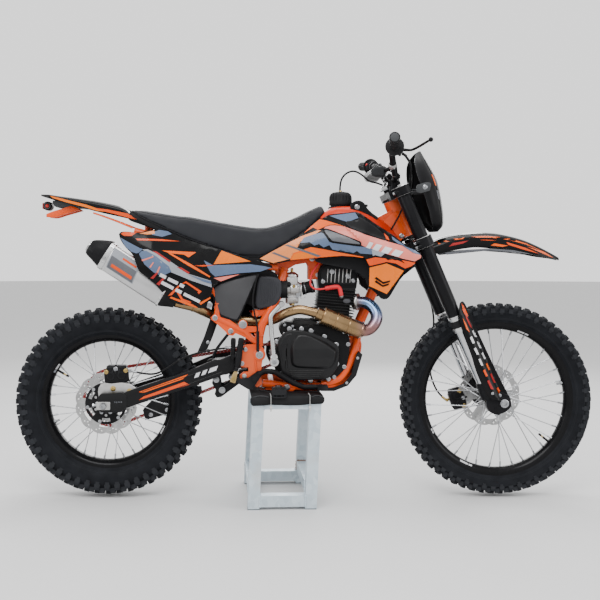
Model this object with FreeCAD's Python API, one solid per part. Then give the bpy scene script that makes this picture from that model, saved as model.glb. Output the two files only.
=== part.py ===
import FreeCAD, Part
import math
import os

os.makedirs("parts", exist_ok=True)
V = FreeCAD.Vector

# ---------------------------------------------------------------- driving dimensions (mm)
# +X front of the bike, -Y its right side, +Z up, Z = 0 the floor under the stand's feet.
REAR_AXLE = (-704.0, 344.0)
FRONT_AXLE = (696.0, 352.0)
REAR_TYRE_R = 338.0
FRONT_TYRE_R = 346.0
REAR_TYRE_W = 112.0
FRONT_TYRE_W = 86.0
REAR_RIM_R = 243.0
FRONT_RIM_R = 279.0
RAKE = 0.42                     # forward run of the fork for each mm down
LEG_X0, LEG_Z0 = 472.6, 782.5   # a point on the fork legs' centre line
LEG_Y = 105.0
STEM_BACK = 31.0                # steering axis behind the leg line, at the same height
FORK_R = 25.0
PIVOT = (-159.0, 522.0)         # swingarm pivot
STAND_TOP = 381.0
PAD_TOP = 391.0
RAIL_R = 14.0
RAIL_Z = PAD_TOP + RAIL_R
PEG_X, PEG_Z = -93.0, 404.0
BAR_HALF = 405.0


def leg_x(z):
    return LEG_X0 + (LEG_Z0 - z) * RAKE


def stem_x(z):
    return leg_x(z) - STEM_BACK


# ---------------------------------------------------------------- shape helpers
def box(x0, x1, y0, y1, z0, z1):
    return Part.makeBox(x1 - x0, y1 - y0, z1 - z0, V(x0, y0, z0))


def cyl(a, b, r):
    a, b = V(*a), V(*b)
    d = b - a
    return Part.makeCylinder(r, d.Length, a, d)


def cone(a, b, ra, rb):
    a, b = V(*a), V(*b)
    d = b - a
    return Part.makeCone(ra, rb, d.Length, a, d)


def ring(a, b, r_out, r_in):
    return cyl(a, b, r_out).cut(cyl(a, b, r_in))


def side(pts, y0, y1):
    """A closed outline in X and Z, as thick as y0 to y1."""
    w = Part.makePolygon([V(x, y0, z) for x, z in pts] + [V(pts[0][0], y0, pts[0][1])])
    return Part.Face(w).extrude(V(0, y1 - y0, 0))


def plan(pts, z0, z1):
    """A closed outline in X and Y, as tall as z0 to z1."""
    w = Part.makePolygon([V(x, y, z0) for x, y in pts] + [V(pts[0][0], pts[0][1], z0)])
    return Part.Face(w).extrude(V(0, 0, z1 - z0))


def plan_band(pts, t, z0, z1):
    """A wall that follows a line in X and Y, t thick towards the middle of the bike."""
    s = 1.0 if pts[0][1] < 0 else -1.0
    return plan(list(pts) + [(x, y + s * t) for x, y in reversed(pts)], z0, z1)


def loft(sections, ruled=True):
    wires = []
    for pts in sections:
        wires.append(Part.makePolygon([V(*p) for p in pts] + [V(*pts[0])]))
    return Part.makeLoft(wires, True, ruled)


def spin(profile, centre, axis_y=True):
    """Revolve a closed (radius, y) outline about the wheel axis through centre."""
    x, z = centre
    w = Part.makePolygon([V(x, y, z + r) for r, y in profile] + [V(x, profile[0][1], z + profile[0][0])])
    return Part.Face(w).revolve(V(x, 0, z), V(0, 1, 0), 360)


def rod(points, r, bend=None, report=None):
    """Straight runs joined by tangent arcs. bend None: each arc as large as its runs allow."""
    pts = [V(*p) for p in points]
    edges, here, radii = [], pts[0], []
    for i in range(1, len(pts) - 1):
        a, b, c = pts[i - 1], pts[i], pts[i + 1]
        u, v = (b - a), (c - b)
        lu, lv = u.Length, v.Length
        u, v = u * (1 / lu), v * (1 / lv)
        turn = math.acos(max(-1, min(1, u.dot(v))))
        if bend is None:
            rad = 0.45 * min(lu, lv) / math.tan(turn / 2)
        else:
            rad = min(bend, 0.45 * min(lu, lv) / math.tan(turn / 2))
        radii.append(rad)
        t = rad * math.tan(turn / 2)
        p1, p2 = b - u * t, b + v * t
        n = (v - u)
        n = n * (1 / n.Length)
        centre = b + n * (rad / math.cos(turn / 2))
        mid = centre - n * rad
        if (p1 - here).Length > 1e-4:
            edges.append(Part.LineSegment(here, p1).toShape())
        edges.append(Part.Arc(p1, mid, p2).toShape())
        here = p2
    edges.append(Part.LineSegment(here, pts[-1]).toShape())
    path = Part.Wire(edges)
    d = pts[1] - pts[0]
    prof = Part.Wire([Part.makeCircle(r, pts[0], d)])
    tube = path.makePipeShell([prof], True, False)
    want = math.pi * r * r * path.Length
    if report:
        print("%s: length %.0f, radii %s, volume %.4f of section x length"
              % (report, path.Length, " ".join("%.0f" % q for q in radii), tube.Volume / want))
    return tube


def join(*shapes):
    s = shapes[0]
    if len(shapes) > 1:
        s = s.fuse(list(shapes[1:]))
    try:
        s = s.removeSplitter()
    except Exception:
        pass
    return s


def mirror(s):
    return s.mirror(V(0, 0, 0), V(0, 1, 0))


def solids(s, least=0.03):
    """The solids of a shape without chips under a share of the largest one."""
    big = max(q.Volume for q in s.Solids)
    keep = [q for q in s.Solids if q.Volume > least * big]
    return keep[0] if len(keep) == 1 else Part.makeCompound(keep)


def cut(s, *tools):
    for t in tools:
        if s.BoundBox.intersect(t.BoundBox):
            s = s.cut(t)
    return s


NODE = {}

# ---------------------------------------------------------------- paddock stand
LEAN = 18.0     # the stand's top stands this much further forward than its feet
YAW = 2.6      # degrees, as it stands under the bike


def stand_frame(y0, y1):
    """One side frame of 40 mm box tube between y0 and y1."""
    outer = side([(-209, 0), (-169, 0), (-169, 10), (-13, 10), (-13, 0), (27, 0),
                  (27 + LEAN, STAND_TOP), (-209 + LEAN, STAND_TOP)], y0, y1)
    s = lambda z: LEAN * z / STAND_TOP
    hole = side([(-169 + s(48), 48), (-13 + s(48), 48), (-13 + s(343), 343), (-169 + s(343), 343)],
                y0 - 1, y1 + 1)
    return outer.cut(hole)


near = stand_frame(-190, -150)
far = stand_frame(150, 190)
s60 = LEAN * 60 / STAND_TOP
stand = join(near, far,
             box(-209 + s60, -169 + s60, -152, 152, 50, 88),
             box(-13 + s60, 27 + s60, -152, 152, 50, 88),
             box(-191, -151, -152, 152, STAND_TOP - 38, STAND_TOP),
             box(5, 45, -152, 152, STAND_TOP - 38, STAND_TOP))
stand = stand.cut(box(45, 60, -200, 200, 300, 400)).cut(box(-215, -191.5, -200, 200, STAND_TOP - 5, 400))
stand.rotate(V(-91, 0, 0), V(0, 0, 1), YAW)
NODE["paddock_stand"] = stand

pad = join(box(-196, 50, -196, 196, STAND_TOP, PAD_TOP),
           box(-196, 50, -200, -190.6, 361, PAD_TOP), box(-196, 50, 190.6, 200, 361, PAD_TOP))
pad.rotate(V(-91, 0, 0), V(0, 0, 1), YAW)
NODE["stand_pad"] = pad

# ---------------------------------------------------------------- frame
head_lo, head_hi = 938.0, 1070.0
head_tube = cyl((stem_x(head_lo), 0, head_lo), (stem_x(head_hi), 0, head_hi), 31)
backbone = loft([
    [(340, -30, 925), (340, 30, 925), (318, 30, 1035), (318, -30, 1035)],
    [(250, -32, 895), (250, 32, 895), (228, 32, 985), (228, -32, 985)],
    [(60, -30, 851), (60, 30, 851), (50, 30, 912), (50, -30, 912)],
    [(-30, -30, 836), (-30, 30, 836), (-40, 30, 886), (-40, -30, 886)],
    [(-100, -34, 795), (-100, 34, 795), (-108, 34, 852), (-108, -34, 852)]])
gusset = side([(300, 975), (352, 968), (318, 880), (262, 790), (250, 900)], -10, 10)
mount = join(box(16, 48, -30, -22, 783, 856), box(16, 48, 22, 30, 783, 856))
NODE["frame_backbone"] = join(head_tube, backbone, gusset, mount)

down = rod([(348, 0, 965), (312, 0, 880), (254, 0, 742), (182, 0, 576), (174, 0, 500)], 19, 260)
down = join(down, side([(150, 560), (205, 560), (190, 478), (150, 478)], -46, 46))
NODE["frame_down_tube"] = down

rails = []
for s in (-1, 1):
    rails.append(rod([(168, 34 * s, 486), (150, 62 * s, 424), (96, 78 * s, RAIL_Z), (-60, 78 * s, RAIL_Z),
                      (-150, 97 * s, 420)], RAIL_R, 60))
cross = join(cyl((120, -74, 412), (120, 74, 412), 11), cyl((-120, -84, 418), (-120, 84, 418), 12))
NODE["frame_cradle"] = join(rails[0], rails[1], cross)

ups = []
for s in (-1, 1):
    up = rod([(-70, 34 * s, 822), (-92, 60 * s, 730), (-110, 76 * s, 692), (-150, 92 * s, 626), (-161, 100 * s, 580),
              (-161, 100 * s, 551)], 15, 90)
    strut = side([(-184, 655), (-184, 673), (-112, 681), (-118, 657)], *sorted((70 * s, 82 * s)))
    bar = side([(-250, 612), (-238, 622), (-160, 619), (-160, 600), (-214, 598)], *sorted((94 * s, 106 * s)))
    # the pivot plates lie outside the swingarm's front ends
    plate = side([(-219, 550), (-203, 558), (-158, 558), (-143, 540), (-138, 522), (-149, 502), (-152, 478), (-156, 452),
                  (-150, 420), (-168, 408), (-186, 424), (-201, 431), (-215, 431), (-228, 441), (-228, 453), (-215, 462),
                  (-198, 463), (-198, 478), (-222, 479), (-230, 492), (-225, 520), (-223, 540)],
                 *sorted((108 * s, 122 * s)))
    ups.append(join(up, strut, bar, plate))
tie = cyl((-172, -90, 664), (-172, 90, 664), 11)
NODE["frame_uprights"] = join(ups[0], ups[1], tie)

subs = []
for s in (-1, 1):
    low = rod([(-170, 98 * s, 562), (-214, 100 * s, 600), (-309, 101 * s, 648), (-306, 100 * s, 720), (-424, 84 * s, 905)],
              11, 24)
    web = side([(-331, 652), (-321, 660), (-308, 656), (-264, 643), (-240, 626), (-178, 580), (-170, 570), (-176, 560),
                (-213, 583), (-243, 596), (-252, 587), (-270, 590), (-280, 603), (-310, 630), (-328, 643)],
               *sorted((93 * s, 109 * s)))
    top = rod([(-96, 46 * s, 826), (-190, 74 * s, 836), (-330, 82 * s, 888), (-602, 78 * s, 956)], 13, 120)
    subs.append(join(low, web, top))
loop = join(cyl((-590, -82, 953), (-590, 82, 953), 12), cyl((-400, -84, 906), (-400, 84, 906), 10),
            cyl((-560, -50, 946), (-560, -50, 990), 9), cyl((-560, 50, 946), (-560, 50, 990), 9),
            cyl((-560, -84, 946), (-560, 84, 946), 9))
NODE["subframe"] = join(subs[0], subs[1], loop)

# ---------------------------------------------------------------- engine
crank = side([(-112, 470), (-96, 560), (-40, 612), (30, 628), (150, 612), (165, 560), (150, 470), (110, 432),
              (-80, 424)], -92, 92)
crank = crank.cut(box(-140, -45, 46, 93, 400, 650))
left_cover = cyl((60, 92, 520), (60, 118, 520), 72)
out_shaft = cyl((-92, 45, 512), (-92, 72, 512), 23)
drive_cover = side([(-134, 548), (-100, 566), (-20, 575), (-20, 470), (-60, 452), (-120, 468), (-136, 500)], 84, 106)
NODE["engine_crankcase"] = join(crank, left_cover, drive_cover, out_shaft)
NODE["clutch_cover"] = side([(-96, 560), (-70, 586), (-35, 597), (33, 587), (94, 557), (108, 525), (101, 474),
                             (77, 434), (-59, 438), (-82, 483)], -126, -92)
fins = []
base = V(50, 0, 628)
lean = V(0.13, 0, 1)
barrel = side([(38, 612), (164, 608), (170, 692), (46, 692)], -52, 52)
for i in range(4):
    z = 636 + i * 14.0
    x = 101 + (z - 622) * 0.13
    fins.append(Part.makeBox(148, 132, 5, V(x - 74, -66, z)))
NODE["cylinder"] = join(barrel, *fins).cut(NODE["engine_crankcase"])
head_c = join(side([(40, 692), (178, 692), (186, 746), (48, 746)], -68, 68),
              side([(52, 745), (188, 745), (196, 800), (176, 842), (70, 845), (46, 800)], -60, 60))
NODE["cylinder_head"] = head_c

carb = join(cyl((-42, -28, 690), (-42, -28, 812), 25), cyl((-70, -28, 748), (-8, -28, 748), 30),
            box(-66, -18, -52, -4, 690, 716), cyl((-8, -28, 748), (49, -28, 762), 22))
NODE["carburettor"] = cut(carb, NODE["cylinder_head"], NODE["frame_backbone"])

cover = [(-304, 758), (-318, 741), (-318, 713), (-304, 657), (-259, 639), (-227, 643), (-178, 745), (-175, 690),
         (-129, 694), (-100, 726), (-93, 772), (-115, 793), (-153, 806), (-290, 766)]
core = side([(-300, 760), (-312, 720), (-300, 678), (-180, 690), (-129, 694), (-100, 726), (-93, 772), (-115, 793),
             (-140, 800), (-130, 830), (-190, 850), (-300, 868)], -66, 66)
air = join(core, side(cover, -108, -100), side(cover, 100, 108), box(-290, -180, -101, 101, 715, 735),
           cyl((-110, -28, 748), (-70, -28, 748), 27))
NODE["air_box"] = air

# ---------------------------------------------------------------- exhaust
ex = rod([(176, -40, 704), (236, -66, 700), (262, -96, 650), (222, -112, 600), (160, -118, 616), (40, -124, 668)],
         21, 60)
chamber = cyl((196, -115, 606), (60, -122, 660), 30)
mid = rod([(40, -124, 668), (-20, -122, 682), (-66, -110, 668), (-108, -66, 640), (-150, -53, 634), (-250, -53, 640),
           (-318, -60, 652), (-390, -120, 690), (-452, -136, 706)], 17, 70)
NODE["exhaust_header"] = cut(join(ex, chamber, mid), NODE["cylinder_head"], NODE["cylinder"], NODE["engine_crankcase"])

MA = V(-451, -136, 706)
MB = V(-742, -136, 888)


def muffler_section(t, hw, hh):
    d = MB - MA
    c = MA + d * t
    u = V(d.x, 0, d.z)
    u = u * (1 / u.Length)
    n = V(-u.z, 0, u.x)
    pts = []
    for k in range(16):
        a = 2 * math.pi * (k + 0.5) / 16
        pts.append((c.x + n.x * hh * math.sin(a), c.y + hw * math.cos(a), c.z + n.z * hh * math.sin(a)))
    return pts


NODE["muffler"] = loft([muffler_section(0.0, 22, 22), muffler_section(0.12, 40, 42), muffler_section(0.16, 44, 50),
                        muffler_section(0.86, 44, 50), muffler_section(0.93, 40, 46), muffler_section(1.0, 26, 30)])

# ---------------------------------------------------------------- foot controls
NODE["kick_starter"] = join(cyl((-108, -92, 500), (-108, -152, 500), 12),
                            rod([(-108, -146, 500), (-118, -150, 600), (-122, -152, 660), (-80, -158, 706)], 8, 30),
                            cyl((-84, -150, 702), (-84, -200, 702), 9))
NODE["brake_pedal"] = join(cyl((-176, -122, 440), (-176, -136, 440), 12),
                           side([(-248, 442), (-243, 430), (-200, 404), (-187, 403), (-173, 420), (-153, 450), (-146, 468),
                                 (-166, 466), (-198, 444), (-222, 440), (-240, 446)], -139, -126),
                           rod([(-160, -133, 456), (-142, -136, 467), (-106, -138, 464), (-40, -140, 425), (-6, -141, 412),
                                (58, -142, 412)], 9.5, 40),
                           box(40, 76, -176, -134, 404, 420))
NODE["gear_lever"] = join(cyl((-30, 92, 470), (-30, 134, 470), 10),
                          rod([(-30, 128, 470), (30, 132, 452), (92, 140, 450)], 7, 20),
                          cyl((92, 136, 450), (92, 172, 450), 9))
pegs = []
for s in (-1, 1):
    pegs.append(join(box(PEG_X - 24, PEG_X + 24, *sorted((138 * s, 215 * s)), PEG_Z - 12, PEG_Z + 12),
                     box(PEG_X - 14, PEG_X + 14, *sorted((95 * s, 140 * s)), PEG_Z - 10, PEG_Z + 10)))
NODE["footpegs"] = Part.makeCompound(pegs)

# ---------------------------------------------------------------- swingarm and rear axle
arms = []
for s in (-1, 1):
    arm = side([(-640, 322), (-584, 350), (-402, 410), (-280, 452), (-190, 486), (-130, 505), (-132, 536),
                (-190, 545), (-290, 508), (-314, 503), (-367, 483), (-409, 466), (-587, 407), (-650, 384), (-744, 372),
                (-744, 318)], *sorted((100 * s, 126 * s)))
    arms.append(arm)
cross_sa = side([(-345, 434), (-270, 454), (-262, 500), (-335, 490)], -102, 102)
# the arms' front ends are narrower and lie between the pivot plates
arms_in = [cut(a, box(-238, -120, -200, 200, 400, 600)) for a in arms]
lugs = [side([(-278, 462), (-190, 488), (-160, 502), (-144, 512), (-141, 524), (-145, 535), (-158, 542), (-190, 543),
              (-278, 505)], *sorted((91 * s, 108 * s))) for s in (-1, 1)]
NODE["swingarm"] = join(arms_in[0], arms_in[1], cross_sa, lugs[0], lugs[1])
NODE["rear_axle"] = join(cyl((REAR_AXLE[0], -134, REAR_AXLE[1]), (REAR_AXLE[0], 134, REAR_AXLE[1]), 8.5),
                         cyl((REAR_AXLE[0], -140, REAR_AXLE[1]), (REAR_AXLE[0], -126, REAR_AXLE[1]), 15),
                         cyl((REAR_AXLE[0], 126, REAR_AXLE[1]), (REAR_AXLE[0], 140, REAR_AXLE[1]), 15),
                         ring((REAR_AXLE[0], -100, REAR_AXLE[1]), (REAR_AXLE[0], -72, REAR_AXLE[1]), 16, 8.5),
                         ring((REAR_AXLE[0], 72, REAR_AXLE[1]), (REAR_AXLE[0], 100, REAR_AXLE[1]), 16, 8.5))

SHOCK_A = (-172, 0, 664)
SHOCK_B = (-216, 0, 446)
d = V(*SHOCK_B) - V(*SHOCK_A)
p = lambda t: tuple(V(*SHOCK_A) + d * t)
NODE["shock_absorber"] = join(cyl(p(0), p(0.12), 20), cyl(p(0.12), p(0.8), 31), cyl(p(0.78), p(1.0), 16),
                              box(-240, -196, -30, 30, 430, 458))
link = []
for s in (-1, 1):
    link.append(side([(-246, 424), (-230, 446), (-214, 440), (-212, 424), (-296, 362), (-312, 360), (-320, 372), (-316, 388),
                      (-330, 412), (-322, 440), (-304, 440), (-296, 396)], *sorted((31 * s, 43 * s))))
NODE["suspension_linkage"] = join(link[0], link[1], cyl((-308, -43, 374), (-308, 43, 374), 9),
                                  cyl((-226, -43, 436), (-226, 43, 436), 8))

# ---------------------------------------------------------------- chain, one fixed loop
SPROCKET_R = 96.0
FRONT_SPROCKET = (-92.0, 512.0)
FRONT_SPROCKET_R = 27.0
CHAIN_Y = 62.0


def loop_outline(grow):
    ax, az = REAR_AXLE
    bx, bz = FRONT_SPROCKET
    ra, rb = SPROCKET_R + grow, FRONT_SPROCKET_R + grow
    dx, dz = bx - ax, bz - az
    dist = math.hypot(dx, dz)
    th = math.atan2(dz, dx)
    off = math.acos((ra - rb) / dist)
    pts = []
    n = 40
    for k in range(n + 1):
        a = th + off + (2 * math.pi - 2 * off) * k / n
        pts.append((ax + ra * math.cos(a), az + ra * math.sin(a)))
    n = 12
    for k in range(n + 1):
        a = th - off + 2 * off * k / n
        pts.append((bx + rb * math.cos(a), bz + rb * math.sin(a)))
    return pts


NODE["chain"] = side(loop_outline(13), CHAIN_Y - 6, CHAIN_Y + 6).cut(side(loop_outline(3), CHAIN_Y - 7, CHAIN_Y + 7))
NODE["chain_guide"] = side([(-580, 262), (-500, 284), (-470, 330), (-452, 392), (-500, 392), (-590, 300)], 48, 98).cut(
    side([(-640, 254), (-560, 276), (-500, 297), (-470, 340), (-440, 400), (-640, 400)], 53, 77))

# ---------------------------------------------------------------- rear brake
NODE["rear_brake"] = join(side([(-712, 484), (-618, 484), (-612, 440), (-640, 410), (-700, 420)], -98, -84),
                          side([(-706, 478), (-624, 478), (-620, 444), (-700, 440)], -84, -56).cut(
                              box(-760, -560, -76.2, -64, 380, 462)),
                          side([(-680, 425), (-640, 425), (-588, 396), (-588, 372), (-640, 380), (-716, 372), (-716, 400)],
                               -98, -88),
                          cyl((-236, -140, 484), (-222, -140, 582), 11.5), cyl((-252, -139, 506), (-250, -139, 582), 8.5),
                          box(-250, -232, -145, -133, 512, 530),
                          cone((-241, -140, 462), (-236, -140, 485), 6, 6.5), box(-257, -240, -148, -132, 430, 464))

# ---------------------------------------------------------------- seat, tank and panels
def body_section(x, rows):
    """Symmetric section at x from (half width, z) rows, bottom to top."""
    right = [(x, -w, z) for w, z in rows]
    left = [(x, w, z) for w, z in reversed(rows)]
    return right + left


seat_rows = [
    # x, half width at the bottom, bottom z, half width at the top, top z
    (62, 52, 1010, 34, 1052), (20, 64, 986, 46, 1033), (-47, 76, 938, 58, 999), (-110, 86, 900, 68, 975),
    (-168, 94, 868, 74, 970), (-227, 100, 868, 80, 977), (-302, 106, 896, 88, 990), (-375, 110, 924, 92, 1003),
    (-447, 112, 947, 96, 1012), (-530, 108, 976, 94, 1025), (-590, 98, 1000, 88, 1034), (-620, 84, 1020, 76, 1038)]
NODE["seat"] = loft([body_section(x, [(wb, zb), (wb + 2, (zb + zt) / 2), (wt, zt - 6), (wt * 0.55, zt)])
                     for x, wb, zb, wt, zt in seat_rows])

tank_rows = [
    (346, 34, 915, 34, 935), (330, 46, 900, 44, 950), (300, 52, 884, 50, 972), (262, 84, 868, 72, 998), (215, 100, 866, 74, 1030),
    (165, 106, 866, 74, 1046), (110, 104, 866, 68, 1044), (66, 96, 866, 56, 1016), (20, 84, 866, 46, 975),
    (-60, 70, 862, 44, 915)]
tank = loft([body_section(x, [(wb, zb), (wb + 4, (zb + zt) / 2), (wt, zt - 14), (wt * 0.5, zt)])
             for x, wb, zb, wt, zt in tank_rows])
tank = join(tank, cyl((136, 0, 1030), (136, 0, 1104), 41))
NODE["fuel_tank"] = tank

shroud_out = [(-164, 857), (-112, 838), (-71, 848), (-19, 854), (85, 865), (154, 863), (195, 856), (216, 835),
              (223, 801), (218, 746), (279, 732), (334, 818), (382, 846), (402, 870), (362, 905), (327, 922), (292, 950),
              (258, 974), (223, 995), (189, 1012), (160, 1022), (123, 1021), (88, 1014), (60, 1010), (53, 995),
              (18, 967), (-17, 941), (-52, 921), (-87, 904), (-122, 884)]
for name, s in (("shroud_right", -1), ("shroud_left", 1)):
    line = [(-170, 108 * s), (-60, 114 * s), (60, 124 * s), (180, 142 * s), (280, 160 * s), (410, 172 * s)]
    skin = side(shroud_out, *sorted((90 * s, 180 * s))).common(plan_band(line, 5, 700, 1060))
    NODE[name] = join(skin, cyl((120, 98 * s, 930), (120, 129 * s, 930), 9), cyl((210, 90 * s, 930), (210, 144 * s, 930), 9))

panel_out = [(-647, 948), (-626, 953), (-584, 947), (-539, 938), (-504, 935), (-470, 940), (-438, 944), (-367, 922),
             (-315, 900), (-262, 880), (-227, 866), (-192, 860), (-150, 855), (-118, 838), (-170, 802), (-290, 770),
             (-325, 714), (-347, 687), (-399, 687), (-416, 684), (-450, 706), (-478, 723), (-502, 744), (-537, 785),
             (-564, 816), (-581, 858), (-606, 875), (-633, 909), (-643, 937)]
for name, s, wide in (("side_panel_right", -1, 192), ("side_panel_left", 1, 160)):
    line = [(-100, 112 * s), (-190, 116 * s), (-300, 128 * s), (-400, (wide - 22) * s), (-500, (wide - 4) * s),
            (-660, wide * s)]
    skin = side(panel_out, *sorted((100 * s, 200 * s))).common(plan_band(line, 5, 650, 1000))
    NODE[name] = join(skin, cyl((-330, 82 * s, 888), (-330, 132 * s, 888), 8))


def channel(x, z_top, z_low, w, t=5):
    """An upside-down channel section: crown, sloping shoulders and two side walls."""
    out = [(-w, z_low), (-w, z_low * 0.4 + z_top * 0.6 - 2), (-w * 0.6, z_top - 2), (0, z_top), (w * 0.6, z_top - 2),
           (w, z_low * 0.4 + z_top * 0.6 - 2), (w, z_low)]
    wi = w - t
    inn = [(wi, z_low), (wi, z_low * 0.4 + z_top * 0.6 - 2 - t), (wi * 0.6, z_top - 2 - t), (0, z_top - t),
           (-wi * 0.6, z_top - 2 - t), (-wi, z_low * 0.4 + z_top * 0.6 - 2 - t), (-wi, z_low)]
    return [(x, y, z) for y, z in out + inn]


NODE["rear_fender"] = loft([channel(-942, 1089, 1076, 52), channel(-884, 1083, 1066, 62), channel(-811, 1073, 1042, 68),
                            channel(-739, 1062, 1020, 74), channel(-666, 1047, 1002, 80), channel(-612, 1012, 990, 86),
                            channel(-560, 990, 972, 92), channel(-505, 966, 948, 96)])
NODE["tail_light"] = join(cyl((-918, -20, 1052), (-918, 20, 1052), 17), box(-905, -820, -32, 32, 1040, 1078),
                          side([(-936, 1012), (-906, 1012), (-812, 1036), (-812, 1050), (-930, 1036)], -36, 36))

skid = side([(196, 528), (204, 520), (182, 446), (152, 410), (104, 391), (56, 391), (56, 395), (102, 395.5),
             (140, 412), (168, 446), (188, 524)], -96, 96)
NODE["skid_plate"] = join(skid, side([(196, 528), (182, 446), (152, 410), (104, 391), (56, 391), (56, 420), (120, 440),
                                      (160, 500)], -100, -96),
                          side([(196, 528), (182, 446), (152, 410), (104, 391), (56, 391), (56, 420), (120, 440),
                                (160, 500)], 96, 100))

# ---------------------------------------------------------------- fork, clamps, bars
ZU, ZL = 1096.0, 915.0
up_clamp = []
for (z, h) in ((ZU, 15.0), (ZL, 17.0)):
    dn = V(RAKE, 0, -1)
    dn = dn * (1 / dn.Length)
    c = V(leg_x(z), 0, z)
    a, b = c - dn * h, c + dn * h
    block = []
    for s in (-1, 1):
        block.append(cyl((a.x, LEG_Y * s, a.z), (b.x, LEG_Y * s, b.z), 34))
    m = Part.makeBox(54, 2 * LEG_Y, 2 * h, V(-46, -LEG_Y, -h))
    m.rotate(V(0, 0, 0), V(0, 1, 0), -math.degrees(math.atan(RAKE)))
    m.translate(c)
    up_clamp.append(join(m, *block))
stem = cyl((stem_x(905), 0, 905), (stem_x(1118), 0, 1118), 14)
bar_mounts = []
for s in (-1, 1):
    bar_mounts.append(cyl((322, 40 * s, 1100), (322, 40 * s, 1148), 16))
clamps = join(up_clamp[0], up_clamp[1], stem, *bar_mounts)
legs = {}
for name, s in (("fork_leg_right", -1), ("fork_leg_left", 1)):
    y = LEG_Y * s
    top = (leg_x(1112), y, 1112)
    outer = cyl(top, (leg_x(650), y, 650), FORK_R)
    inner = cyl((leg_x(652), y, 652), (leg_x(392), y, 392), 20.5)
    foot = side([(leg_x(400) - 20, 402), (leg_x(400) + 24, 396), (FRONT_AXLE[0] + 26, 366), (FRONT_AXLE[0] + 24, 334),
                 (668, 312), (645, 322), (630, 372)], *sorted((86 * s, 124 * s)))
    lg = join(outer, inner, foot)
    lg = lg.cut(cyl((FRONT_AXLE[0], -150, FRONT_AXLE[1]), (FRONT_AXLE[0], 150, FRONT_AXLE[1]), 10))
    legs[name] = lg
clamps = cut(clamps, legs["fork_leg_right"], legs["fork_leg_left"])
NODE["triple_clamps"] = clamps
NODE.update(legs)
# the head tube is bored for the stem
NODE["frame_backbone"] = NODE["frame_backbone"].cut(cyl((stem_x(850), 0, 850), (stem_x(1150), 0, 1150), 14.3))
NODE["frame_down_tube"] = NODE["frame_down_tube"].cut(NODE["frame_backbone"]).cut(
    cyl((stem_x(850), 0, 850), (stem_x(1150), 0, 1150), 33))

guards = []
for s in (-1, 1):
    g = side([(536, 648), (520, 690), (552, 712), (602, 610), (644, 523), (682, 443), (712, 382), (690, 378),
              (640, 392), (596, 466), (574, 540), (550, 612)], *sorted((98 * s, 138 * s)))
    g = g.cut(side([(500, 720), (536, 712), (560, 640), (585, 570), (640, 440), (672, 384), (640, 350), (560, 500),
                    (500, 640)], *sorted((95 * s, 131 * s))))
    g = g.cut(cyl((leg_x(800), LEG_Y * s, 800), (leg_x(300), LEG_Y * s, 300), 26.5))
    guards.append(solids(g, 0.2))
NODE["fork_guards"] = Part.makeCompound(
    [solids(cut(g, NODE["fork_leg_right"], NODE["fork_leg_left"]), 0.2) for g in guards])

bar_route = []
for s in (-1, 1):
    bar_route.append(rod([(322, 0, 1140), (322, 88 * s, 1140), (291, 190 * s, 1216), (285, 290 * s, 1227), (266, BAR_HALF * s, 1240)],
                         11, 70))
bar = join(bar_route[0], bar_route[1],
           rod([(306, -136, 1178), (285, -112, 1168), (285, 112, 1168), (306, 136, 1178)], 7, 20))
NODE["handlebar"] = cut(bar, NODE["triple_clamps"])
NODE["bar_pad"] = cut(side([(233, 1156), (240, 1145), (284, 1145), (293, 1156), (293, 1176), (284, 1187), (244, 1187),
                            (233, 1176)], -100, 100), bar)
grips = []
for s in (-1, 1):
    def q(y):
        t = (y - 290) / (BAR_HALF - 290)
        return (285 + (266 - 285) * t, y * s, 1227 + 13 * t)
    g = join(cyl(q(290), q(404.5), 16.5), cyl(q(284), q(292), 31))
    grips.append(cut(g, bar))
NODE["grips"] = Part.makeCompound(grips)
hc = []
for s in (-1, 1):
    body = box(285, 322, *sorted((206 * s, 262 * s)), 1208, 1246)
    lever = rod([(316, 232 * s, 1222), (346, 262 * s, 1216), (366, 300 * s, 1224), (384, 396 * s, 1234)], 6, 30)
    hc.append(cut(join(body, lever, cyl((384, 396 * s, 1234), (384.5, 399 * s, 1234.3), 9)), bar))
NODE["hand_controls"] = Part.makeCompound([solids(h) for h in hc])


def fender_section(x, z_top, z_low, w):
    return channel(x, z_top, z_low, w, 4)


NODE["front_fender"] = loft([fender_section(452, 912, 872, 62), fender_section(482, 931, 872, 64),
                             fender_section(566, 949, 892, 64), fender_section(633, 954, 902, 62),
                             fender_section(722, 947, 893, 58), fender_section(790, 930, 880, 50),
                             fender_section(847, 906, 866, 40), fender_section(900, 878, 860, 24),
                             fender_section(928, 863, 848, 12)])
NODE["front_fender"] = cut(NODE["front_fender"], NODE["triple_clamps"], NODE["fork_leg_right"], NODE["fork_leg_left"])
NODE["front_fender"] = solids(NODE["front_fender"], 0.05)



def crescent(z, front, rear, w, t=4):
    """A closed crescent in X and Y at height z, open towards the back."""
    n = 10
    out, inn = [], []
    for k in range(n + 1):
        a = math.pi * (k / n - 0.5)
        out.append((rear + (front - rear) * max(0.0, math.cos(a)) ** 0.8, w * math.sin(a), z))
        inn.append((rear + (front - t - rear) * max(0.0, math.cos(a)) ** 0.8, (w - t) * math.sin(a), z))
    return out + inn[::-1]


shell = loft([crescent(1249, 426, 402, 26), crescent(1205, 448, 385, 88), crescent(1150, 477, 396, 106),
              crescent(1100, 491, 414, 108), crescent(1035, 502, 436, 100), crescent(975, 504, 456, 70),
              crescent(956, 488, 464, 34)])
shell = cut(shell, NODE["fork_leg_right"], NODE["fork_leg_left"])
NODE["number_plate"] = cut(join(solids(shell, 0.2), box(352, 489, -9, 9, 1092, 1110), box(352, 372, -60, 60, 1092, 1110)),
                           NODE["triple_clamps"], NODE["fork_leg_right"], NODE["fork_leg_left"])

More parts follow.
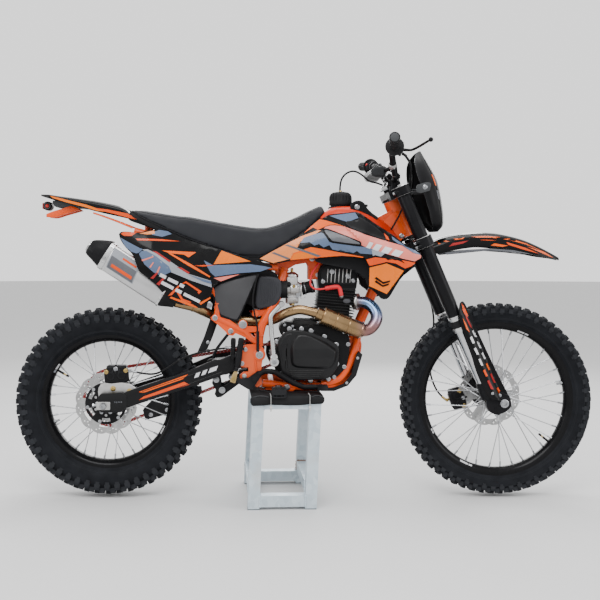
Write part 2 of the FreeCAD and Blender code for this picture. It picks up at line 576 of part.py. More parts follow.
fb = side([(541, 378), (618, 382), (640, 372), (640, 330), (620, 268), (548, 270)], 54, 98)
NODE["front_brake"] = cut(fb, cyl((FRONT_AXLE[0], 64, FRONT_AXLE[1]), (FRONT_AXLE[0], 79, FRONT_AXLE[1]), 126),
                          NODE["fork_leg_left"])
NODE["front_axle"] = join(cyl((FRONT_AXLE[0], -128, FRONT_AXLE[1]), (FRONT_AXLE[0], 128, FRONT_AXLE[1]), 9.5),
                          cyl((FRONT_AXLE[0], -134, FRONT_AXLE[1]), (FRONT_AXLE[0], -124.2, FRONT_AXLE[1]), 15),
                          cyl((FRONT_AXLE[0], 124.2, FRONT_AXLE[1]), (FRONT_AXLE[0], 134, FRONT_AXLE[1]), 15),
                          ring((FRONT_AXLE[0], -86, FRONT_AXLE[1]), (FRONT_AXLE[0], -62, FRONT_AXLE[1]), 16, 9.5),
                          ring((FRONT_AXLE[0], 58, FRONT_AXLE[1]), (FRONT_AXLE[0], 86, FRONT_AXLE[1]), 16, 9.5))

# ---------------------------------------------------------------- wheels
def tyre(centre, r, w, rim_r):
    h = w / 2
    return spin([(rim_r - 6, -h * 0.62), (rim_r + 14, -h * 0.86), ((rim_r + r) / 2, -h), (r - 16, -h * 0.92),
                 (r - 4, -h * 0.55), (r, 0), (r - 4, h * 0.55), (r - 16, h * 0.92), ((rim_r + r) / 2, h),
                 (rim_r + 14, h * 0.86), (rim_r - 6, h * 0.62)], centre)


def wheel(centre, rim_r, rim_w, hub_r, hub_w, flange_r, bore):
    h = rim_w / 2
    rim = spin([(rim_r, -h), (rim_r, -h + 4), (rim_r - 12, -h + 8), (rim_r - 16, -h * 0.4), (rim_r - 16, h * 0.4),
                (rim_r - 12, h - 8), (rim_r, h - 4), (rim_r, h), (rim_r - 16, h), (rim_r - 27, h * 0.5),
                (rim_r - 29, 0), (rim_r - 27, -h * 0.5), (rim_r - 16, -h)], centre)
    x, z = centre
    hw = hub_w / 2
    hub = spin([(bore, -hw), (flange_r, -hw), (flange_r, -hw + 7), (hub_r, -hw + 12), (hub_r, hw - 12),
                (flange_r, hw - 7), (flange_r, hw), (bore, hw)], centre)
    spokes = []
    n = 36
    for k in range(n):
        a = 2 * math.pi * k / n
        s = 1 if k % 2 else -1
        skew = 0.42 if (k // 2) % 2 else -0.42
        a0 = a + skew
        p0 = (x + (flange_r - 3) * math.cos(a0), s * (hw - 4), z + (flange_r - 3) * math.sin(a0))
        p1 = (x + (rim_r - 24) * math.cos(a), s * 6, z + (rim_r - 24) * math.sin(a))
        spokes.append(cyl(p0, p1, 2.0))
    return join(rim, hub, *spokes)


FX, RX = FRONT_AXLE, REAR_AXLE
NODE["front_rim"] = wheel(FX, FRONT_RIM_R, 46, 22, 108, 36, 10)
NODE["front_tyre"] = tyre(FX, FRONT_TYRE_R, FRONT_TYRE_W, FRONT_RIM_R).cut(NODE["front_rim"])
NODE["front_tyre"] = solids(NODE["front_tyre"], 0.2)
NODE["front_disc"] = ring((FX[0], 69.5, FX[1]), (FX[0], 73, FX[1]), 120, 92).fuse(
    ring((FX[0], 54.1, FX[1]), (FX[0], 69.6, FX[1]), 34, 17)).fuse(
    [box(FX[0] - 95, FX[0] + 95, 69.5, 72, FX[1] - 8, FX[1] + 8).cut(cyl((FX[0], 60, FX[1]), (FX[0], 80, FX[1]), 17)),
     box(FX[0] - 8, FX[0] + 8, 69.5, 72, FX[1] - 95, FX[1] + 95).cut(cyl((FX[0], 60, FX[1]), (FX[0], 80, FX[1]), 17))])
NODE["rear_rim"] = wheel(RX, REAR_RIM_R, 58, 30, 104, 48, 9)
NODE["rear_tyre"] = tyre(RX, REAR_TYRE_R, REAR_TYRE_W, REAR_RIM_R).cut(NODE["rear_rim"])
NODE["rear_tyre"] = solids(NODE["rear_tyre"], 0.2)
NODE["rear_disc"] = join(ring((RX[0], -72, RX[1]), (RX[0], -68, RX[1]), 110, 80),
                         ring((RX[0], -68.1, RX[1]), (RX[0], -52.1, RX[1]), 44, 17),
                         box(RX[0] - 84, RX[0] + 84, -71, -68, RX[1] - 8, RX[1] + 8).cut(
                             cyl((RX[0], -80, RX[1]), (RX[0], -50, RX[1]), 17)),
                         box(RX[0] - 8, RX[0] + 8, -71, -68, RX[1] - 84, RX[1] + 84).cut(
                             cyl((RX[0], -80, RX[1]), (RX[0], -50, RX[1]), 17)))
NODE["rear_sprocket"] = join(ring((RX[0], 59.5, RX[1]), (RX[0], 64.5, RX[1]), SPROCKET_R - 2, 66),
                             ring((RX[0], 52.1, RX[1]), (RX[0], 59.6, RX[1]), 44, 17),
                             box(RX[0] - 70, RX[0] + 70, 59.5, 63.5, RX[1] - 9, RX[1] + 9).cut(
                                 cyl((RX[0], 50, RX[1]), (RX[0], 80, RX[1]), 17)),
                             box(RX[0] - 9, RX[0] + 9, 59.5, 63.5, RX[1] - 70, RX[1] + 70).cut(
                                 cyl((RX[0], 50, RX[1]), (RX[0], 80, RX[1]), 17)))

# ---------------------------------------------------------------- hoses, cables and the ignition lead
HOSE_FRONT = [(541, 92, 330), (518, 100, 348), (498, 108, 384), (485, 115, 430), (481, 121, 485), (490, 127, 545),
              (506, 133, 610), (499, 138, 680), (473, 143, 748), (446, 147, 815), (420, 149, 880), (398, 148, 942),
              (386, 142, 1002), (395, 131, 1046), (405, 92, 1084), (404, 34, 1122), (396, -24, 1160), (376, -84, 1192),
              (350, -140, 1210), (330, -182, 1218), (323, -206, 1219)]
NODE["front_brake_hose"] = rod(HOSE_FRONT, 3.5, None, "front_brake_hose")
HOSE_REAR = [(-612, -93, 462), (-566, -99, 452), (-522, -107, 452), (-482, -113, 474), (-440, -116, 503),
             (-392, -118, 524), (-338, -122, 536), (-296, -131, 545), (-259, -138, 548)]
HOSE_VENT = [(-167, -115, 800), (-177, -116, 757), (-184, -117, 713), (-178, -118, 668), (-167, -119, 628),
             (-165, -123, 587), (-167, -128, 545)]
NODE["chassis_hoses"] = Part.makeCompound([rod(HOSE_REAR, 3.5, None, "rear_brake_hose"),
                                           rod(HOSE_VENT, 3.0, None, "vent_hose")])
LEAD = [(60, -64, 850), (34, -69, 822), (20, -73, 788), (22, -76, 758), (46, -78, 747), (76, -79, 752)]
plug_cap = join(cyl((74, -79, 752), (122, -79, 760), 8), cyl((124, -79, 764), (131, -79, 722), 8),
                cyl((131, -79, 726), (131, -62, 726), 8))
NODE["ignition_lead"] = join(rod(LEAD, 3.5, None, "ignition_lead"), plug_cap)
THROTTLE = [(325, -216, 1211), (344, -198, 1203), (360, -166, 1185), (371, -122, 1154), (373, -74, 1108), (360, -51, 1056),
            (338, -46, 1004), (312, -50, 962)]
CLUTCH = [(325, 216, 1211), (344, 198, 1203), (360, 166, 1185), (371, 122, 1154), (373, 74, 1108), (360, 51, 1056),
          (338, 46, 1004), (312, 50, 962)]
VENT = [(134, 0, 1104), (134, 0, 1136), (150, 0, 1166), (182, 0, 1180), (214, 0, 1165), (240, 0, 1138), (268, 0, 1135),
        (290, 0, 1125)]
NODE["control_cables"] = Part.makeCompound([rod(THROTTLE, 3.0, None, "throttle_cable"),
                                            rod(CLUTCH, 3.0, None, "clutch_cable"),
                                            rod(VENT, 3.5, None, "tank_vent_hose")])

# ---------------------------------------------------------------- trims where pieces meet
TRIM = [
    ("fuel_tank", "frame_backbone"), ("frame_uprights", "frame_backbone"), ("subframe", "frame_backbone"),
    ("subframe", "frame_uprights"), ("frame_cradle", "frame_down_tube"), ("frame_cradle", "frame_uprights"),
    ("frame_uprights", "engine_crankcase"), ("engine_crankcase", "frame_down_tube"), ("engine_crankcase", "frame_cradle"),
    ("clutch_cover", "frame_cradle"), ("gear_lever", "engine_crankcase"), ("kick_starter", "clutch_cover"),
    ("kick_starter", "exhaust_header"),
    ("skid_plate", "frame_cradle"), ("skid_plate", "frame_down_tube"), ("footpegs", "frame_cradle"),
    ("footpegs", "frame_uprights"), ("footpegs", "stand_pad"), ("brake_pedal", "footpegs"), ("brake_pedal", "frame_uprights"),
    ("shock_absorber", "frame_uprights"), ("shock_absorber", "swingarm"), ("suspension_linkage", "swingarm"),
    ("suspension_linkage", "shock_absorber"), ("suspension_linkage", "frame_uprights"),
    ("swingarm", "frame_uprights"), ("swingarm", "rear_axle"), ("air_box", "frame_backbone"),
    ("air_box", "frame_uprights"), ("air_box", "subframe"), ("air_box", "shock_absorber"), ("air_box", "carburettor"),
    ("air_box", "exhaust_header"), ("exhaust_header", "frame_uprights"), ("exhaust_header", "subframe"),
    ("exhaust_header", "clutch_cover"), ("muffler", "exhaust_header"), ("muffler", "subframe"),
    ("chain_guide", "swingarm"), ("rear_brake", "swingarm"), ("rear_brake", "brake_pedal"), ("rear_brake", "rear_axle"),
    ("seat", "fuel_tank"), ("seat", "air_box"), ("subframe", "seat"), ("rear_fender", "seat"), ("rear_fender", "subframe"),
    ("tail_light", "rear_fender"), ("shroud_right", "fuel_tank"), ("shroud_left", "fuel_tank"),
    ("side_panel_right", "shroud_right"), ("side_panel_left", "shroud_left"), ("side_panel_right", "subframe"),
    ("side_panel_left", "subframe"), ("side_panel_right", "seat"), ("side_panel_left", "seat"),
    ("side_panel_right", "air_box"), ("side_panel_left", "air_box"), ("side_panel_right", "muffler"),
    ("fuel_tank", "cylinder_head"), ("fuel_tank", "frame_down_tube"), ("carburettor", "frame_uprights"),
    ("cylinder_head", "frame_backbone"), ("chain_guide", "chain"), ("ignition_lead", "cylinder_head"),
    ("ignition_lead", "fuel_tank"), ("control_cables", "fuel_tank"), ("control_cables", "carburettor"),
    ("chassis_hoses", "rear_brake"),
]
for a, b in TRIM:
    before = NODE[a].Volume
    try:
        NODE[a] = solids(cut(NODE[a], NODE[b]), 0.05 if a.startswith("side_panel") else 0.02)
    except ValueError:
        print("not trimmed", a, b)
    if before - NODE[a].Volume > 60000:
        print("trim", a, b, round((before - NODE[a].Volume) / 1000), "cm3 of", round(before / 1000))

if __name__ == "__main__":
    for name, shape in NODE.items():
        shape.exportStep("parts/%s.step" % name)
    print(len(NODE), "nodes")
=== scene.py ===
import bpy
import bmesh
import math
import random
import numpy as np
from mathutils import Matrix, Vector


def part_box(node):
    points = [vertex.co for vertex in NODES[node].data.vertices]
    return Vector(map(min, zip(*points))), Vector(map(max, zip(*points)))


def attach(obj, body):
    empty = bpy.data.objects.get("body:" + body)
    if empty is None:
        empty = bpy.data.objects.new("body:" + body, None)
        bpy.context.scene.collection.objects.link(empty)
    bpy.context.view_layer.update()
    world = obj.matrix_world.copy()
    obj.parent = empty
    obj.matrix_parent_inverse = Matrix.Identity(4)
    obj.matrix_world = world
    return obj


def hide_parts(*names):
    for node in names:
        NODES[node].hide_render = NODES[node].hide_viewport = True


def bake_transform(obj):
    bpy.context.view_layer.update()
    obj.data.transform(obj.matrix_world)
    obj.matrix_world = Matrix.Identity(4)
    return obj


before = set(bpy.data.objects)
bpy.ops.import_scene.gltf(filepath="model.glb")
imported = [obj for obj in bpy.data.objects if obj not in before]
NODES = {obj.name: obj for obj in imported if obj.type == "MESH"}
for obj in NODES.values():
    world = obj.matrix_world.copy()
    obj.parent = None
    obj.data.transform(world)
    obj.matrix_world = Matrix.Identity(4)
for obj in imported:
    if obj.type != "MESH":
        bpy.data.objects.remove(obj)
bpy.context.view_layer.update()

PI = math.pi
rnd = random.Random(7)

# ------------------------------------------------------------------ camera, light, floor
cam_data = bpy.data.cameras.new("camera")
cam_data.lens = 50.3
cam_data.sensor_width = 36.0
cam_data.shift_x = 0.075
cam_data.shift_y = -0.06
cam = bpy.data.objects.new("camera", cam_data)
cam.location = (-0.175, -3.05, 0.839)
cam.rotation_euler = (PI / 2, 0, 0)
bpy.context.scene.collection.objects.link(cam)
bpy.context.scene.camera = cam

world = bpy.context.scene.world or bpy.data.worlds.new("world")
bpy.context.scene.world = world
world.use_nodes = True
wbg = world.node_tree.nodes["Background"]
wbg.inputs["Color"].default_value = (1.0, 1.0, 1.0, 1)
wbg.inputs["Strength"].default_value = 1.5


def area(name, loc, look, size, power, size_y=None):
    d = bpy.data.lights.new(name, "AREA")
    d.energy = power
    d.shape = "RECTANGLE"
    d.size = size
    d.size_y = size_y or size
    o = bpy.data.objects.new(name, d)
    o.location = loc
    o.rotation_euler = (Vector(look) - Vector(loc)).to_track_quat("-Z", "Y").to_euler()
    bpy.context.scene.collection.objects.link(o)
    return o


area("key_light", (-0.6, -2.6, 3.4), (0, 0, 0.6), 2.6, 125, 1.6)
area("top_light", (0.3, 0.6, 3.6), (0, 0, 0.6), 3.2, 105, 2.0)
area("left_fill", (-3.6, -1.6, 1.6), (0, 0, 0.6), 1.8, 50, 2.2)
area("right_fill", (3.6, -1.8, 1.6), (0.2, 0, 0.6), 1.8, 50, 2.2)
area("back_fill", (0.4, 3.4, 2.0), (0, 0, 0.6), 2.4, 80, 1.6)


# ------------------------------------------------------------------ materials
ALBEDO = 0.62     # the studio is bright, so that its white stays white; surfaces are set for it


def mat(name, color, rough=0.5, metal=0.0, coat=0.0, coat_rough=0.08, var=0.1, var_scale=14.0, rvar=0.08,
        rscale=30.0, bump=0.15, bump_scale=320.0, bump_dist=0.0004, sheen=0.0, spec=0.5, edge_wear_and_highlight=0.0, edge_wear_and_highlight_color=None,
        detail=4.0, kind="noise", emit=0.0):
    m = bpy.data.materials.new(name)
    m.use_nodes = True
    nt = m.node_tree
    N, L = nt.nodes, nt.links
    b = N["Principled BSDF"]
    b.inputs["Metallic"].default_value = metal
    dark = metal < 0.5 and sum(color[:3]) / 3 < 0.12
    b.inputs["Coat Weight"].default_value = coat * (0.16 if dark else 0.3)
    b.inputs["Coat Roughness"].default_value = coat_rough
    b.inputs["Sheen Weight"].default_value = sheen * 0.4
    b.inputs["Specular IOR Level"].default_value = spec * (0.15 if dark else 0.3) if metal < 0.5 else spec
    tc = N.new("ShaderNodeTexCoord")
    n1 = N.new("ShaderNodeTexNoise")
    n1.inputs["Scale"].default_value = var_scale
    n1.inputs["Detail"].default_value = detail
    L.new(tc.outputs["Object"], n1.inputs["Vector"])
    ramp = N.new("ShaderNodeValToRGB")
    c = np.array(color[:3], float) * ALBEDO
    lo, hi = np.clip(c * (1 - var), 0, 1), np.clip(c * (1 + var), 0, 1)
    ramp.color_ramp.elements[0].position = 0.3
    ramp.color_ramp.elements[0].color = (*lo, 1)
    ramp.color_ramp.elements[1].position = 0.7
    ramp.color_ramp.elements[1].color = (*hi, 1)
    L.new(n1.outputs["Fac"], ramp.inputs["Fac"])
    out = ramp.outputs["Color"]
    # lighter colour on convex edges, from Pointiness: partly edge wear, partly a painted edge highlight
    if edge_wear_and_highlight > 0:
        geo = N.new("ShaderNodeNewGeometry")
        mr = N.new("ShaderNodeMapRange")
        mr.inputs["From Min"].default_value = 0.52
        mr.inputs["From Max"].default_value = 0.62
        mr.inputs["To Max"].default_value = edge_wear_and_highlight
        L.new(geo.outputs["Pointiness"], mr.inputs["Value"])
        mix = N.new("ShaderNodeMix")
        mix.data_type = "RGBA"
        mix.inputs["B"].default_value = (*(np.array(edge_wear_and_highlight_color or (0.5, 0.5, 0.5)) * ALBEDO), 1)
        L.new(mr.outputs["Result"], mix.inputs["Factor"])
        L.new(out, mix.inputs["A"])
        out = mix.outputs["Result"]
    L.new(out, b.inputs["Base Color"])
    n2 = N.new("ShaderNodeTexNoise")
    n2.inputs["Scale"].default_value = rscale
    n2.inputs["Detail"].default_value = 3.0
    L.new(tc.outputs["Object"], n2.inputs["Vector"])
    mr2 = N.new("ShaderNodeMapRange")
    mr2.inputs["From Min"].default_value = 0.3
    mr2.inputs["From Max"].default_value = 0.7
    mr2.inputs["To Min"].default_value = max(0.02, rough - rvar)
    mr2.inputs["To Max"].default_value = min(1.0, rough + rvar)
    L.new(n2.outputs["Fac"], mr2.inputs["Value"])
    L.new(mr2.outputs["Result"], b.inputs["Roughness"])
    if bump > 0:
        if kind == "noise":
            n3 = N.new("ShaderNodeTexNoise")
            n3.inputs["Scale"].default_value = bump_scale
            n3.inputs["Detail"].default_value = 2.0
            src = n3.outputs["Fac"]
            L.new(tc.outputs["Object"], n3.inputs["Vector"])
        elif kind == "grain":
            n3 = N.new("ShaderNodeTexVoronoi")
            n3.feature = "DISTANCE_TO_EDGE"
            n3.inputs["Scale"].default_value = bump_scale
            src = n3.outputs["Distance"]
            L.new(tc.outputs["Object"], n3.inputs["Vector"])
        elif kind == "brushed":
            mp = N.new("ShaderNodeMapping")
            mp.inputs["Scale"].default_value = (0.05, 1.0, 1.0)
            n3 = N.new("ShaderNodeTexNoise")
            n3.inputs["Scale"].default_value = bump_scale
            src = n3.outputs["Fac"]
            L.new(tc.outputs["Object"], mp.inputs["Vector"])
            L.new(mp.outputs["Vector"], n3.inputs["Vector"])
        bp = N.new("ShaderNodeBump")
        bp.inputs["Strength"].default_value = bump
        bp.inputs["Distance"].default_value = bump_dist
        L.new(src, bp.inputs["Height"])
        L.new(bp.outputs["Normal"], b.inputs["Normal"])
    return m


ORANGE_FRAME = mat("frame_orange", (0.90, 0.090, 0.010), 0.3, coat=0.55, var=0.05, bump=0.12, bump_scale=160, edge_wear_and_highlight=0.15,
                   edge_wear_and_highlight_color=(0.95, 0.4, 0.2))
ORANGE = mat("graphic_orange", (1.0, 0.130, 0.0), 0.28, coat=0.6, var=0.05, bump=0.05)
ORANGE_DEEP = mat("graphic_deep_orange", (0.92, 0.085, 0.002), 0.28, coat=0.6, var=0.05, bump=0.05)
ORANGE_YELLOW = mat("graphic_yellow_orange", (1.0, 0.20, 0.0), 0.28, coat=0.6, var=0.05, bump=0.05)
SALMON = mat("graphic_salmon", (0.92, 0.235, 0.18), 0.28, coat=0.6, var=0.06, bump=0.05)
PEACH = mat("graphic_peach", (0.96, 0.30, 0.085), 0.28, coat=0.6, var=0.08, bump=0.05)
BLACK_ARM = mat("arm_black_paint", (0.011, 0.011, 0.012), 0.34, coat=0.4, var=0.08, bump=0.08, bump_scale=200, edge_wear_and_highlight=0.1, edge_wear_and_highlight_color=(0.2, 0.2, 0.2))
AIR_RIB = mat("air_box_plastic", (0.045, 0.046, 0.052), 0.42, var=0.1, bump=0.2, bump_scale=260)
OVAL_GREY = mat("cast_grey", (0.10, 0.10, 0.11), 0.5, metal=0.3, var=0.1, bump=0.2)
RUST_DARK = mat("weld_rust", (0.30, 0.12, 0.05), 0.8, var=0.4, var_scale=60, bump=0.4)
GOLD = mat("gold_anodised", (0.62, 0.44, 0.20), 0.32, metal=0.85, var=0.05, bump=0.05)
SPRING = mat("spring_red", (0.22, 0.018, 0.012), 0.32, coat=0.5, var=0.06, bump=0.06)
PAD_RUBBER = mat("pad_rubber", (0.020, 0.020, 0.021), 0.75, var=0.15, bump=0.3, bump_scale=220)
BLUEGREY = mat("graphic_blue_grey", (0.115, 0.165, 0.27), 0.28, coat=0.6, var=0.06, bump=0.05)
LIGHTGREY = mat("graphic_light_grey", (0.36, 0.38, 0.42), 0.3, coat=0.5, var=0.08, bump=0.05)
MIDGREY = mat("graphic_mid_grey", (0.13, 0.135, 0.15), 0.32, coat=0.4, var=0.08, bump=0.05)
WHITE = mat("graphic_white", (0.78, 0.78, 0.80), 0.35, coat=0.4, var=0.04, bump=0.05)
DARKRED = mat("graphic_dark_red", (0.42, 0.02, 0.02), 0.3, coat=0.5, var=0.1, bump=0.05)
GLOSS_BLACK = mat("gloss_black_plastic", (0.005, 0.005, 0.0055), 0.2, coat=0.6, var=0.2, bump=0.05)
SATIN_BLACK = mat("satin_black_plastic", (0.010, 0.010, 0.011), 0.38, var=0.2, bump=0.12, bump_scale=700, edge_wear_and_highlight=0.12,
                  edge_wear_and_highlight_color=(0.12, 0.12, 0.13))
MATTE_BLACK = mat("matte_black_plastic", (0.013, 0.013, 0.014), 0.55, var=0.2, bump=0.2, bump_scale=500, edge_wear_and_highlight=0.12,
                  edge_wear_and_highlight_color=(0.14, 0.14, 0.15))
DARK_GREY = mat("dark_grey_plastic", (0.070, 0.070, 0.074), 0.42, var=0.1, bump=0.2, bump_scale=900, coat=0.15)
ENGINE_BLACK = mat("engine_black_paint", (0.009, 0.009, 0.010), 0.42, metal=0.0, coat=0.12, coat_rough=0.3, var=0.2, bump=0.25,
                   bump_scale=420, edge_wear_and_highlight=0.25, edge_wear_and_highlight_color=(0.16, 0.16, 0.16))
COVER_BLACK = mat("cover_black_paint", (0.008, 0.008, 0.009), 0.34, spec=1.2, coat=0.6, coat_rough=0.25, var=0.15, bump=0.12,
                  bump_scale=600, edge_wear_and_highlight=0.2, edge_wear_and_highlight_color=(0.12, 0.12, 0.12))
RED_TANK = mat("tank_red_orange", (0.72, 0.033, 0.004), 0.34, coat=0.15, var=0.08, bump=0.06)
ALU = mat("cast_aluminium", (0.62, 0.61, 0.60), 0.38, metal=0.9, var=0.12, var_scale=60, bump=0.35, bump_scale=500, rvar=0.12,
          edge_wear_and_highlight=0.3, edge_wear_and_highlight_color=(0.85, 0.85, 0.85))
ALU_BRIGHT = mat("machined_aluminium", (0.80, 0.80, 0.80), 0.25, metal=1.0, var=0.08, var_scale=40, bump=0.12,
                 bump_scale=700, kind="brushed")
CAN = mat("muffler_aluminium", (0.74, 0.74, 0.745), 0.34, metal=0.92, var=0.04, var_scale=9, bump=0.18, bump_scale=900,
          kind="brushed", rvar=0.05)
STEEL = mat("steel", (0.58, 0.58, 0.58), 0.3, metal=1.0, var=0.12, var_scale=50, bump=0.12, bump_scale=500)
ZINC = mat("zinc_bolts", (0.48, 0.49, 0.51), 0.28, metal=1.0, var=0.12, var_scale=70, bump=0.12, bump_scale=500)
BRASS = mat("gold_zinc", (0.62, 0.44, 0.16), 0.32, metal=1.0, var=0.18, var_scale=60, bump=0.12, bump_scale=500)
SPOKE = mat("spoke_steel", (0.66, 0.67, 0.69), 0.3, metal=0.9, var=0.08, var_scale=60, bump=0.08, bump_scale=500)
RIM_BLACK = mat("rim_black", (0.010, 0.010, 0.011), 0.25, metal=0.3, coat=0.3, var=0.15, bump=0.08, bump_scale=500)
FORK_BLACK = mat("fork_black", (0.012, 0.012, 0.0135), 0.3, metal=0.3, coat=0.2, coat_rough=0.2, var=0.1, bump=0.08,
                 bump_scale=500)
CHROME = mat("hard_chrome", (0.75, 0.75, 0.77), 0.12, metal=1.0, var=0.04, bump=0.04, bump_scale=300, rvar=0.04)
# the bluish grey on the tyre's edges is partly wear, partly a painted highlight
TYRE = mat("tyre_rubber", (0.013, 0.014, 0.017), 0.62, var=0.25, var_scale=25, bump=0.35, bump_scale=260, rvar=0.12,
           edge_wear_and_highlight=0.35, edge_wear_and_highlight_color=(0.060, 0.063, 0.070), spec=0.4)
RUBBER = mat("black_rubber", (0.018, 0.018, 0.019), 0.6, var=0.2, var_scale=40, bump=0.25, bump_scale=400, rvar=0.1)
CABLE = mat("cable_sheath", (0.014, 0.014, 0.015), 0.4, var=0.15, var_scale=60, bump=0.2, bump_scale=700)
VINYL = mat("seat_vinyl", (0.019, 0.020, 0.024), 0.5, var=0.12, var_scale=9, bump=0.35, bump_scale=520, kind="grain",
            bump_dist=0.0003, sheen=0.12, rvar=0.06)
VINYL_SIDE = mat("seat_side_vinyl", (0.012, 0.012, 0.014), 0.42, var=0.12, var_scale=9, bump=0.3, bump_scale=700,
                 kind="grain", bump_dist=0.0002)
PAD_VINYL = mat("pad_vinyl", (0.028, 0.029, 0.031), 0.45, var=0.12, var_scale=20, bump=0.35, bump_scale=650, kind="grain",
                bump_dist=0.0002, sheen=0.1)
RED_RUBBER = mat("red_silicone", (0.80, 0.035, 0.045), 0.32, coat=0.15, var=0.06, var_scale=30, bump=0.1, bump_scale=300)
RED_CHAIN = mat("red_chain", (0.40, 0.035, 0.03), 0.4, metal=0.5, var=0.35, var_scale=120, bump=0.3, bump_scale=400)
RED_PLASTIC = mat("red_switch", (0.75, 0.03, 0.03), 0.3, coat=0.3, var=0.05, bump=0.05)
GREY_PLASTIC = mat("grey_end_cap", (0.075, 0.078, 0.082), 0.5, var=0.1, bump=0.2, bump_scale=500)
NYLON = mat("white_nylon", (0.78, 0.78, 0.76), 0.45, var=0.05, bump=0.08)
AMBER = mat("lamp_red", (0.5, 0.02, 0.015), 0.15, coat=0.8, var=0.1, bump=0.3, bump_scale=150, kind="grain")


def galvanised():
    m = mat("galvanised_steel", (0.60, 0.66, 0.69), 0.42, metal=0.35, var=0.06, var_scale=5, bump=0.12, bump_scale=180,
            rvar=0.1, rscale=18)
    nt = m.node_tree
    N, L = nt.nodes, nt.links
    b = N["Principled BSDF"]
    tc = N.new("ShaderNodeTexCoord")
    v = N.new("ShaderNodeTexVoronoi")
    v.inputs["Scale"].default_value = 55
    L.new(tc.outputs["Object"], v.inputs["Vector"])
    r = N.new("ShaderNodeValToRGB")
    r.color_ramp.elements[0].color = (0.40, 0.475, 0.525, 1)
    r.color_ramp.elements[1].color = (0.53, 0.60, 0.645, 1)
    L.new(v.outputs["Color"], r.inputs["Fac"])
    n = N.new("ShaderNodeTexNoise")
    n.inputs["Scale"].default_value = 9
    n.inputs["Detail"].default_value = 6
    L.new(tc.outputs["Object"], n.inputs["Vector"])
    rr = N.new("ShaderNodeValToRGB")
    rr.color_ramp.elements[0].position = 0.62
    rr.color_ramp.elements[0].color = (0, 0, 0, 1)
    rr.color_ramp.elements[1].position = 0.78
    rr.color_ramp.elements[1].color = (0.5, 0.5, 0.5, 1)
    L.new(n.outputs["Fac"], rr.inputs["Fac"])
    mix = N.new("ShaderNodeMix")
    mix.data_type = "RGBA"
    mix.inputs["B"].default_value = (0.40, 0.36, 0.32, 1)
    L.new(rr.outputs["Color"], mix.inputs["Factor"])
    L.new(r.outputs["Color"], mix.inputs["A"])
    L.new(mix.outputs["Result"], b.inputs["Base Color"])
    return m


GALV = galvanised()
RUST = mat("rusty_weld", (0.20, 0.09, 0.045), 0.75, metal=0.1, var=0.5, var_scale=180, bump=0.6, bump_scale=300)
WELD = mat("weld_bead_orange", (0.80, 0.115, 0.03), 0.35, coat=0.4, var=0.08, bump=0.3, bump_scale=300)


def exhaust():
    """Bronze stainless with purple and blue heat colours near the port."""
    m = mat("exhaust_bronze", (0.40, 0.255, 0.125), 0.26, metal=0.95, var=0.18, var_scale=18, bump=0.1, bump_scale=500, rvar=0.06)
    nt = m.node_tree
    N, L = nt.nodes, nt.links
    b = N["Principled BSDF"]
    base = b.inputs["Base Color"].links[0].from_socket
    tc = N.new("ShaderNodeTexCoord")
    sep = N.new("ShaderNodeSeparateXYZ")
    L.new(tc.outputs["Object"], sep.inputs["Vector"])

    def ramp(src, a, c):
        r = N.new("ShaderNodeMapRange")
        r.interpolation_type = "SMOOTHSTEP"
        r.inputs["From Min"].default_value = a
        r.inputs["From Max"].default_value = c
        L.new(src, r.inputs["Value"])
        return r.outputs["Result"]

    def times(p, q):
        r = N.new("ShaderNodeMath")
        r.operation = "MULTIPLY"
        L.new(p, r.inputs[0])
        L.new(q, r.inputs[1])
        return r.outputs[0]

    def over(fac, colour, under):
        mix = N.new("ShaderNodeMix")
        mix.data_type = "RGBA"
        mix.inputs["B"].default_value = (*colour, 1)
        L.new(fac, mix.inputs["Factor"])
        L.new(under, mix.inputs["A"])
        return mix.outputs["Result"]

    front = ramp(sep.outputs["X"], 0.165, 0.225)
    high = ramp(sep.outputs["Z"], 0.610, 0.690)
    out = over(front, (0.22, 0.11, 0.105), base)
    out = over(times(front, high), (0.10, 0.17, 0.30), out)
    L.new(out, b.inputs["Base Color"])
    return m


EXHAUST = exhaust()
RING = mat("exhaust_weld_ring", (0.36, 0.20, 0.27), 0.3, metal=0.9, var=0.3, var_scale=90, bump=0.4, bump_scale=260)

floor_mat = mat("floor", (0.86, 0.86, 0.86), 0.85, var=0.01, var_scale=2, bump=0.02, bump_scale=60, spec=0.1)


# ------------------------------------------------------------------ shape helpers
def at(px, py, y=0.0):
    """A point of the 600 x 600 side view, for a surface at lateral place y (m): its X and Z in metres."""
    k = 3.050 / (3.050 + y)
    return ((255 + (px - 255) / 1.0 * (1 / k) - 303) * 0.003638, (494.6 - (264 + (py - 264) * (1 / k))) * 0.003638)


def pic(points, y):
    """Several picture points to X and Z; y is a number or a function of X and Z giving the half width (near side)."""
    out = []
    for px, py in points:
        if callable(y):
            x, z = at(px, py, -0.13)
            for _ in range(4):
                x, z = at(px, py, -float(y(x, z)))
        else:
            x, z = at(px, py, y)
        out.append((x, z))
    return out


def smooth(points, n=6, closed=True, corners=()):
    """A curve through the points; the indices in corners stay sharp."""
    P = [Vector(p) for p in points]
    m = len(P)
    out = []
    for i in range(m if closed else m - 1):
        p1, p2 = P[i], P[(i + 1) % m]
        p0 = P[i - 1] if (closed or i > 0) else p1
        p3 = P[(i + 2) % m] if (closed or i + 2 < m) else p2
        d = (p2 - p1).length
        t1 = Vector(p2 - p0)
        t2 = Vector(p3 - p1)
        t1 = t1.normalized() * d if (i % m) not in corners and t1.length > 1e-9 else (p2 - p1)
        t2 = t2.normalized() * d if ((i + 1) % m) not in corners and t2.length > 1e-9 else (p2 - p1)
        for k in range(n):
            s = k / n
            h = (2 * s ** 3 - 3 * s ** 2 + 1) * p1 + (s ** 3 - 2 * s ** 2 + s) * t1 + (-2 * s ** 3 + 3 * s ** 2) * p2 + (
                s ** 3 - s ** 2) * t2
            out.append(tuple(h))
    if not closed:
        out.append(tuple(P[-1]))
    return out


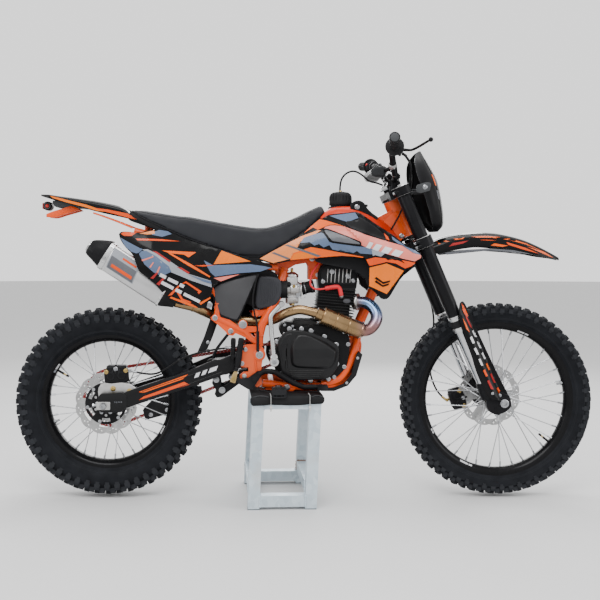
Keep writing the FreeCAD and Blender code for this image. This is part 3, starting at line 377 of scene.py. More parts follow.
def rounded(points, r, n=4):
    """A closed 2-D outline with its corners rounded to r or as much as the sides allow."""
    P = [Vector(p) for p in points]
    out = []
    m = len(P)
    for i in range(m):
        a, b, c = P[i - 1], P[i], P[(i + 1) % m]
        u, v = (a - b), (c - b)
        lu, lv = u.length, v.length
        if lu < 1e-9 or lv < 1e-9:
            continue
        rr = min(r, 0.45 * lu, 0.45 * lv)
        p, q = b + u / lu * rr, b + v / lv * rr
        for k in range(n + 1):
            s = k / n
            out.append(tuple((1 - s) ** 2 * p + 2 * s * (1 - s) * b + s ** 2 * q))
    return out


def tps(ctrl):
    """A smooth half width over the side view, through (x, z, y) points."""
    P = np.array(ctrl, float)
    n = len(P)

    def U(r2):
        return np.where(r2 > 1e-12, 0.5 * r2 * np.log(np.maximum(r2, 1e-12)), 0.0)
    d2 = ((P[:, None, :2] - P[None, :, :2]) ** 2).sum(-1)
    A = np.zeros((n + 3, n + 3))
    A[:n, :n] = U(d2) + np.eye(n) * 1e-5
    A[:n, n] = 1
    A[:n, n + 1:] = P[:, :2]
    A[n:, :n] = A[:n, n:].T
    w = np.linalg.solve(A, np.concatenate([P[:, 2], np.zeros(3)]))

    def f(x, z):
        x, z = np.asarray(x, float), np.asarray(z, float)
        r2 = (x[..., None] - P[:, 0]) ** 2 + (z[..., None] - P[:, 1]) ** 2
        return U(r2) @ w[:n] + w[n] + w[n + 1] * x + w[n + 2] * z
    return f


def frame_of(d):
    d = Vector(d).normalized()
    a = Vector((0, 0, 1)) if abs(d.z) < 0.9 else Vector((1, 0, 0))
    u = d.cross(a).normalized()
    return d, u, d.cross(u).normalized()


def lathe(profile, centre, axis=(0, 1, 0), seg=64, closed=False, start=0.0):
    """Revolve (radius, height) points about an axis through centre. Ends at radius 0 close to a point, others are capped."""
    d, u, w = frame_of(axis)
    c = Vector(centre)
    v, f = [], []
    n = len(profile)
    ring = []
    for r, h in profile:
        if r < 1e-7 and not closed:
            ring.append([len(v)])
            v.append(tuple(c + d * h))
        else:
            ids = []
            for k in range(seg):
                a = start + 2 * PI * k / seg
                ids.append(len(v))
                v.append(tuple(c + d * h + (u * math.cos(a) + w * math.sin(a)) * r))
            ring.append(ids)
    pairs = [(i, i + 1) for i in range(n - 1)] + ([(n - 1, 0)] if closed else [])
    for i, j in pairs:
        A, B = ring[i], ring[j]
        if len(A) == 1 and len(B) == 1:
            continue
        for k in range(seg):
            k2 = (k + 1) % seg
            if len(A) == 1:
                f.append((A[0], B[k2], B[k]))
            elif len(B) == 1:
                f.append((A[k], A[k2], B[0]))
            else:
                f.append((A[k], A[k2], B[k2], B[k]))
    if not closed:
        if len(ring[0]) > 1:
            f.append(tuple(reversed(ring[0])))
        if len(ring[-1]) > 1:
            f.append(tuple(ring[-1]))
    return v, f


def cyl(a, b, r, r2=None, seg=24, ch=0.0):
    a, b = Vector(a), Vector(b)
    h = (b - a).length
    r2 = r if r2 is None else r2
    if ch > 0:
        prof = [(r - ch, 0), (r, ch), (r2, h - ch), (r2 - ch, h)]
    else:
        prof = [(r, 0), (r2, h)]
    return lathe(prof, a, b - a, seg)


def ballv(c, r, seg=16, rings=8, squash=(1, 1, 1)):
    prof = [(r * math.sin(PI * k / rings), -r * math.cos(PI * k / rings)) for k in range(rings + 1)]
    prof[0] = (0, -r)
    prof[-1] = (0, r)
    v, f = lathe(prof, (0, 0, 0), (0, 0, 1), seg)
    return [(c[0] + p[0] * squash[0], c[1] + p[1] * squash[1], c[2] + p[2] * squash[2]) for p in v], f


def torus(c, axis, R, r, seg=64, sides=10):
    prof = [(R + r * math.cos(2 * PI * k / sides), r * math.sin(2 * PI * k / sides)) for k in range(sides)]
    return lathe(prof, c, axis, seg, closed=True)


def block(c, size, rot=None, ch=0.001):
    """A chamfered box: centre, size, optional 3x3 matrix."""
    x, y, z = (s / 2 for s in size)
    ch = min(ch, x * 0.9, y * 0.9, z * 0.9)
    v, idx = [], {}
    for sx in (-1, 1):
        for sy in (-1, 1):
            for sz in (-1, 1):
                for k, p in enumerate(((x - ch, y - ch, z), (x - ch, y, z - ch), (x, y - ch, z - ch))):
                    idx[(sx, sy, sz, k)] = len(v)
                    v.append((sx * p[0], sy * p[1], sz * p[2]))
    f = []
    for sz in (-1, 1):
        q = [idx[(sx, sy, sz, 0)] for sx, sy in ((-1, -1), (1, -1), (1, 1), (-1, 1))]
        f.append(q if sz > 0 else q[::-1])
    for sy in (-1, 1):
        q = [idx[(sx, sy, sz, 1)] for sx, sz in ((-1, -1), (1, -1), (1, 1), (-1, 1))]
        f.append(q if sy < 0 else q[::-1])
    for sx in (-1, 1):
        q = [idx[(sx, sy, sz, 2)] for sy, sz in ((-1, -1), (1, -1), (1, 1), (-1, 1))]
        f.append(q if sx > 0 else q[::-1])
    for sx in (-1, 1):
        for sy in (-1, 1):
            q = [idx[(sx, sy, -1, 2)], idx[(sx, sy, 1, 2)], idx[(sx, sy, 1, 1)], idx[(sx, sy, -1, 1)]]
            f.append(q if sx * sy < 0 else q[::-1])
    for sx in (-1, 1):
        for sz in (-1, 1):
            q = [idx[(sx, -1, sz, 2)], idx[(sx, 1, sz, 2)], idx[(sx, 1, sz, 0)], idx[(sx, -1, sz, 0)]]
            f.append(q if sx * sz > 0 else q[::-1])
    for sy in (-1, 1):
        for sz in (-1, 1):
            q = [idx[(-1, sy, sz, 1)], idx[(1, sy, sz, 1)], idx[(1, sy, sz, 0)], idx[(-1, sy, sz, 0)]]
            f.append(q if sy * sz < 0 else q[::-1])
    for sx in (-1, 1):
        for sy in (-1, 1):
            for sz in (-1, 1):
                q = [idx[(sx, sy, sz, 0)], idx[(sx, sy, sz, 1)], idx[(sx, sy, sz, 2)]]
                f.append(q)
    R = rot or Matrix.Identity(3)
    c = Vector(c)
    return [tuple(c + R @ Vector(p)) for p in v], f


def inset(poly, d):
    """A 2-D outline moved inwards by d (the outline runs counter-clockwise)."""
    n = len(poly)
    out = []
    for i in range(n):
        a, b, c = Vector(poly[i - 1]), Vector(poly[i]), Vector(poly[(i + 1) % n])
        u, v = (b - a), (c - b)
        if u.length < 1e-9 or v.length < 1e-9:
            out.append(tuple(b))
            continue
        u.normalize()
        v.normalize()
        n1, n2 = Vector((-u.y, u.x)), Vector((-v.y, v.x))
        m = n1 + n2
        if m.length < 1e-6:
            out.append(tuple(b))
            continue
        m.normalize()
        k = d / max(0.4, m.dot(n1))
        out.append(tuple(b + m * k))
    return out


def area2(poly):
    return 0.5 * sum(poly[i - 1][0] * poly[i][1] - poly[i][0] * poly[i - 1][1] for i in range(len(poly)))


def prism(outline, lo, hi, plane="XZ", ch=0.0, steps=1, origin=(0, 0, 0), axes=None):
    """A solid from a closed 2-D outline between lo and hi across its plane, its edges rounded by ch."""
    P = list(outline)
    if area2(P) < 0:
        P = P[::-1]
    levels = []
    if ch > 0:
        for k in range(steps + 1):
            a = PI / 2 * k / steps
            levels.append((lo + ch * (1 - math.sin(a)), ch * (1 - math.cos(a))))
        levels = [(lo + ch * (1 - math.cos(PI / 2 * k / steps)), ch * (1 - math.sin(PI / 2 * k / steps))) for k in
                  range(steps + 1)]
        levels += [(hi - (z - lo), d) for z, d in reversed(levels)]
    else:
        levels = [(lo, 0), (hi, 0)]
    v, rings = [], []
    for h, d in levels:
        Q = inset(P, d) if d > 1e-9 else P
        ids = []
        for a, b in Q:
            ids.append(len(v))
            if axes is not None:
                o = Vector(origin)
                v.append(tuple(o + axes[0] * a + axes[1] * b + axes[2] * h))
            elif plane == "XZ":
                v.append((a, h, b))
            elif plane == "XY":
                v.append((a, b, h))
            else:
                v.append((h, a, b))
        rings.append(ids)
    f = []
    n = len(P)
    for A, B in zip(rings, rings[1:]):
        for k in range(n):
            k2 = (k + 1) % n
            f.append((A[k], A[k2], B[k2], B[k]))
    f.append(tuple(reversed(rings[0])))
    f.append(tuple(rings[-1]))
    return v, f


def sweep(path, r, seg=12, cap=True, flat=1.0, up=None):
    """A tube along a path of points; r is a number or one per point; flat squashes it along its second direction."""
    P = [Vector(p) for p in path]
    n = len(P)
    R = r if hasattr(r, "__len__") else [r] * n
    T = []
    for i in range(n):
        t = P[min(i + 1, n - 1)] - P[max(i - 1, 0)]
        T.append(t.normalized())
    _, u, w = frame_of(T[0])
    if up is not None:
        u = Vector(up)
        u = (u - T[0] * u.dot(T[0])).normalized()
    v, rings = [], []
    for i in range(n):
        u = (u - T[i] * u.dot(T[i])).normalized()
        w = T[i].cross(u)
        ids = []
        for k in range(seg):
            a = 2 * PI * k / seg
            ids.append(len(v))
            v.append(tuple(P[i] + (u * math.cos(a) * flat + w * math.sin(a)) * R[i]))
        rings.append(ids)
    f = []
    for A, B in zip(rings, rings[1:]):
        for k in range(seg):
            k2 = (k + 1) % seg
            f.append((A[k], A[k2], B[k2], B[k]))
    if cap:
        f.append(tuple(reversed(rings[0])))
        f.append(tuple(rings[-1]))
    return v, f


def nurbs(points, name="route", cyclic=False):
    cu = bpy.data.curves.new(name, "CURVE")
    cu.dimensions = "3D"
    sp = cu.splines.new("NURBS")
    sp.points.add(len(points) - 1)
    for q, p in zip(sp.points, points):
        q.co = (*p, 1)
    sp.order_u = 3
    sp.use_endpoint_u = True
    cu.resolution_u = 12
    return cu


def line_of(points, res=10):
    """Points along the smooth spline of a route."""
    cu = nurbs(points)
    cu.resolution_u = res
    o = bpy.data.objects.new("tmp_route", cu)
    bpy.context.scene.collection.objects.link(o)
    dg = bpy.context.evaluated_depsgraph_get()
    me = bpy.data.meshes.new_from_object(o.evaluated_get(dg))
    out = [tuple(v.co) for v in me.vertices]
    bpy.data.meshes.remove(me)
    bpy.data.objects.remove(o)
    bpy.data.curves.remove(cu)
    return out


def pipe(points, r, seg=12, res=8, flat=1.0, up=None, cap=True):
    return sweep(line_of(points, res), r, seg, cap, flat, up)


def hexbolt(c, d, r=0.006, h=0.005, washer=True, socket=True, seg=6):
    """A flanged bolt head at c, facing along d."""
    d = Vector(d).normalized()
    c = Vector(c)
    parts = []
    if washer:
        parts.append(lathe([(r * 1.45, 0), (r * 1.45, h * 0.2), (r * 1.25, h * 0.32), (0, h * 0.32)], c, d, 20))
    if socket:
        parts.append(lathe([(r, h * 0.2), (r, h * 0.85), (r * 0.86, h), (r * 0.5, h), (r * 0.48, h * 0.55), (0, h * 0.55)],
                           c, d, seg if seg > 6 else 6, start=0.3))
    else:
        parts.append(lathe([(r, h * 0.2), (r, h * 0.8), (r * 0.86, h), (0, h)], c, d, seg, start=0.3))
    v, f = [], []
    for a, b in parts:
        o = len(v)
        v += a
        f += [tuple(o + k for k in q) for q in b]
    return v, f


def flip(vf):
    """Mirror to the other side of the mid-plane."""
    v, f = vf
    return [(p[0], -p[1], p[2]) for p in v], [tuple(reversed(q)) for q in f]


def panel(outline, f, thick=0.003, off=0.0, cell=0.012, side=-1, edge=0.0):
    """A curved sheet: an outline in X and Z, laid on the half-width function f, thick towards the middle."""
    bm = bmesh.new()
    vs = [bm.verts.new((x, 0, z)) for x, z in outline]
    bm.faces.new(vs)
    bmesh.ops.triangulate(bm, faces=bm.faces[:], ngon_method="EAR_CLIP")
    xs = [p[0] for p in outline]
    zs = [p[1] for p in outline]
    for a in np.arange(math.floor(min(xs) / cell) + 1, math.ceil(max(xs) / cell)) * cell:
        bmesh.ops.bisect_plane(bm, geom=bm.verts[:] + bm.edges[:] + bm.faces[:], dist=1e-6, plane_co=(a, 0, 0),
                               plane_no=(1, 0, 0))
    for a in np.arange(math.floor(min(zs) / cell) + 1, math.ceil(max(zs) / cell)) * cell:
        bmesh.ops.bisect_plane(bm, geom=bm.verts[:] + bm.edges[:] + bm.faces[:], dist=1e-6, plane_co=(0, 0, a),
                               plane_no=(0, 0, 1))
    bmesh.ops.remove_doubles(bm, verts=bm.verts[:], dist=1e-6)
    bmesh.ops.dissolve_degenerate(bm, dist=1e-6, edges=bm.edges[:])
    bm.verts.index_update()
    bm.faces.index_update()
    X = np.array([v.co.x for v in bm.verts])
    Z = np.array([v.co.z for v in bm.verts])
    Y = f(X, Z)
    e = 1e-4
    gx = (f(X + e, Z) - f(X - e, Z)) / (2 * e)
    gz = (f(X, Z + e) - f(X, Z - e)) / (2 * e)
    nn = np.stack([-gx, np.ones_like(gx), -gz], 1)
    nn /= np.linalg.norm(nn, axis=1)[:, None]
    base = np.stack([X, Y, Z], 1)
    outer = base + nn * off
    inner = base + nn * (off - thick)
    if edge > 0:
        bound = np.zeros(len(X), bool)
        for ed in bm.edges:
            if len(ed.link_faces) == 1:
                for q in ed.verts:
                    bound[q.index] = True
        outer[bound] -= nn[bound] * edge
    faces = [[v.index for v in q.verts] for q in bm.faces]
    n = len(X)
    # orient every top face outwards (+Y before mirroring)
    top = []
    for q in faces:
        a = sum(X[q[i - 1]] * Z[q[i]] - X[q[i]] * Z[q[i - 1]] for i in range(len(q)))
        top.append(q if a < 0 else q[::-1])
    count = {}
    for q in top:
        for i in range(len(q)):
            e2 = (q[i - 1], q[i])
            count[e2] = count.get(e2, 0) + 1
    F = [tuple(q) for q in top] + [tuple(n + k for k in reversed(q)) for q in top]
    for (a, b2) in list(count):
        if (b2, a) not in count:
            F.append((b2, a, n + a, n + b2))
    bm.free()
    v = [tuple(p) for p in np.vstack([outer, inner])]
    if side < 0:
        v = [(p[0], -p[1], p[2]) for p in v]
        F = [tuple(reversed(q)) for q in F]
    return v, F


class Piece:
    """Gathers shapes with their materials into one object."""

    def __init__(self, name):
        self.name, self.v, self.f, self.i, self.mats = name, [], [], [], []

    def add(self, vf, material):
        v, f = vf
        if material not in self.mats:
            self.mats.append(material)
        k = self.mats.index(material)
        o = len(self.v)
        self.v.extend(v)
        self.f.extend([tuple(o + j for j in q) for q in f])
        self.i.extend([k] * len(f))
        return self

    def both(self, vf, material):
        self.add(vf, material)
        self.add(flip(vf), material)
        return self

    def done(self, body, slot, replaces=(), sharp=38, bevel=0.0, segs=2, limit=45, sub=0, ride=True):
        me = bpy.data.meshes.new(self.name)
        me.from_pydata(self.v, [], self.f)
        for m in self.mats:
            me.materials.append(m)
        me.polygons.foreach_set("material_index", self.i)
        me.update()
        bm = bmesh.new()
        bm.from_mesh(me)
        bmesh.ops.recalc_face_normals(bm, faces=bm.faces[:])
        bm.to_mesh(me)
        bm.free()
        me.validate(clean_customdata=False)
        me.shade_smooth()
        me.set_sharp_from_angle(angle=math.radians(sharp))
        ob = bpy.data.objects.new(self.name, me)
        bpy.context.scene.collection.objects.link(ob)
        if bevel > 0:
            b = ob.modifiers.new("bevel", "BEVEL")
            b.width = bevel
            b.segments = segs
            b.limit_method = "ANGLE"
            b.angle_limit = math.radians(limit)
            b.harden_normals = False
        if sub:
            s = ob.modifiers.new("sub", "SUBSURF")
            s.levels = sub
            s.render_levels = sub
        if ride:
            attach(ob, body)
        if replaces:
            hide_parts(*replaces)
        return ob


def paint(node, material, sharp=30):
    o = NODES[node]
    o.data.materials.clear()
    o.data.materials.append(material)
    for p in o.data.polygons:
        p.material_index = 0


# ------------------------------------------------------------------ wheels
FA = (0.696, 0.0, 0.352)
RA = (-0.704, 0.0, 0.344)


def tyre_piece(name, centre, R, W, rim_r, knob, pitches, body, node, rear):
    h = W / 2
    rc = R - knob
    half = [(rim_r - 0.004, h * 0.50), (rim_r + 0.003, h * 0.60), (rim_r + 0.012, h * 0.70), (rim_r + 0.026, h * 0.82),
            ((rim_r + rc) / 2 + 0.006, h * 0.885), (rc - 0.022, h * 0.86), (rc - 0.010, h * 0.72), (rc - 0.0025, h * 0.42),
            (rc, h * 0.15)]
    prof = smooth([(r, y) for r, y in half] + [(r, -y) for r, y in reversed(half)], 3, closed=False)
    p = Piece(name)
    p.add(lathe(prof + [(rim_r - 0.012, -h * 0.5), (rim_r - 0.012, h * 0.5)], centre, (0, 1, 0), 180, closed=True), TYRE)
    # thin moulded rings on the sidewalls
    for s in (-1, 1):
        for rr, yy in ((rim_r + 0.009, h * 0.665), (rim_r + 0.013, h * 0.70)):
            p.add(torus((centre[0], s * yy, centre[2]), (0, 1, 0), rr, 0.0011, 160, 6), TYRE)

    def meridian(s):
        """Place, outward normal and cross direction at lateral share s, in (y, r)."""
        tilt = s * 1.02
        y = h * 0.985 * math.sin(tilt) / math.sin(1.02)
        crown = rc - (1 - math.cos(tilt)) * h * 0.98
        return y, crown, tilt

    def block_knob(theta, s, a, b, hgt, twist=0.0, taper=0.84):
        y, r, tilt = meridian(s)
        nrm = Vector((math.sin(tilt * 0.8), math.cos(tilt * 0.8)))
        tan = Vector((nrm.y, -nrm.x))
        v = []
        for lvl, k in ((-0.004, 1.05), (hgt - 0.0014, taper + 0.03), (hgt, taper - 0.08)):
            for ca, cb in ((-1, -1), (1, -1), (1, 1), (-1, 1)):
                t0, w0 = ca * a / 2 * k, cb * b / 2 * k
                t = t0 * math.cos(twist) - w0 * math.sin(twist)
                w = t0 * math.sin(twist) + w0 * math.cos(twist)
                yy = y + tan.x * w + nrm.x * lvl
                rr = r + tan.y * w + nrm.y * lvl
                yy = max(-h, min(h, yy))
                rr = min(rr, R)
                th = theta + t / r
                v.append((centre[0] + rr * math.cos(th), yy, centre[2] + rr * math.sin(th)))
        f = [(3, 2, 1, 0)]
        for l in (0, 4):
            for k in range(4):
                k2 = (k + 1) % 4
                f.append((l + k, l + k2, l + 4 + k2, l + 4 + k))
        f.append((8, 9, 10, 11))
        return v, f

    def side_lug(theta, s, a, r0, r1, hgt):
        """A rib down the sidewall below a shoulder knob."""
        v = []
        for rr, yk, k in ((r1, 0.97, 1.0), (r0, 0.90, 0.8)):
            for lvl in (-0.004, hgt):
                for ca in (-1, 1):
                    th = theta + ca * a / 2 * k / rr
                    v.append((centre[0] + rr * math.cos(th), s * min(h, h * yk + lvl - 0.003), centre[2] + rr * math.sin(th)))
        f = [(0, 1, 3, 2), (4, 6, 7, 5), (0, 4, 5, 1), (2, 3, 7, 6), (0, 2, 6, 4), (1, 5, 7, 3)]
        return v, f

    for k in range(pitches):
        t = 2 * PI * k / pitches
        dt = 2 * PI / pitches
        c = 2 * PI * rc / pitches
        if rear:
            # centre rows: a pair and a wide block in turn
            if k % 2:
                for s in (-0.20, 0.20):
                    p.add(block_knob(t, s, c * 0.50, h * 0.30, knob, 0.04 * (1 if s > 0 else -1)), TYRE)
            else:
                p.add(block_knob(t, 0.0, c * 0.50, h * 0.34, knob), TYRE)
                for s in (-0.40, 0.40):
                    p.add(block_knob(t, s, c * 0.48, h * 0.20, knob, 0.1 * (1 if s > 0 else -1)), TYRE)
            for s in (-1, 1):
                p.add(block_knob(t + dt * 0.5, s * 0.62, c * 0.54, h * 0.26, knob * 0.98, s * 0.06), TYRE)
                p.add(block_knob(t, s * 0.90, c * 0.52, h * 0.24, knob * 0.92, 0.0), TYRE)
                p.add(side_lug(t, s, c * 0.42, rc - 0.036, rc - 0.012, 0.0045 if k % 2 else 0.0025), TYRE)
        else:
            if k % 2:
                for s in (-0.22, 0.22):
                    p.add(block_knob(t, s, c * 0.55, h * 0.30, knob, 0.12 * (1 if s > 0 else -1)), TYRE)
            else:
                p.add(block_knob(t, 0.0, c * 0.55, h * 0.30, knob), TYRE)
                for s in (-0.45, 0.45):
                    p.add(block_knob(t, s, c * 0.5, h * 0.22, knob, 0.1 * (1 if s > 0 else -1)), TYRE)
            for s in (-1, 1):
                p.add(block_knob(t + dt * 0.5, s * 0.66, c * 0.56, h * 0.26, knob * 0.98, s * 0.10), TYRE)
                p.add(block_knob(t, s * 0.93, c * 0.50, h * 0.24, knob * 0.85, 0.0), TYRE)
                if k % 2:
                    p.add(side_lug(t, s, c * 0.36, rc - 0.030, rc - 0.010, 0.003), TYRE)
    return p.done(body, "tyre", (node,), sharp=32)


tyre_piece("front_tyre_knobbly", FA, 0.346, 0.086, 0.279, 0.0098, 62, "front_wheel", "front_tyre", False)
tyre_piece("rear_tyre_knobbly", RA, 0.338, 0.112, 0.243, 0.0150, 52, "rear_wheel", "rear_tyre", True)


def wheel_piece(name, centre, rim_r, rim_w, hub_r, hub_w, flange_r, body, node, valve_angle):
    h = rim_w / 2
    cx, _, cz = centre
    p = Piece(name)
    half = [(rim_r, h), (rim_r + 0.0012, h - 0.002), (rim_r, h - 0.0045), (rim_r - 0.009, h - 0.007), (rim_r - 0.0125, h * 0.45),
            (rim_r - 0.0155, 0.0)]
    under = [(rim_r - 0.029, 0.0), (rim_r - 0.0285, h * 0.28), (rim_r - 0.0255, h * 0.55), (rim_r - 0.0185, h * 0.80),
             (rim_r - 0.0125, h * 0.965), (rim_r - 0.004, h)]
    prof = half + [(r, -y) for r, y in reversed(half[:-1])] + [(r, -y) for r, y in reversed(under[1:])] + under
    p.add(lathe(prof, centre, (0, 1, 0), 180, closed=True), RIM_BLACK)
    hw = hub_w / 2
    hub = [(0.0, -hw + 0.001), (0.018, -hw + 0.001), (0.0195, -hw + 0.004), (0.0195, -hw + 0.008), (flange_r - 0.004, -hw + 0.009), (flange_r, -hw + 0.011),
           (flange_r, -hw + 0.014), (flange_r - 0.004, -hw + 0.017), (hub_r + 0.004, -hw + 0.024), (hub_r, -hw + 0.032),
           (hub_r - 0.002, 0), (hub_r, hw - 0.032), (hub_r + 0.004, hw - 0.024), (flange_r - 0.004, hw - 0.017),
           (flange_r, hw - 0.014), (flange_r, hw - 0.011), (flange_r - 0.004, hw - 0.009), (0.0195, hw - 0.008), (0.0195, hw - 0.004),
           (0.018, hw - 0.001), (0.0, hw - 0.001)]
    p.add(lathe(hub, centre, (0, 1, 0), 64), ENGINE_BLACK)
    n = 36
    for k in range(n):
        a = 2 * PI * (k + 0.5) / n
        s = 1 if k % 2 else -1
        inner = (k // 2) % 2
        skew = 0.95 if inner else -0.95
        a0 = a + skew * (flange_r + 0.01) / (flange_r + 0.02)
        rr = flange_r - 0.005
        y0 = s * (hw - 0.0125 + (0.0022 if inner else -0.0022))
        p0 = (cx + rr * math.cos(a0), y0, cz + rr * math.sin(a0))
        p1 = (cx + (rim_r - 0.045) * math.cos(a + 0.012 * (1 if inner else -1)), s * 0.009, cz + (rim_r - 0.045) * math.sin(a + 0.012 * (1 if inner else -1)))
        p2 = (cx + (rim_r - 0.026) * math.cos(a), s * 0.006, cz + (rim_r - 0.026) * math.sin(a))
        p.add(cyl(p0, p1, 0.0018, seg=8), SPOKE)
        p.add(cyl(p1, p2, 0.0032, 0.0034, seg=8), ZINC)
        yo = s * (hw - 0.006 if inner else hw - 0.019)
        p.add(cyl((p0[0], y0 - s * 0.006, p0[2]), (p0[0], y0 + s * 0.006, p0[2]), 0.0032, seg=8), SPOKE)
    # valve stem
    va = valve_angle
    vp = lambda r: (cx + r * math.cos(va), 0.0, cz + r * math.sin(va))
    p.add(cyl(vp(rim_r - 0.024), vp(rim_r - 0.052), 0.0042, seg=14), RUBBER)
    p.add(cyl(vp(rim_r - 0.050), vp(rim_r - 0.066), 0.0030, seg=14), BRASS)
    p.add(cyl(vp(rim_r - 0.062), vp(rim_r - 0.072), 0.0044, 0.0036, seg=14, ch=0.0006), MATTE_BLACK)
    # rim lock nut
    va = valve_angle + 0.9
    vp = lambda r: (cx + r * math.cos(va), 0.0, cz + r * math.sin(va))
    p.add(cyl(vp(rim_r - 0.026), vp(rim_r - 0.048), 0.0040, seg=12), ZINC)
    p.add(cyl(vp(rim_r - 0.028), vp(rim_r - 0.035), 0.0080, seg=6), ZINC)
    return p


def rim_bars(p, centre, rim_r, rim_w, angles, y_sign):
    """Short plain bars on the rim's flank."""
    for a0, lengths in angles:
        a = a0
        for k, (ln, m) in enumerate(lengths):
            v, f = [], []
            n = 5
            for r in (rim_r - 0.0242, rim_r - 0.0192):
                for i in range(n + 1):
                    t = a + ln * i / n
                    y = (rim_w / 2) * (0.62 if r < rim_r - 0.022 else 0.83)
                    v.append((centre[0] + r * math.cos(t), y_sign * (y + 0.0006), centre[2] + r * math.sin(t)))
                    v.append((centre[0] + r * math.cos(t), y_sign * (y - 0.0012), centre[2] + r * math.sin(t)))
            m2 = 2 * (n + 1)
            for i in range(n):
                q = 2 * i
                f += [(q, q + 2, m2 + q + 2, m2 + q), (q + 1, m2 + q + 1, m2 + q + 3, q + 3), (q, q + 1, q + 3, q + 2),
                      (m2 + q, m2 + q + 2, m2 + q + 3, m2 + q + 1)]
            f += [(0, m2, m2 + 1, 1), (2 * n, 2 * n + 1, m2 + 2 * n + 1, m2 + 2 * n)]
            p.add((v, f), m)
            a += ln + 0.012


fw = wheel_piece("front_wheel_rim", FA, 0.279, 0.046, 0.022, 0.108, 0.036, "front_wheel", "front_rim", math.radians(-39))
for ys in (-1, 1):
    rim_bars(fw, FA, 0.279, 0.046, [(math.radians(63), [(0.05, WHITE), (0.10, WHITE)]),
                                    (math.radians(205), [(0.03, WHITE), (0.03, WHITE)]),
                                    (math.radians(240), [(0.12, WHITE), (0.05, WHITE)])], ys)
fw.done("front_wheel", "black_paint", ("front_rim",), sharp=40)
rw = wheel_piece("rear_wheel_rim", RA, 0.243, 0.058, 0.030, 0.104, 0.048, "rear_wheel", "rear_rim", math.radians(150))
for ys in (-1, 1):
    rim_bars(rw, RA, 0.243, 0.058, [(math.radians(143), [(0.10, WHITE), (0.05, LIGHTGREY)]),
                                    (math.radians(328), [(0.10, WHITE), (0.03, WHITE)])], ys)
rw.done("rear_wheel", "black_paint", ("rear_rim",), sharp=40)


def plate_holes(outlines, t, chamfer=0.0004, res=1):
    """A flat plate with holes, from closed 2-D outlines (the first is the rim): vertices in (u, v, thickness)."""
    cu = bpy.data.curves.new("tmp_plate", "CURVE")
    cu.dimensions = "2D"
    cu.fill_mode = "BOTH"
    cu.extrude = max(0.0001, t / 2 - chamfer)
    cu.bevel_depth = chamfer
    cu.bevel_resolution = 0
    for ol in outlines:
        sp = cu.splines.new("POLY")
        sp.points.add(len(ol) - 1)
        for q, (a, b) in zip(sp.points, ol):
            q.co = (a, b, 0, 1)
        sp.use_cyclic_u = True
    o = bpy.data.objects.new("tmp_plate", cu)
    bpy.context.scene.collection.objects.link(o)
    dg = bpy.context.evaluated_depsgraph_get()
    me = bpy.data.meshes.new_from_object(o.evaluated_get(dg))
    bm = bmesh.new()
    bm.from_mesh(me)
    bmesh.ops.remove_doubles(bm, verts=bm.verts[:], dist=2e-6)
    v = [tuple(q.co) for q in bm.verts]
    bm.verts.index_update()
    f = [tuple(q.index for q in fc.verts) for fc in bm.faces]
    bm.free()
    bpy.data.objects.remove(o)
    bpy.data.curves.remove(cu)
    bpy.data.meshes.remove(me)
    return v, f


def place(vf, origin, ax, ay, az):
    """Plate coordinates (u, v, w) to the model frame."""
    v, f = vf
    o, ax, ay, az = Vector(origin), Vector(ax), Vector(ay), Vector(az)
    return [tuple(o + ax * p[0] + ay * p[1] + az * p[2]) for p in v], f


def circ(c, r, n=24, a0=0.0):
    return [(c[0] + r * math.cos(a0 + 2 * PI * k / n), c[1] + r * math.sin(a0 + 2 * PI * k / n)) for k in range(n)]


def slot_hole(r, a, ln, w, n=8):
    """A slot of width w and angular length ln along radius r."""
    out = []
    for k in range(n + 1):
        t = a - ln / 2 + ln * k / n
        out.append(((r + w / 2) * math.cos(t), (r + w / 2) * math.sin(t)))
    for k in range(n + 1):
        t = a + ln / 2 - ln * k / n
        out.append(((r - w / 2) * math.cos(t), (r - w / 2) * math.sin(t)))
    return out


def wavy_disc(R, waves, amp, inner, holes, bolt_r, nb):
    rim = []
    for k in range(240):
        t = 2 * PI * k / 240
        w = abs(math.sin(waves * t / 2)) ** 0.7
        rr = R - amp + amp * w
        rim.append((rr * math.cos(t), rr * math.sin(t)))
    ol = [rim]
    # windows between the arms
    for j in range(nb):
        a = 2 * PI * (j + 0.5) / nb
        win = []
        ro, ri = inner, bolt_r + 0.011
        ln = 2 * PI / nb * 0.60
        for k in range(9):
            t = a - ln / 2 + ln * k / 8
            win.append((ro * math.cos(t), ro * math.sin(t)))
        for k in range(7):
            t = a + ln * 0.30 - ln * 0.60 * k / 6
            win.append((ri * math.cos(t), ri * math.sin(t)))
        ol.append(win)
    for k in range(waves):
        t0 = 2 * PI * (k + 0.5) / waves
        for dr, dt in holes:
            ol.append(circ(((R - dr) * math.cos(t0 + dt), (R - dr) * math.sin(t0 + dt)), 0.0032, 10))
    ol.append(circ((0, 0), 0.0195, 40))
    return ol


dp = Piece("front_brake_disc")
dp.add(place(plate_holes(wavy_disc(0.114, 12, 0.006, 0.090, [(0.010, -0.1), (0.016, 0.0), (0.010, 0.1)], 0.034, 6), 0.0035),
             (FA[0], 0.07125, FA[2]), (1, 0, 0), (0, 0, 1), (0, -1, 0)), STEEL)
dp.add(lathe([(0.0198, 0.0542), (0.0335, 0.0542), (0.0335, 0.068), (0.030, 0.0695), (0.0198, 0.0695)], (FA[0], 0, FA[2]), (0, 1, 0), 48, closed=True), ENGINE_BLACK)
for k in range(6):
    a = 2 * PI * k / 6
    dp.add(hexbolt((FA[0] + 0.027 * math.cos(a), 0.0725, FA[2] + 0.027 * math.sin(a)), (0, 1, 0), 0.004, 0.004), ZINC)
dp.done("front_wheel", "steel", ("front_disc",), sharp=30)

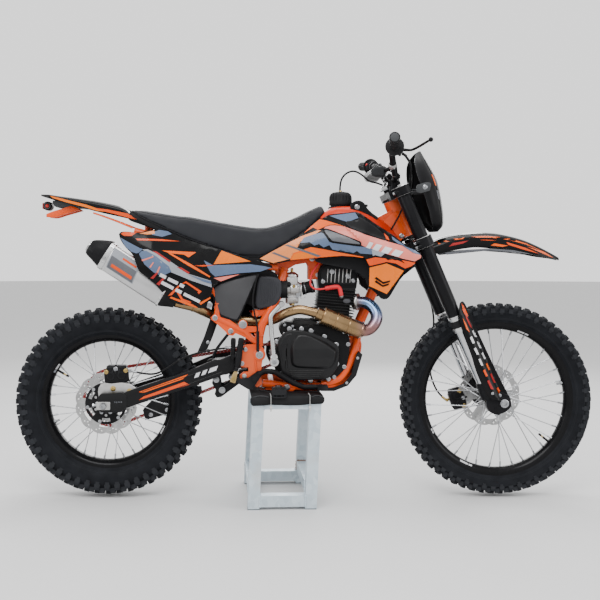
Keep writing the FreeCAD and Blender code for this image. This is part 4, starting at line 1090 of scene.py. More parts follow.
dp = Piece("rear_brake_disc")
dp.add(place(plate_holes(wavy_disc(0.110, 12, 0.007, 0.086, [(0.011, -0.1), (0.017, 0.0), (0.011, 0.1)], 0.044, 6), 0.004),
             (RA[0], -0.070, RA[2]), (1, 0, 0), (0, 0, 1), (0, -1, 0)), STEEL)
carrier = [circ((0, 0), 0.0735, 96)]
for k in range(6):
    a = 2 * PI * (k + 0.5) / 6
    carrier.append(slot_hole(0.0590, a, 0.52, 0.013))
    carrier.append(circ((0.0425 * math.cos(a), 0.0425 * math.sin(a)), 0.0055, 14))
carrier.append(circ((0, 0), 0.0200, 40))
dp.add(place(plate_holes(carrier, 0.003), (RA[0], -0.0738, RA[2]), (1, 0, 0), (0, 0, 1), (0, -1, 0)), SATIN_BLACK)
for k in range(6):
    a = 2 * PI * k / 6 + 0.2
    dp.add(lathe([(0, 0), (0.0062, 0), (0.0062, 0.0012), (0.0040, 0.0020), (0, 0.0020)], (RA[0] + 0.0665 * math.cos(a), -0.0752, RA[2] + 0.0665 * math.sin(a)), (0, -1, 0), 20), ZINC)
dp.add(lathe([(0.0198, -0.0682), (0.0435, -0.0682), (0.0435, -0.054), (0.0198, -0.0525)], (RA[0], 0, RA[2]), (0, 1, 0), 48, closed=True), ENGINE_BLACK)
for k in range(6):
    a = 2 * PI * k / 6
    dp.add(hexbolt((RA[0] + 0.031 * math.cos(a), -0.0750, RA[2] + 0.036 * math.sin(a)), (0, -1, 0), 0.0045, 0.004), ZINC)
dp.done("rear_wheel", "steel", ("rear_disc",), sharp=30)

# sprocket with 48 teeth
sp_ol = []
teeth = 48
for k in range(teeth):
    a = 2 * PI * k / teeth
    for da, rr in ((-0.30, 0.0905), (-0.12, 0.0985), (0.12, 0.0985), (0.30, 0.0905), (0.5, 0.0892)):
        t = a + da * 2 * PI / teeth
        sp_ol.append((rr * math.cos(t), rr * math.sin(t)))
ol = [sp_ol, circ((0, 0), 0.0195, 40)]
for j in range(6):
    a = 2 * PI * j / 6
    ol.append(slot_hole(0.064, a, 0.62, 0.020))
    ol.append(circ((0.047 * math.cos(a + PI / 6), 0.047 * math.sin(a + PI / 6)), 0.005, 12))
for j in range(24):
    a = 2 * PI * (j + 0.5) / 24
    ol.append(circ((0.0815 * math.cos(a), 0.0815 * math.sin(a)), 0.0028, 10))
dp = Piece("rear_sprocket_teeth")
dp.add(place(plate_holes(ol, 0.005), (RA[0], 0.062, RA[2]), (1, 0, 0), (0, 0, 1), (0, -1, 0)), STEEL)
dp.add(lathe([(0.0198, 0.0522), (0.0435, 0.0522), (0.0435, 0.0593), (0.0198, 0.0593)], (RA[0], 0, RA[2]), (0, 1, 0), 48, closed=True), ENGINE_BLACK)
for j in range(6):
    a = 2 * PI * (j + 0.5) / 6
    dp.add(hexbolt((RA[0] + 0.036 * math.cos(a), 0.0646, RA[2] + 0.036 * math.sin(a)), (0, 1, 0), 0.0045, 0.005), ZINC)
dp.done("rear_wheel", "steel", ("rear_sprocket",), sharp=30)

# ------------------------------------------------------------------ axles
p = Piece("front_axle_nuts")
p.add(cyl((FA[0], -0.128, FA[2]), (FA[0], 0.128, FA[2]), 0.0095, seg=32), STEEL)
for s in (-1, 1):
    p.add(lathe([(0.0098, 0.124), (0.0148, 0.124), (0.0148, 0.1265), (0.012, 0.1275), (0.012, 0.1335), (0.0095, 0.134), (0.006, 0.134), (0.006, 0.130), (0, 0.130)],
                (FA[0], 0, FA[2]), (0, s, 0), 6 if s > 0 else 32), ZINC)
    p.add(lathe([(0.0098, 0.0625), (0.016, 0.0625), (0.016, 0.0855), (0.0098, 0.0855)], (FA[0], 0, FA[2]), (0, s, 0), 40, closed=True), ALU_BRIGHT)
p.done("steering", "steel", ("front_axle",))
p = Piece("rear_axle_nuts")
p.add(cyl((RA[0], -0.134, RA[2]), (RA[0], 0.134, RA[2]), 0.0085, seg=32), STEEL)
for s in (-1, 1):
    p.add(lathe([(0.0088, 0.1262), (0.0148, 0.1262), (0.0148, 0.128), (0.0125, 0.1285), (0.0125, 0.138), (0.011, 0.1398), (0.006, 0.1398), (0.006, 0.136), (0, 0.136)],
                (RA[0], 0, RA[2]), (0, s, 0), 6), ZINC)
    p.add(lathe([(0.0088, 0.073), (0.016, 0.073), (0.016, 0.0995), (0.0088, 0.0995)], (RA[0], 0, RA[2]), (0, s, 0), 40, closed=True), ALU_BRIGHT)
p.done("chassis", "steel", ("rear_axle",))

# ------------------------------------------------------------------ frame
for n_ in ("frame_backbone", "frame_down_tube", "frame_cradle", "frame_uprights", "subframe"):
    paint(n_, ORANGE_FRAME)


def weld(p, c, axis, R, m=None, n=26, r=0.0032, arc=(0.0, 1.0)):
    """A ring of overlapping beads round a joint."""
    axis = Vector(axis).normalized()
    u = axis.orthogonal().normalized()
    w = axis.cross(u)
    for k in range(n):
        a = 2 * PI * (arc[0] + (arc[1] - arc[0]) * k / n)
        q = Vector(c) + (u * math.cos(a) + w * math.sin(a)) * R
        p.add(ballv(tuple(q), r, 8, 5, (1, 1, 1)), m or ORANGE_FRAME)


def side_bolt(p, px, py, y, r, h, m, boss=0.0, s=-1):
    (x, z), = pic([(px, py)], -y)
    if boss:
        p.add(cyl((x, s * (y - 0.012), z), (x, s * (y + 0.0015), z), boss, seg=28, ch=0.001), ORANGE_FRAME)
    p.add(hexbolt((x, s * (y + 0.001), z), (0, s, 0), r, h), m)


p = Piece("frame_bolts")
for s in (-1, 1):
    for px, py, y, r, h, m, boss in (
            (242.7, 324.5, 0.107, 0.0098, 0.008, ZINC, 0.0165), (245.3, 349.4, 0.1222, 0.0052, 0.005, ZINC, 0.0),
            (241.8, 363.4, 0.1222, 0.0058, 0.005, ZINC, 0.0100), (244.2, 376.2, 0.1222, 0.0058, 0.005, STEEL, 0.0140),
            (215.0, 317.8, 0.1095, 0.0066, 0.006, ZINC, 0.0125), (230.6, 331.2, 0.1095, 0.0066, 0.006, ZINC, 0.0115),
            (263.0, 386.0, 0.0915, 0.0078, 0.006, ZINC, 0.0130), (286.7, 387.4, 0.0915, 0.0078, 0.006, ZINC, 0.0130),
            (272.0, 308.0, 0.0850, 0.0050, 0.005, ZINC, 0.0)):
        side_bolt(p, px, py, y, r, h, m, boss, s)
    # swingarm pivot nut
    p.add(lathe([(0, 0), (0.0190, 0), (0.0205, 0.0015), (0.0205, 0.004), (0.018, 0.0055), (0, 0.0055)], (-0.159, s * 0.1215, 0.522), (0, s, 0), 40), ORANGE_FRAME)
    p.add(hexbolt((-0.159, s * 0.1265, 0.522), (0, s, 0), 0.0092, 0.007), ZINC)
    # raised rib down the pivot plate
    rib = pic([(254.6, 352.0), (255.0, 360.0), (255.8, 368.0), (257.2, 374.0)], -0.122)
    p.add(pipe([(q[0], s * 0.1216, q[1]) for q in rib], 0.0042, 12), ORANGE_FRAME)
    # small orange lugs under the cradle rail, where the peg is held
    lugo = rounded(pic([(258.5, 386.5), (266, 389.5), (292, 391.5), (296, 388.5), (290, 385.5), (262, 384)], -0.085), 0.006, 3)
    y0, y1 = sorted((s * 0.080, s * 0.0915))
    p.add(prism(lugo, y0, y1, ch=0.0012, steps=2), ORANGE_FRAME)
    # engine hanger plates and bolts at the head and the down tube
    hang = smooth([Vector(q) for q in ((0.010, 0.870), (0.056, 0.876), (0.072, 0.846), (0.070, 0.800), (0.046, 0.784), (0.028, 0.806))], 3)
    y0, y1 = sorted((s * 0.0305, s * 0.0365))
    p.add(prism(hang, y0, y1, ch=0.0012, steps=2), ORANGE_FRAME)
    for bx, bz in ((0.030, 0.858), (0.052, 0.800)):
        p.add(hexbolt((bx, s * 0.0365, bz), (0, s, 0), 0.0065, 0.006), ZINC)
    plate = smooth([Vector(q) for q in ((0.130, 0.556), (0.196, 0.572), (0.206, 0.540), (0.186, 0.484), (0.146, 0.478))], 3)
    y0, y1 = sorted((s * 0.0465, s * 0.0520))
    p.add(prism(plate, y0, y1, ch=0.0012, steps=2), ORANGE_FRAME)
    for bx, bz in ((0.188, 0.548), (0.180, 0.500), (0.150, 0.496)):
        p.add(hexbolt((bx, s * 0.0520, bz), (0, s, 0), 0.0068, 0.006), ZINC)
    # side gussets at the steering head
    gus = smooth([Vector(q) for q in ((0.330, 1.030), (0.345, 1.026), (0.370, 0.960), (0.352, 0.925), (0.318, 0.905), (0.270, 0.905), (0.250, 0.930), (0.268, 0.968))], 3)
    y0, y1 = sorted((s * 0.0315, s * 0.0345))
    p.add(prism(gus, y0, y1, ch=0.0010, steps=2), ORANGE_FRAME)
    p.add(hexbolt((0.352, s * 0.0345, 0.940), (0, s, 0), 0.0062, 0.006), ZINC)
p.done("chassis", "frame_orange", sharp=40)

p = Piece("frame_welds")
for s in (-1, 1):
    for q in ((-0.092, 0.060, 0.730), (-0.161, 0.100, 0.590), (-0.070, 0.036, 0.818)):
        weld(p, (q[0], s * q[1], q[2]), (0.2, 0.1 * s, 1), 0.0152, n=22, r=0.0026)
    weld(p, (-0.306, s * 0.100, 0.700), (0, 0, 1), 0.0112, n=20, r=0.0024)
    weld(p, (0.150, s * 0.062, 0.428), (0.3, 0.4 * s, 1), 0.0145, n=20, r=0.0026)
    weld(p, (-0.172, s * 0.070, 0.664), (0, 1, 0), 0.0115, n=18, r=0.0026)
    # bead down the head tube's gussets
    for k in range(26):
        t = k / 25
        p.add(ballv((0.330 + 0.038 * t, s * 0.0325, 1.028 - 0.070 * t), 0.0028, 8, 5), ORANGE_FRAME)
    for k in range(24):
        t = k / 23
        p.add(ballv((0.268 - 0.018 * t, s * 0.0325, 0.966 - 0.036 * t), 0.0026, 8, 5), ORANGE_FRAME)
weld(p, (0.318, 0, 0.898), (0.4, 0, 0.9), 0.0195, n=28)
weld(p, (0.180, 0, 0.568), (0.3, 0, 0.9), 0.0195, n=28)
p.done("chassis", "frame_orange", sharp=60)

# ------------------------------------------------------------------ engine
def px_out(points, y, n=3, corners=()):
    return smooth([Vector(q) for q in pic(points, y)], n, True, corners=corners)


# ---- crankcase: two halves with webs, the joint line, the left covers
p = Piece("crankcase_parts")
case_out = rounded([(-0.110, 0.474), (-0.094, 0.560), (-0.040, 0.610), (0.030, 0.626), (0.148, 0.611), (0.163, 0.560), (0.149, 0.472), (0.110, 0.434), (-0.078, 0.426)], 0.018, 4)
for y0, y1, m in ((-0.0905, -0.0455, ENGINE_BLACK), (-0.0445, 0.0445, ENGINE_BLACK)):
    p.add(prism(case_out, y0, y1, ch=0.0045, steps=3), m)
left_out = rounded([(-0.044, 0.474), (-0.044, 0.588), (0.030, 0.624), (0.146, 0.608), (0.161, 0.560), (0.147, 0.474), (0.110, 0.436), (-0.040, 0.430)], 0.014, 4)
p.add(prism(left_out, 0.0455, 0.0905, ch=0.0045, steps=3), ENGINE_BLACK)
for bx, bz in ((-0.100, 0.490), (-0.084, 0.556), (-0.036, 0.602), (0.140, 0.600), (0.154, 0.556), (0.140, 0.476), (0.104, 0.440), (0.0, 0.434), (-0.07, 0.434)):
    for s in (-1, 1):
        if s > 0 and bx < -0.04:
            continue
        p.add(cyl((bx, s * 0.086, bz), (bx, s * 0.0925, bz), 0.0075, seg=20, ch=0.001), ENGINE_BLACK)
        p.add(hexbolt((bx, s * 0.0915, bz), (0, s, 0), 0.0050, 0.0045), ZINC)
# left generator cover with its round face and plugs
p.add(lathe([(0, 0), (0.0725, 0), (0.0725, 0.010), (0.0690, 0.016), (0.0640, 0.018), (0.0560, 0.0185), (0.0540, 0.0235), (0.0500, 0.0265), (0.0260, 0.0270), (0.0240, 0.0255), (0, 0.0255)],
            (0.060, 0.0900, 0.520), (0, 1, 0), 72), COVER_BLACK)
p.add(lathe([(0, 0), (0.0150, 0), (0.0150, 0.003), (0.013, 0.0045), (0, 0.0045)], (0.060, 0.1150, 0.520), (0, 1, 0), 32), ALU)
for k in range(7):
    a = 2 * PI * k / 7 + 0.3
    c = (0.060 + 0.0660 * math.cos(a), 0.1045, 0.520 + 0.0660 * math.sin(a))
    p.add(cyl((c[0], 0.092, c[2]), (c[0], 0.1055, c[2]), 0.0085, seg=20, ch=0.0012), COVER_BLACK)
    p.add(hexbolt((c[0], 0.1050, c[2]), (0, 1, 0), 0.0052, 0.0045), ZINC)
# sprocket cover and output sprocket
dc = rounded([(-0.133, 0.546), (-0.100, 0.565), (-0.022, 0.574), (-0.022, 0.474), (-0.060, 0.454), (-0.119, 0.469), (-0.135, 0.500)], 0.012, 4)
p.add(prism(dc, 0.0845, 0.1055, ch=0.004, steps=3), COVER_BLACK)
for bx, bz in ((-0.122, 0.540), (-0.030, 0.564), (-0.030, 0.482), (-0.112, 0.478)):
    p.add(hexbolt((bx, 0.1050, bz), (0, 1, 0), 0.0052, 0.0045), ZINC)
for k in range(5):
    z_ = 0.492 + k * 0.013
    p.add(block((-0.078, 0.1062, z_), (0.062 - abs(k - 2) * 0.008, 0.0018, 0.005), None, 0.0006), COVER_BLACK)
teeth = []
for k in range(16 * 4):
    a = 2 * PI * k / 64
    r = 0.0325 if k % 4 in (1, 2) else 0.0290
    teeth.append((-0.092 + r * math.cos(a), 0.512 + r * math.sin(a)))
p.add(prism(teeth, 0.0590, 0.0650, ch=0.0006, steps=1), STEEL)
p.add(cyl((-0.092, 0.0445, 0.512), (-0.092, 0.0715, 0.512), 0.013, seg=28, ch=0.001), STEEL)
# flat boss and drain plug
p.add(block((0.120, -0.060, 0.622), (0.032, 0.040, 0.006), None, 0.002), ENGINE_BLACK)
p.add(hexbolt((0.030, 0.0, 0.4325), (0, 0, -1), 0.010, 0.006), ZINC)
p.done("chassis", "cast_aluminium", ("engine_crankcase",), sharp=38)

# ---- clutch cover
p = Piece("clutch_cover_parts")
cc_px = [(279, 341.7), (283.2, 335.6), (289.3, 331.5), (300, 331.6), (312.2, 334), (323, 338), (332.7, 343), (337.0, 346.5), (338.2, 352), (337.6, 360), (336.5, 367),
         (332.4, 373.2), (327.6, 377.4), (318, 378.8), (303, 379.4), (288, 379), (283.6, 374.4), (281.6, 367), (279.6, 355)]
cc = px_out(cc_px, -0.118)
p.add(prism(cc, -0.1045, -0.0915, ch=0.001, steps=1), COVER_BLACK)
cc_in = inset(cc, 0.0035)
p.add(prism(cc_in, -0.1145, -0.1030, ch=0.0045, steps=4), COVER_BLACK)


def edge_gap(poly):
    """Distance from points inside a 2-D outline to its edge."""
    P_ = np.array([tuple(q) for q in poly], float)
    Q_ = np.roll(P_, -1, axis=0)

    def f(x, z):
        X_ = np.stack([np.asarray(x, float), np.asarray(z, float)], -1)[..., None, :]
        d_ = Q_ - P_
        t_ = np.clip(((X_ - P_) * d_).sum(-1) / np.maximum((d_ ** 2).sum(-1), 1e-12), 0, 1)
        return np.sqrt((((P_ + d_ * t_[..., None]) - X_) ** 2).sum(-1)).min(-1)
    return f


def facets(p, poly, base, lift, z_hi, z_lo, up, down, turn, x0, m, cell=0.0035, slope=1.1):
    """A raised face with a bevelled rim, creased at two heights; it leans back above and below them."""
    g_ = edge_gap(poly)

    def f(x, z):
        x, z = np.asarray(x, float), np.asarray(z, float)
        y = lift - up * np.maximum(0, z - z_hi) - down * np.maximum(0, z_lo - z) - turn * np.maximum(0, x0 - x)
        return base + np.minimum(slope * g_(x, z), np.maximum(y, 0.0012))
    p.add(panel(poly, f, 0.008, 0.0, cell, -1), m)
# raised facet with its crease, right of a vertical channel
fc_px = [(297.6, 335.2), (303.5, 334.6), (309.0, 335.2), (318.0, 338.6), (327.0, 342.8), (334.0, 347.6), (337.4, 351.0), (337.2, 356.4), (335.4, 362.4), (331.4, 367.6), (327.0, 369.0), (300.0, 368.4),
         (293.0, 366.4), (290.8, 362.0), (290.2, 350.0), (292.4, 341.4)]
fc = px_out(fc_px, -0.123, 2)
facets(p, fc, 0.1142, 0.0118, 0.5413, 0.5093, 0.150, 0.170, 0.0, -1.0, COVER_BLACK)
lf_px = [(281.6, 340.4), (286.4, 334.8), (291.8, 333.6), (291.4, 335.6), (287.6, 341.0), (285.6, 349.4), (286.0, 360.4), (287.8, 369.4), (286.6, 370.6), (284.2, 366.6), (281.6, 357.0), (280.6, 348.0)]
facets(p, px_out(lf_px, -0.120, 2), 0.1142, 0.0085, 0.560, 0.500, 0.06, 0.06, 0.18, -0.016, COVER_BLACK)
# finned sump below
for k in range(4):
    (xa, za), (xb, _) = pic([(289.0 + k * 0.8, 370.6 + k * 1.9), (324.0 - k * 1.6, 370.6 + k * 1.9)], -0.118)
    p.add(block(((xa + xb) / 2, -0.1152, za), (xb - xa, 0.0052, 0.0034), None, 0.0012), COVER_BLACK)
for px, py in ((276.5, 341.7), (289.3, 328.9), (301.4, 328.9), (311.0, 331.0), (324.4, 336.6), (336.2, 344.6), (336.6, 363.8), (328.2, 379.0), (310.3, 381.0), (293.1, 380.4), (279.6, 374.0)):
    (bx, bz), = pic([(px, py)], -0.106)
    p.add(cyl((bx, -0.0915, bz), (bx, -0.1065, bz), 0.0085, seg=22, ch=0.0014), COVER_BLACK)
    p.add(hexbolt((bx, -0.1060, bz), (0, -1, 0), 0.0056, 0.0055), ZINC)
# places of the oil filler plug and sight glass; nothing is drawn at them
(bx, bz), = pic([(327.0, 366.0)], -0.126)
(ox, oz), = pic([(303.5, 343.2)], -0.124)
p.done("chassis", "cast_aluminium", ("clutch_cover",), sharp=38)

# ---- cylinder and head: many thin fins, slightly tilted down to the front
TILT = Matrix.Rotation(math.radians(5.0), 3, "Y")


def fin(p, c, lx, ly, t=0.0026, m=None):
    o = rounded([(-lx / 2, -ly / 2), (lx / 2, -ly / 2), (lx / 2, ly / 2), (-lx / 2, ly / 2)], 0.012, 4)
    v, f = prism(o, -t / 2, t / 2, "XY", ch=0.0007, steps=1)
    out = []
    for q in v:
        w = TILT @ Vector(q) + Vector(c)
        out.append(tuple(w))
    p.add((out, f), m or ENGINE_BLACK)


p = Piece("cylinder_barrel")
v, f = prism(rounded([(-0.060, -0.050), (0.060, -0.050), (0.060, 0.050), (-0.060, 0.050)], 0.02, 5), 0.616, 0.694, "XY")
p.add(([(q[0] + 0.104 + (q[2] - 0.655) * 0.1, q[1], q[2]) for q in v], f), ENGINE_BLACK)
for i in range(6):
    z = 0.636 + i * 0.0102
    fin(p, (0.101 + (z - 0.622) * 0.13, 0, z), 0.146 - 0.002 * (i % 2), 0.130)
p.add(block((0.102, 0, 0.6225), (0.128, 0.108, 0.010), None, 0.003), ENGINE_BLACK)
for s in (-1, 1):
    p.add(hexbolt((0.050, s * 0.056, 0.6275), (0, 0, 1), 0.0055, 0.006), ZINC)
    p.add(hexbolt((0.154, s * 0.056, 0.6275), (0, 0, 1), 0.0055, 0.006), ZINC)
# oval boss among the fins
(ox, oz), = pic([(346.7, 301)], -0.066)
ov = [(ox + 0.0135 * math.cos(2 * PI * k / 28), oz + 0.0085 * math.sin(2 * PI * k / 28)) for k in range(28)]
p.add(prism(ov, -0.0672, -0.050, ch=0.0015, steps=2), OVAL_GREY)
p.done("chassis", "cast_aluminium", ("cylinder",), sharp=38)

p = Piece("cylinder_head_parts")
base = rounded([(0.046, 0.690), (0.176, 0.690), (0.186, 0.755), (0.054, 0.755)], 0.006, 3)
p.add(prism(base, -0.056, 0.056, ch=0.003, steps=2), ENGINE_BLACK)
for i in range(6):
    z = 0.6985 + i * 0.0100
    fin(p, (0.1125 + (z - 0.70) * 0.13, 0, z), 0.138, 0.134)
top = rounded([(0.054, 0.747), (0.187, 0.747), (0.194, 0.800), (0.186, 0.822), (0.174, 0.840), (0.072, 0.843), (0.058, 0.830), (0.048, 0.800)], 0.010, 4)
p.add(prism(top, -0.0555, 0.0555, ch=0.006, steps=4), ENGINE_BLACK)
# cover with upright ribs on both sides, its silver bolts and the two inspection caps
for s in (-1, 1):
    y0, y1 = sorted((s * 0.0545, s * 0.0600))
    cov = rounded([(0.060, 0.766), (0.182, 0.766), (0.187, 0.804), (0.178, 0.830), (0.080, 0.834), (0.062, 0.816)], 0.008, 3)
    p.add(prism(cov, y0, y1, ch=0.0015, steps=2), ENGINE_BLACK)
    for k in range(7):
        x_ = 0.084 + k * 0.0135
        p.add(block((x_, s * 0.0612, 0.797), (0.0034, 0.0035, 0.050), Matrix.Rotation(math.radians(4), 3, "Y"), 0.0012), ALU if s < 0 else ENGINE_BLACK)
    for px, py in ((332, 271.6), (348, 276.0)):
        (bx, bz), = pic([(px, py)], -0.062)
        p.add(hexbolt((bx, s * 0.0612, bz), (0, s, 0), 0.0062, 0.005), ZINC)
    for bx, bz in ((0.068, 0.776), (0.176, 0.780), (0.172, 0.824)):
        p.add(hexbolt((bx, s * 0.0600, bz), (0, s, 0), 0.0050, 0.0045), ZINC)
p.add(lathe([(0, 0), (0.024, 0), (0.0255, 0.002), (0.0255, 0.007), (0.022, 0.010), (0, 0.010)], (0.120, 0, 0.838), (0, 0, 1), 6), ENGINE_BLACK)
p.add(lathe([(0.021, 0), (0.029, 0), (0.0295, 0.002), (0.029, 0.010), (0.021, 0.010)], (0.178, -0.040, 0.704), (1, 0, 0), 40, True), ALU)
for zz in (-0.024, 0.024):
    p.add(hexbolt((0.190, -0.040, 0.704 + zz), (1, 0, 0), 0.0048, 0.005), BRASS)
p.done("chassis", "cast_aluminium", ("cylinder_head",), sharp=38)

# ---- carburettor
p = Piece("carburettor_parts")
CX, CY, CZ = -0.042, -0.028, 0.748
p.add(lathe([(0, 0), (0.0300, 0), (0.0300, 0.008), (0.0270, 0.010), (0.0270, 0.020), (0.0290, 0.022), (0.0290, 0.052), (0.0265, 0.055), (0.0265, 0.062), (0, 0.062)], (-0.070, CY, CZ), (1, 0, 0), 48), ALU)
p.add(lathe([(0, 0), (0.0235, 0), (0.0235, 0.012), (0.021, 0.016), (0.0218, 0.030), (0.0235, 0.034), (0.0235, 0.046), (0, 0.046)], (-0.0075, CY, CZ + 0.002), (0.97, 0, 0.22), 40), RUBBER)
p.add(torus((0.004, CY, CZ + 0.0045), (0.97, 0, 0.22), 0.0232, 0.0022, 40, 8), ZINC)
p.add(torus((0.030, CY, CZ + 0.0105), (0.97, 0, 0.22), 0.0232, 0.0022, 40, 8), ZINC)
slide = rounded([(CX - 0.021, CY - 0.022), (CX + 0.021, CY - 0.022), (CX + 0.021, CY + 0.022), (CX - 0.021, CY + 0.022)], 0.008, 4)
p.add(prism(slide, 0.724, 0.792, "XY", ch=0.002, steps=2), ALU)
p.add(lathe([(0, 0), (0.0235, 0), (0.0245, 0.002), (0.0245, 0.010), (0.0230, 0.013), (0.0180, 0.018), (0.008, 0.021), (0, 0.021)], (CX, CY, 0.790), (0, 0, 1), 40), ALU_BRIGHT)
p.add(lathe([(0, 0), (0.0062, 0), (0.0062, 0.012), (0.0045, 0.016), (0, 0.016)], (CX, CY, 0.809), (0, 0, 1), 6), BRASS)
# float bowl
bowl = rounded([(CX - 0.023, CY - 0.022), (CX + 0.023, CY - 0.022), (CX + 0.023, CY + 0.022), (CX - 0.023, CY + 0.022)], 0.010, 4)
p.add(prism(bowl, 0.697, 0.722, "XY", ch=0.004, steps=3), ALU)
p.add(prism(rounded([(CX - 0.0245, CY - 0.0235), (CX + 0.0245, CY - 0.0235), (CX + 0.0245, CY + 0.0235), (CX - 0.0245, CY + 0.0235)], 0.008, 4), 0.720, 0.725, "XY", ch=0.001, steps=1), ALU_BRIGHT)
p.add(lathe([(0, 0), (0.011, 0), (0.011, 0.006), (0.008, 0.009), (0, 0.009)], (CX, CY, 0.698), (0, 0, -1), 6), BRASS)
for bx, by in ((-0.018, -0.018), (0.018, -0.018), (0.018, 0.018), (-0.018, 0.018)):
    p.add(hexbolt((CX + bx, CY + by, 0.7252), (0, 0, 1), 0.0028, 0.003, washer=False), ZINC)
# brass screws, the choke knob and the throttle linkage on the right
(bx, bz), = pic([(293.8, 286.3)], -0.055)
p.add(lathe([(0, 0), (0.0062, 0), (0.0062, 0.007), (0.0045, 0.009), (0, 0.009)], (bx, CY - 0.0215, bz), (0, -1, 0), 20), BRASS)
p.add(block((bx, CY - 0.0305, bz), (0.010, 0.001, 0.0014), None, 0.0003), DARK_GREY)
p.add(lathe([(0, 0), (0.0075, 0), (0.0075, 0.010), (0.0055, 0.013), (0, 0.013)], (CX - 0.012, CY - 0.026, 0.768), (0, -1, 0), 24), MATTE_BLACK)
p.add(prism(rounded([(-0.028, 0.716), (-0.012, 0.720), (-0.010, 0.760), (-0.020, 0.772), (-0.030, 0.760)], 0.004, 3), -0.0535, -0.0505, ch=0.0006, steps=1), ZINC)
p.add(hexbolt((-0.020, -0.0535, 0.757), (0, -1, 0), 0.0045, 0.004), ZINC)
p.add(pipe([(-0.020, -0.052, 0.722), (-0.008, -0.056, 0.712), (0.006, -0.052, 0.722)], 0.0016, 8), ZINC)
p.done("chassis", "cast_aluminium", ("carburettor",), sharp=38)

# ---- ignition lead's plug and clips live with the hoses; exhaust
paint("exhaust_header", EXHAUST)
p = Piece("exhaust_details")
ca, cb = Vector((0.196, -0.115, 0.606)), Vector((0.060, -0.122, 0.660))
cdir = (cb - ca).normalized()
for t in (0.02, 0.34, 0.66, 0.98):
    q = ca + (cb - ca) * t
    p.add(torus(tuple(q), tuple(cdir), 0.0300, 0.0024, 56, 8), EXHAUST)
# a cone at the chamber's front end, and thin rings further back along the pipe
p.add(lathe([(0.0215, 0), (0.0298, 0.012)], tuple(ca - cdir * 0.012), tuple(cdir), 48, False), EXHAUST)
for q, d, r in (((0.262, -0.096, 0.650), (-0.2, -0.2, -1), 0.0), ((0.236, -0.066, 0.700), (1, -0.4, -0.3), 0.0), ((-0.150, -0.053, 0.634), (1, 0.1, 0), 0.0175), ((-0.250, -0.053, 0.640), (1, 0, 0), 0.0175), ((-0.390, -0.120, 0.690), (0.8, 0.2, -0.3), 0.0175)):
    if r:
        p.add(torus(q, d, r, 0.0022, 40, 8), EXHAUST)
# flange, and two springs at the slip joint
p.add(lathe([(0.0215, -0.004), (0.0300, -0.004), (0.0310, -0.002), (0.0310, 0.002), (0.0300, 0.004), (0.0215, 0.004)], (0.192, -0.0460, 0.7035), (1, -0.43, 0), 48, True), STEEL)
for dy in (-0.020, 0.020):
    a_ = Vector((-0.415, -0.127 + dy, 0.700))
    b_ = Vector((-0.462, -0.136 + dy, 0.716))
    coil = [a_.lerp(b_, k / 90) + Vector((0.0, math.cos(k * 0.9), math.sin(k * 0.9))) * 0.0035 for k in range(91)]
    p.add(sweep([tuple(q) for q in coil], 0.0009, 6), ZINC)
p.done("chassis", "exhaust_steel", sharp=40)

# ---- muffler
MA, MB = Vector((-0.451, -0.136, 0.706)), Vector((-0.742, -0.136, 0.888))
MD = (MB - MA)
MU = MD.normalized()
MN = Vector((-MU.z, 0, MU.x))
if MN.z < 0:
    MN = -MN


def oct_ring(t, hw, hh, n=5, cn=0.0):
    """A rounded six-sided section of the can; cn moves it up from the axis."""
    c = MA + MD * t + MN * cn
    base = [(-1.0, 0.12), (-0.80, 0.86), (-0.46, 1.0), (0.46, 1.0), (0.80, 0.86), (1.0, 0.12), (1.0, -0.30), (0.70, -0.92), (0.40, -1.0), (-0.40, -1.0), (-0.70, -0.92), (-1.0, -0.30)]
    pts = rounded([(a * hw, b * hh) for a, b in base], min(hw, hh) * 0.30, n)
    return [tuple(c + Vector((0, 1, 0)) * a + MN * b) for a, b in pts]


def ring_loft(rows, cap=True):
    v, rings = [], []
    for t, hw, hh, cn in rows:
        pts = oct_ring(t, hw, hh, cn=cn)
        rings.append(list(range(len(v), len(v) + len(pts))))
        v += pts
    f = []
    m = len(rings[0])
    for a, b in zip(rings, rings[1:]):
        for k in range(m):
            k2 = (k + 1) % m
            f.append((a[k], a[k2], b[k2], b[k]))
    if cap:
        f += [tuple(reversed(rings[0])), tuple(rings[-1])]
    return v, f


p = Piece("muffler_can")
p.add(ring_loft([(0.130, 0.030, 0.032, 0.002), (0.140, 0.0405, 0.0455, 0.004), (0.150, 0.0420, 0.0475, 0.005), (0.845, 0.0420, 0.0500, 0.010), (0.852, 0.0410, 0.0490, 0.010)]), CAN)
p.add(ring_loft([(0.134, 0.0415, 0.0470, 0.005), (0.138, 0.0432, 0.0490, 0.005), (0.158, 0.0432, 0.0490, 0.005), (0.162, 0.0418, 0.0474, 0.005)]), ALU_BRIGHT)
p.add(ring_loft([(0.800, 0.0418, 0.0498, 0.010), (0.804, 0.0432, 0.0514, 0.010), (0.850, 0.0432, 0.0514, 0.010), (0.854, 0.0418, 0.0500, 0.010)]), ALU_BRIGHT)
# black front cone
p.add(ring_loft([(-0.005, 0.0205, 0.0205, 0.0), (0.020, 0.0230, 0.0235, 0.0), (0.070, 0.0310, 0.0330, 0.001), (0.115, 0.0385, 0.0425, 0.003), (0.136, 0.0405, 0.0455, 0.004)]), MATTE_BLACK)
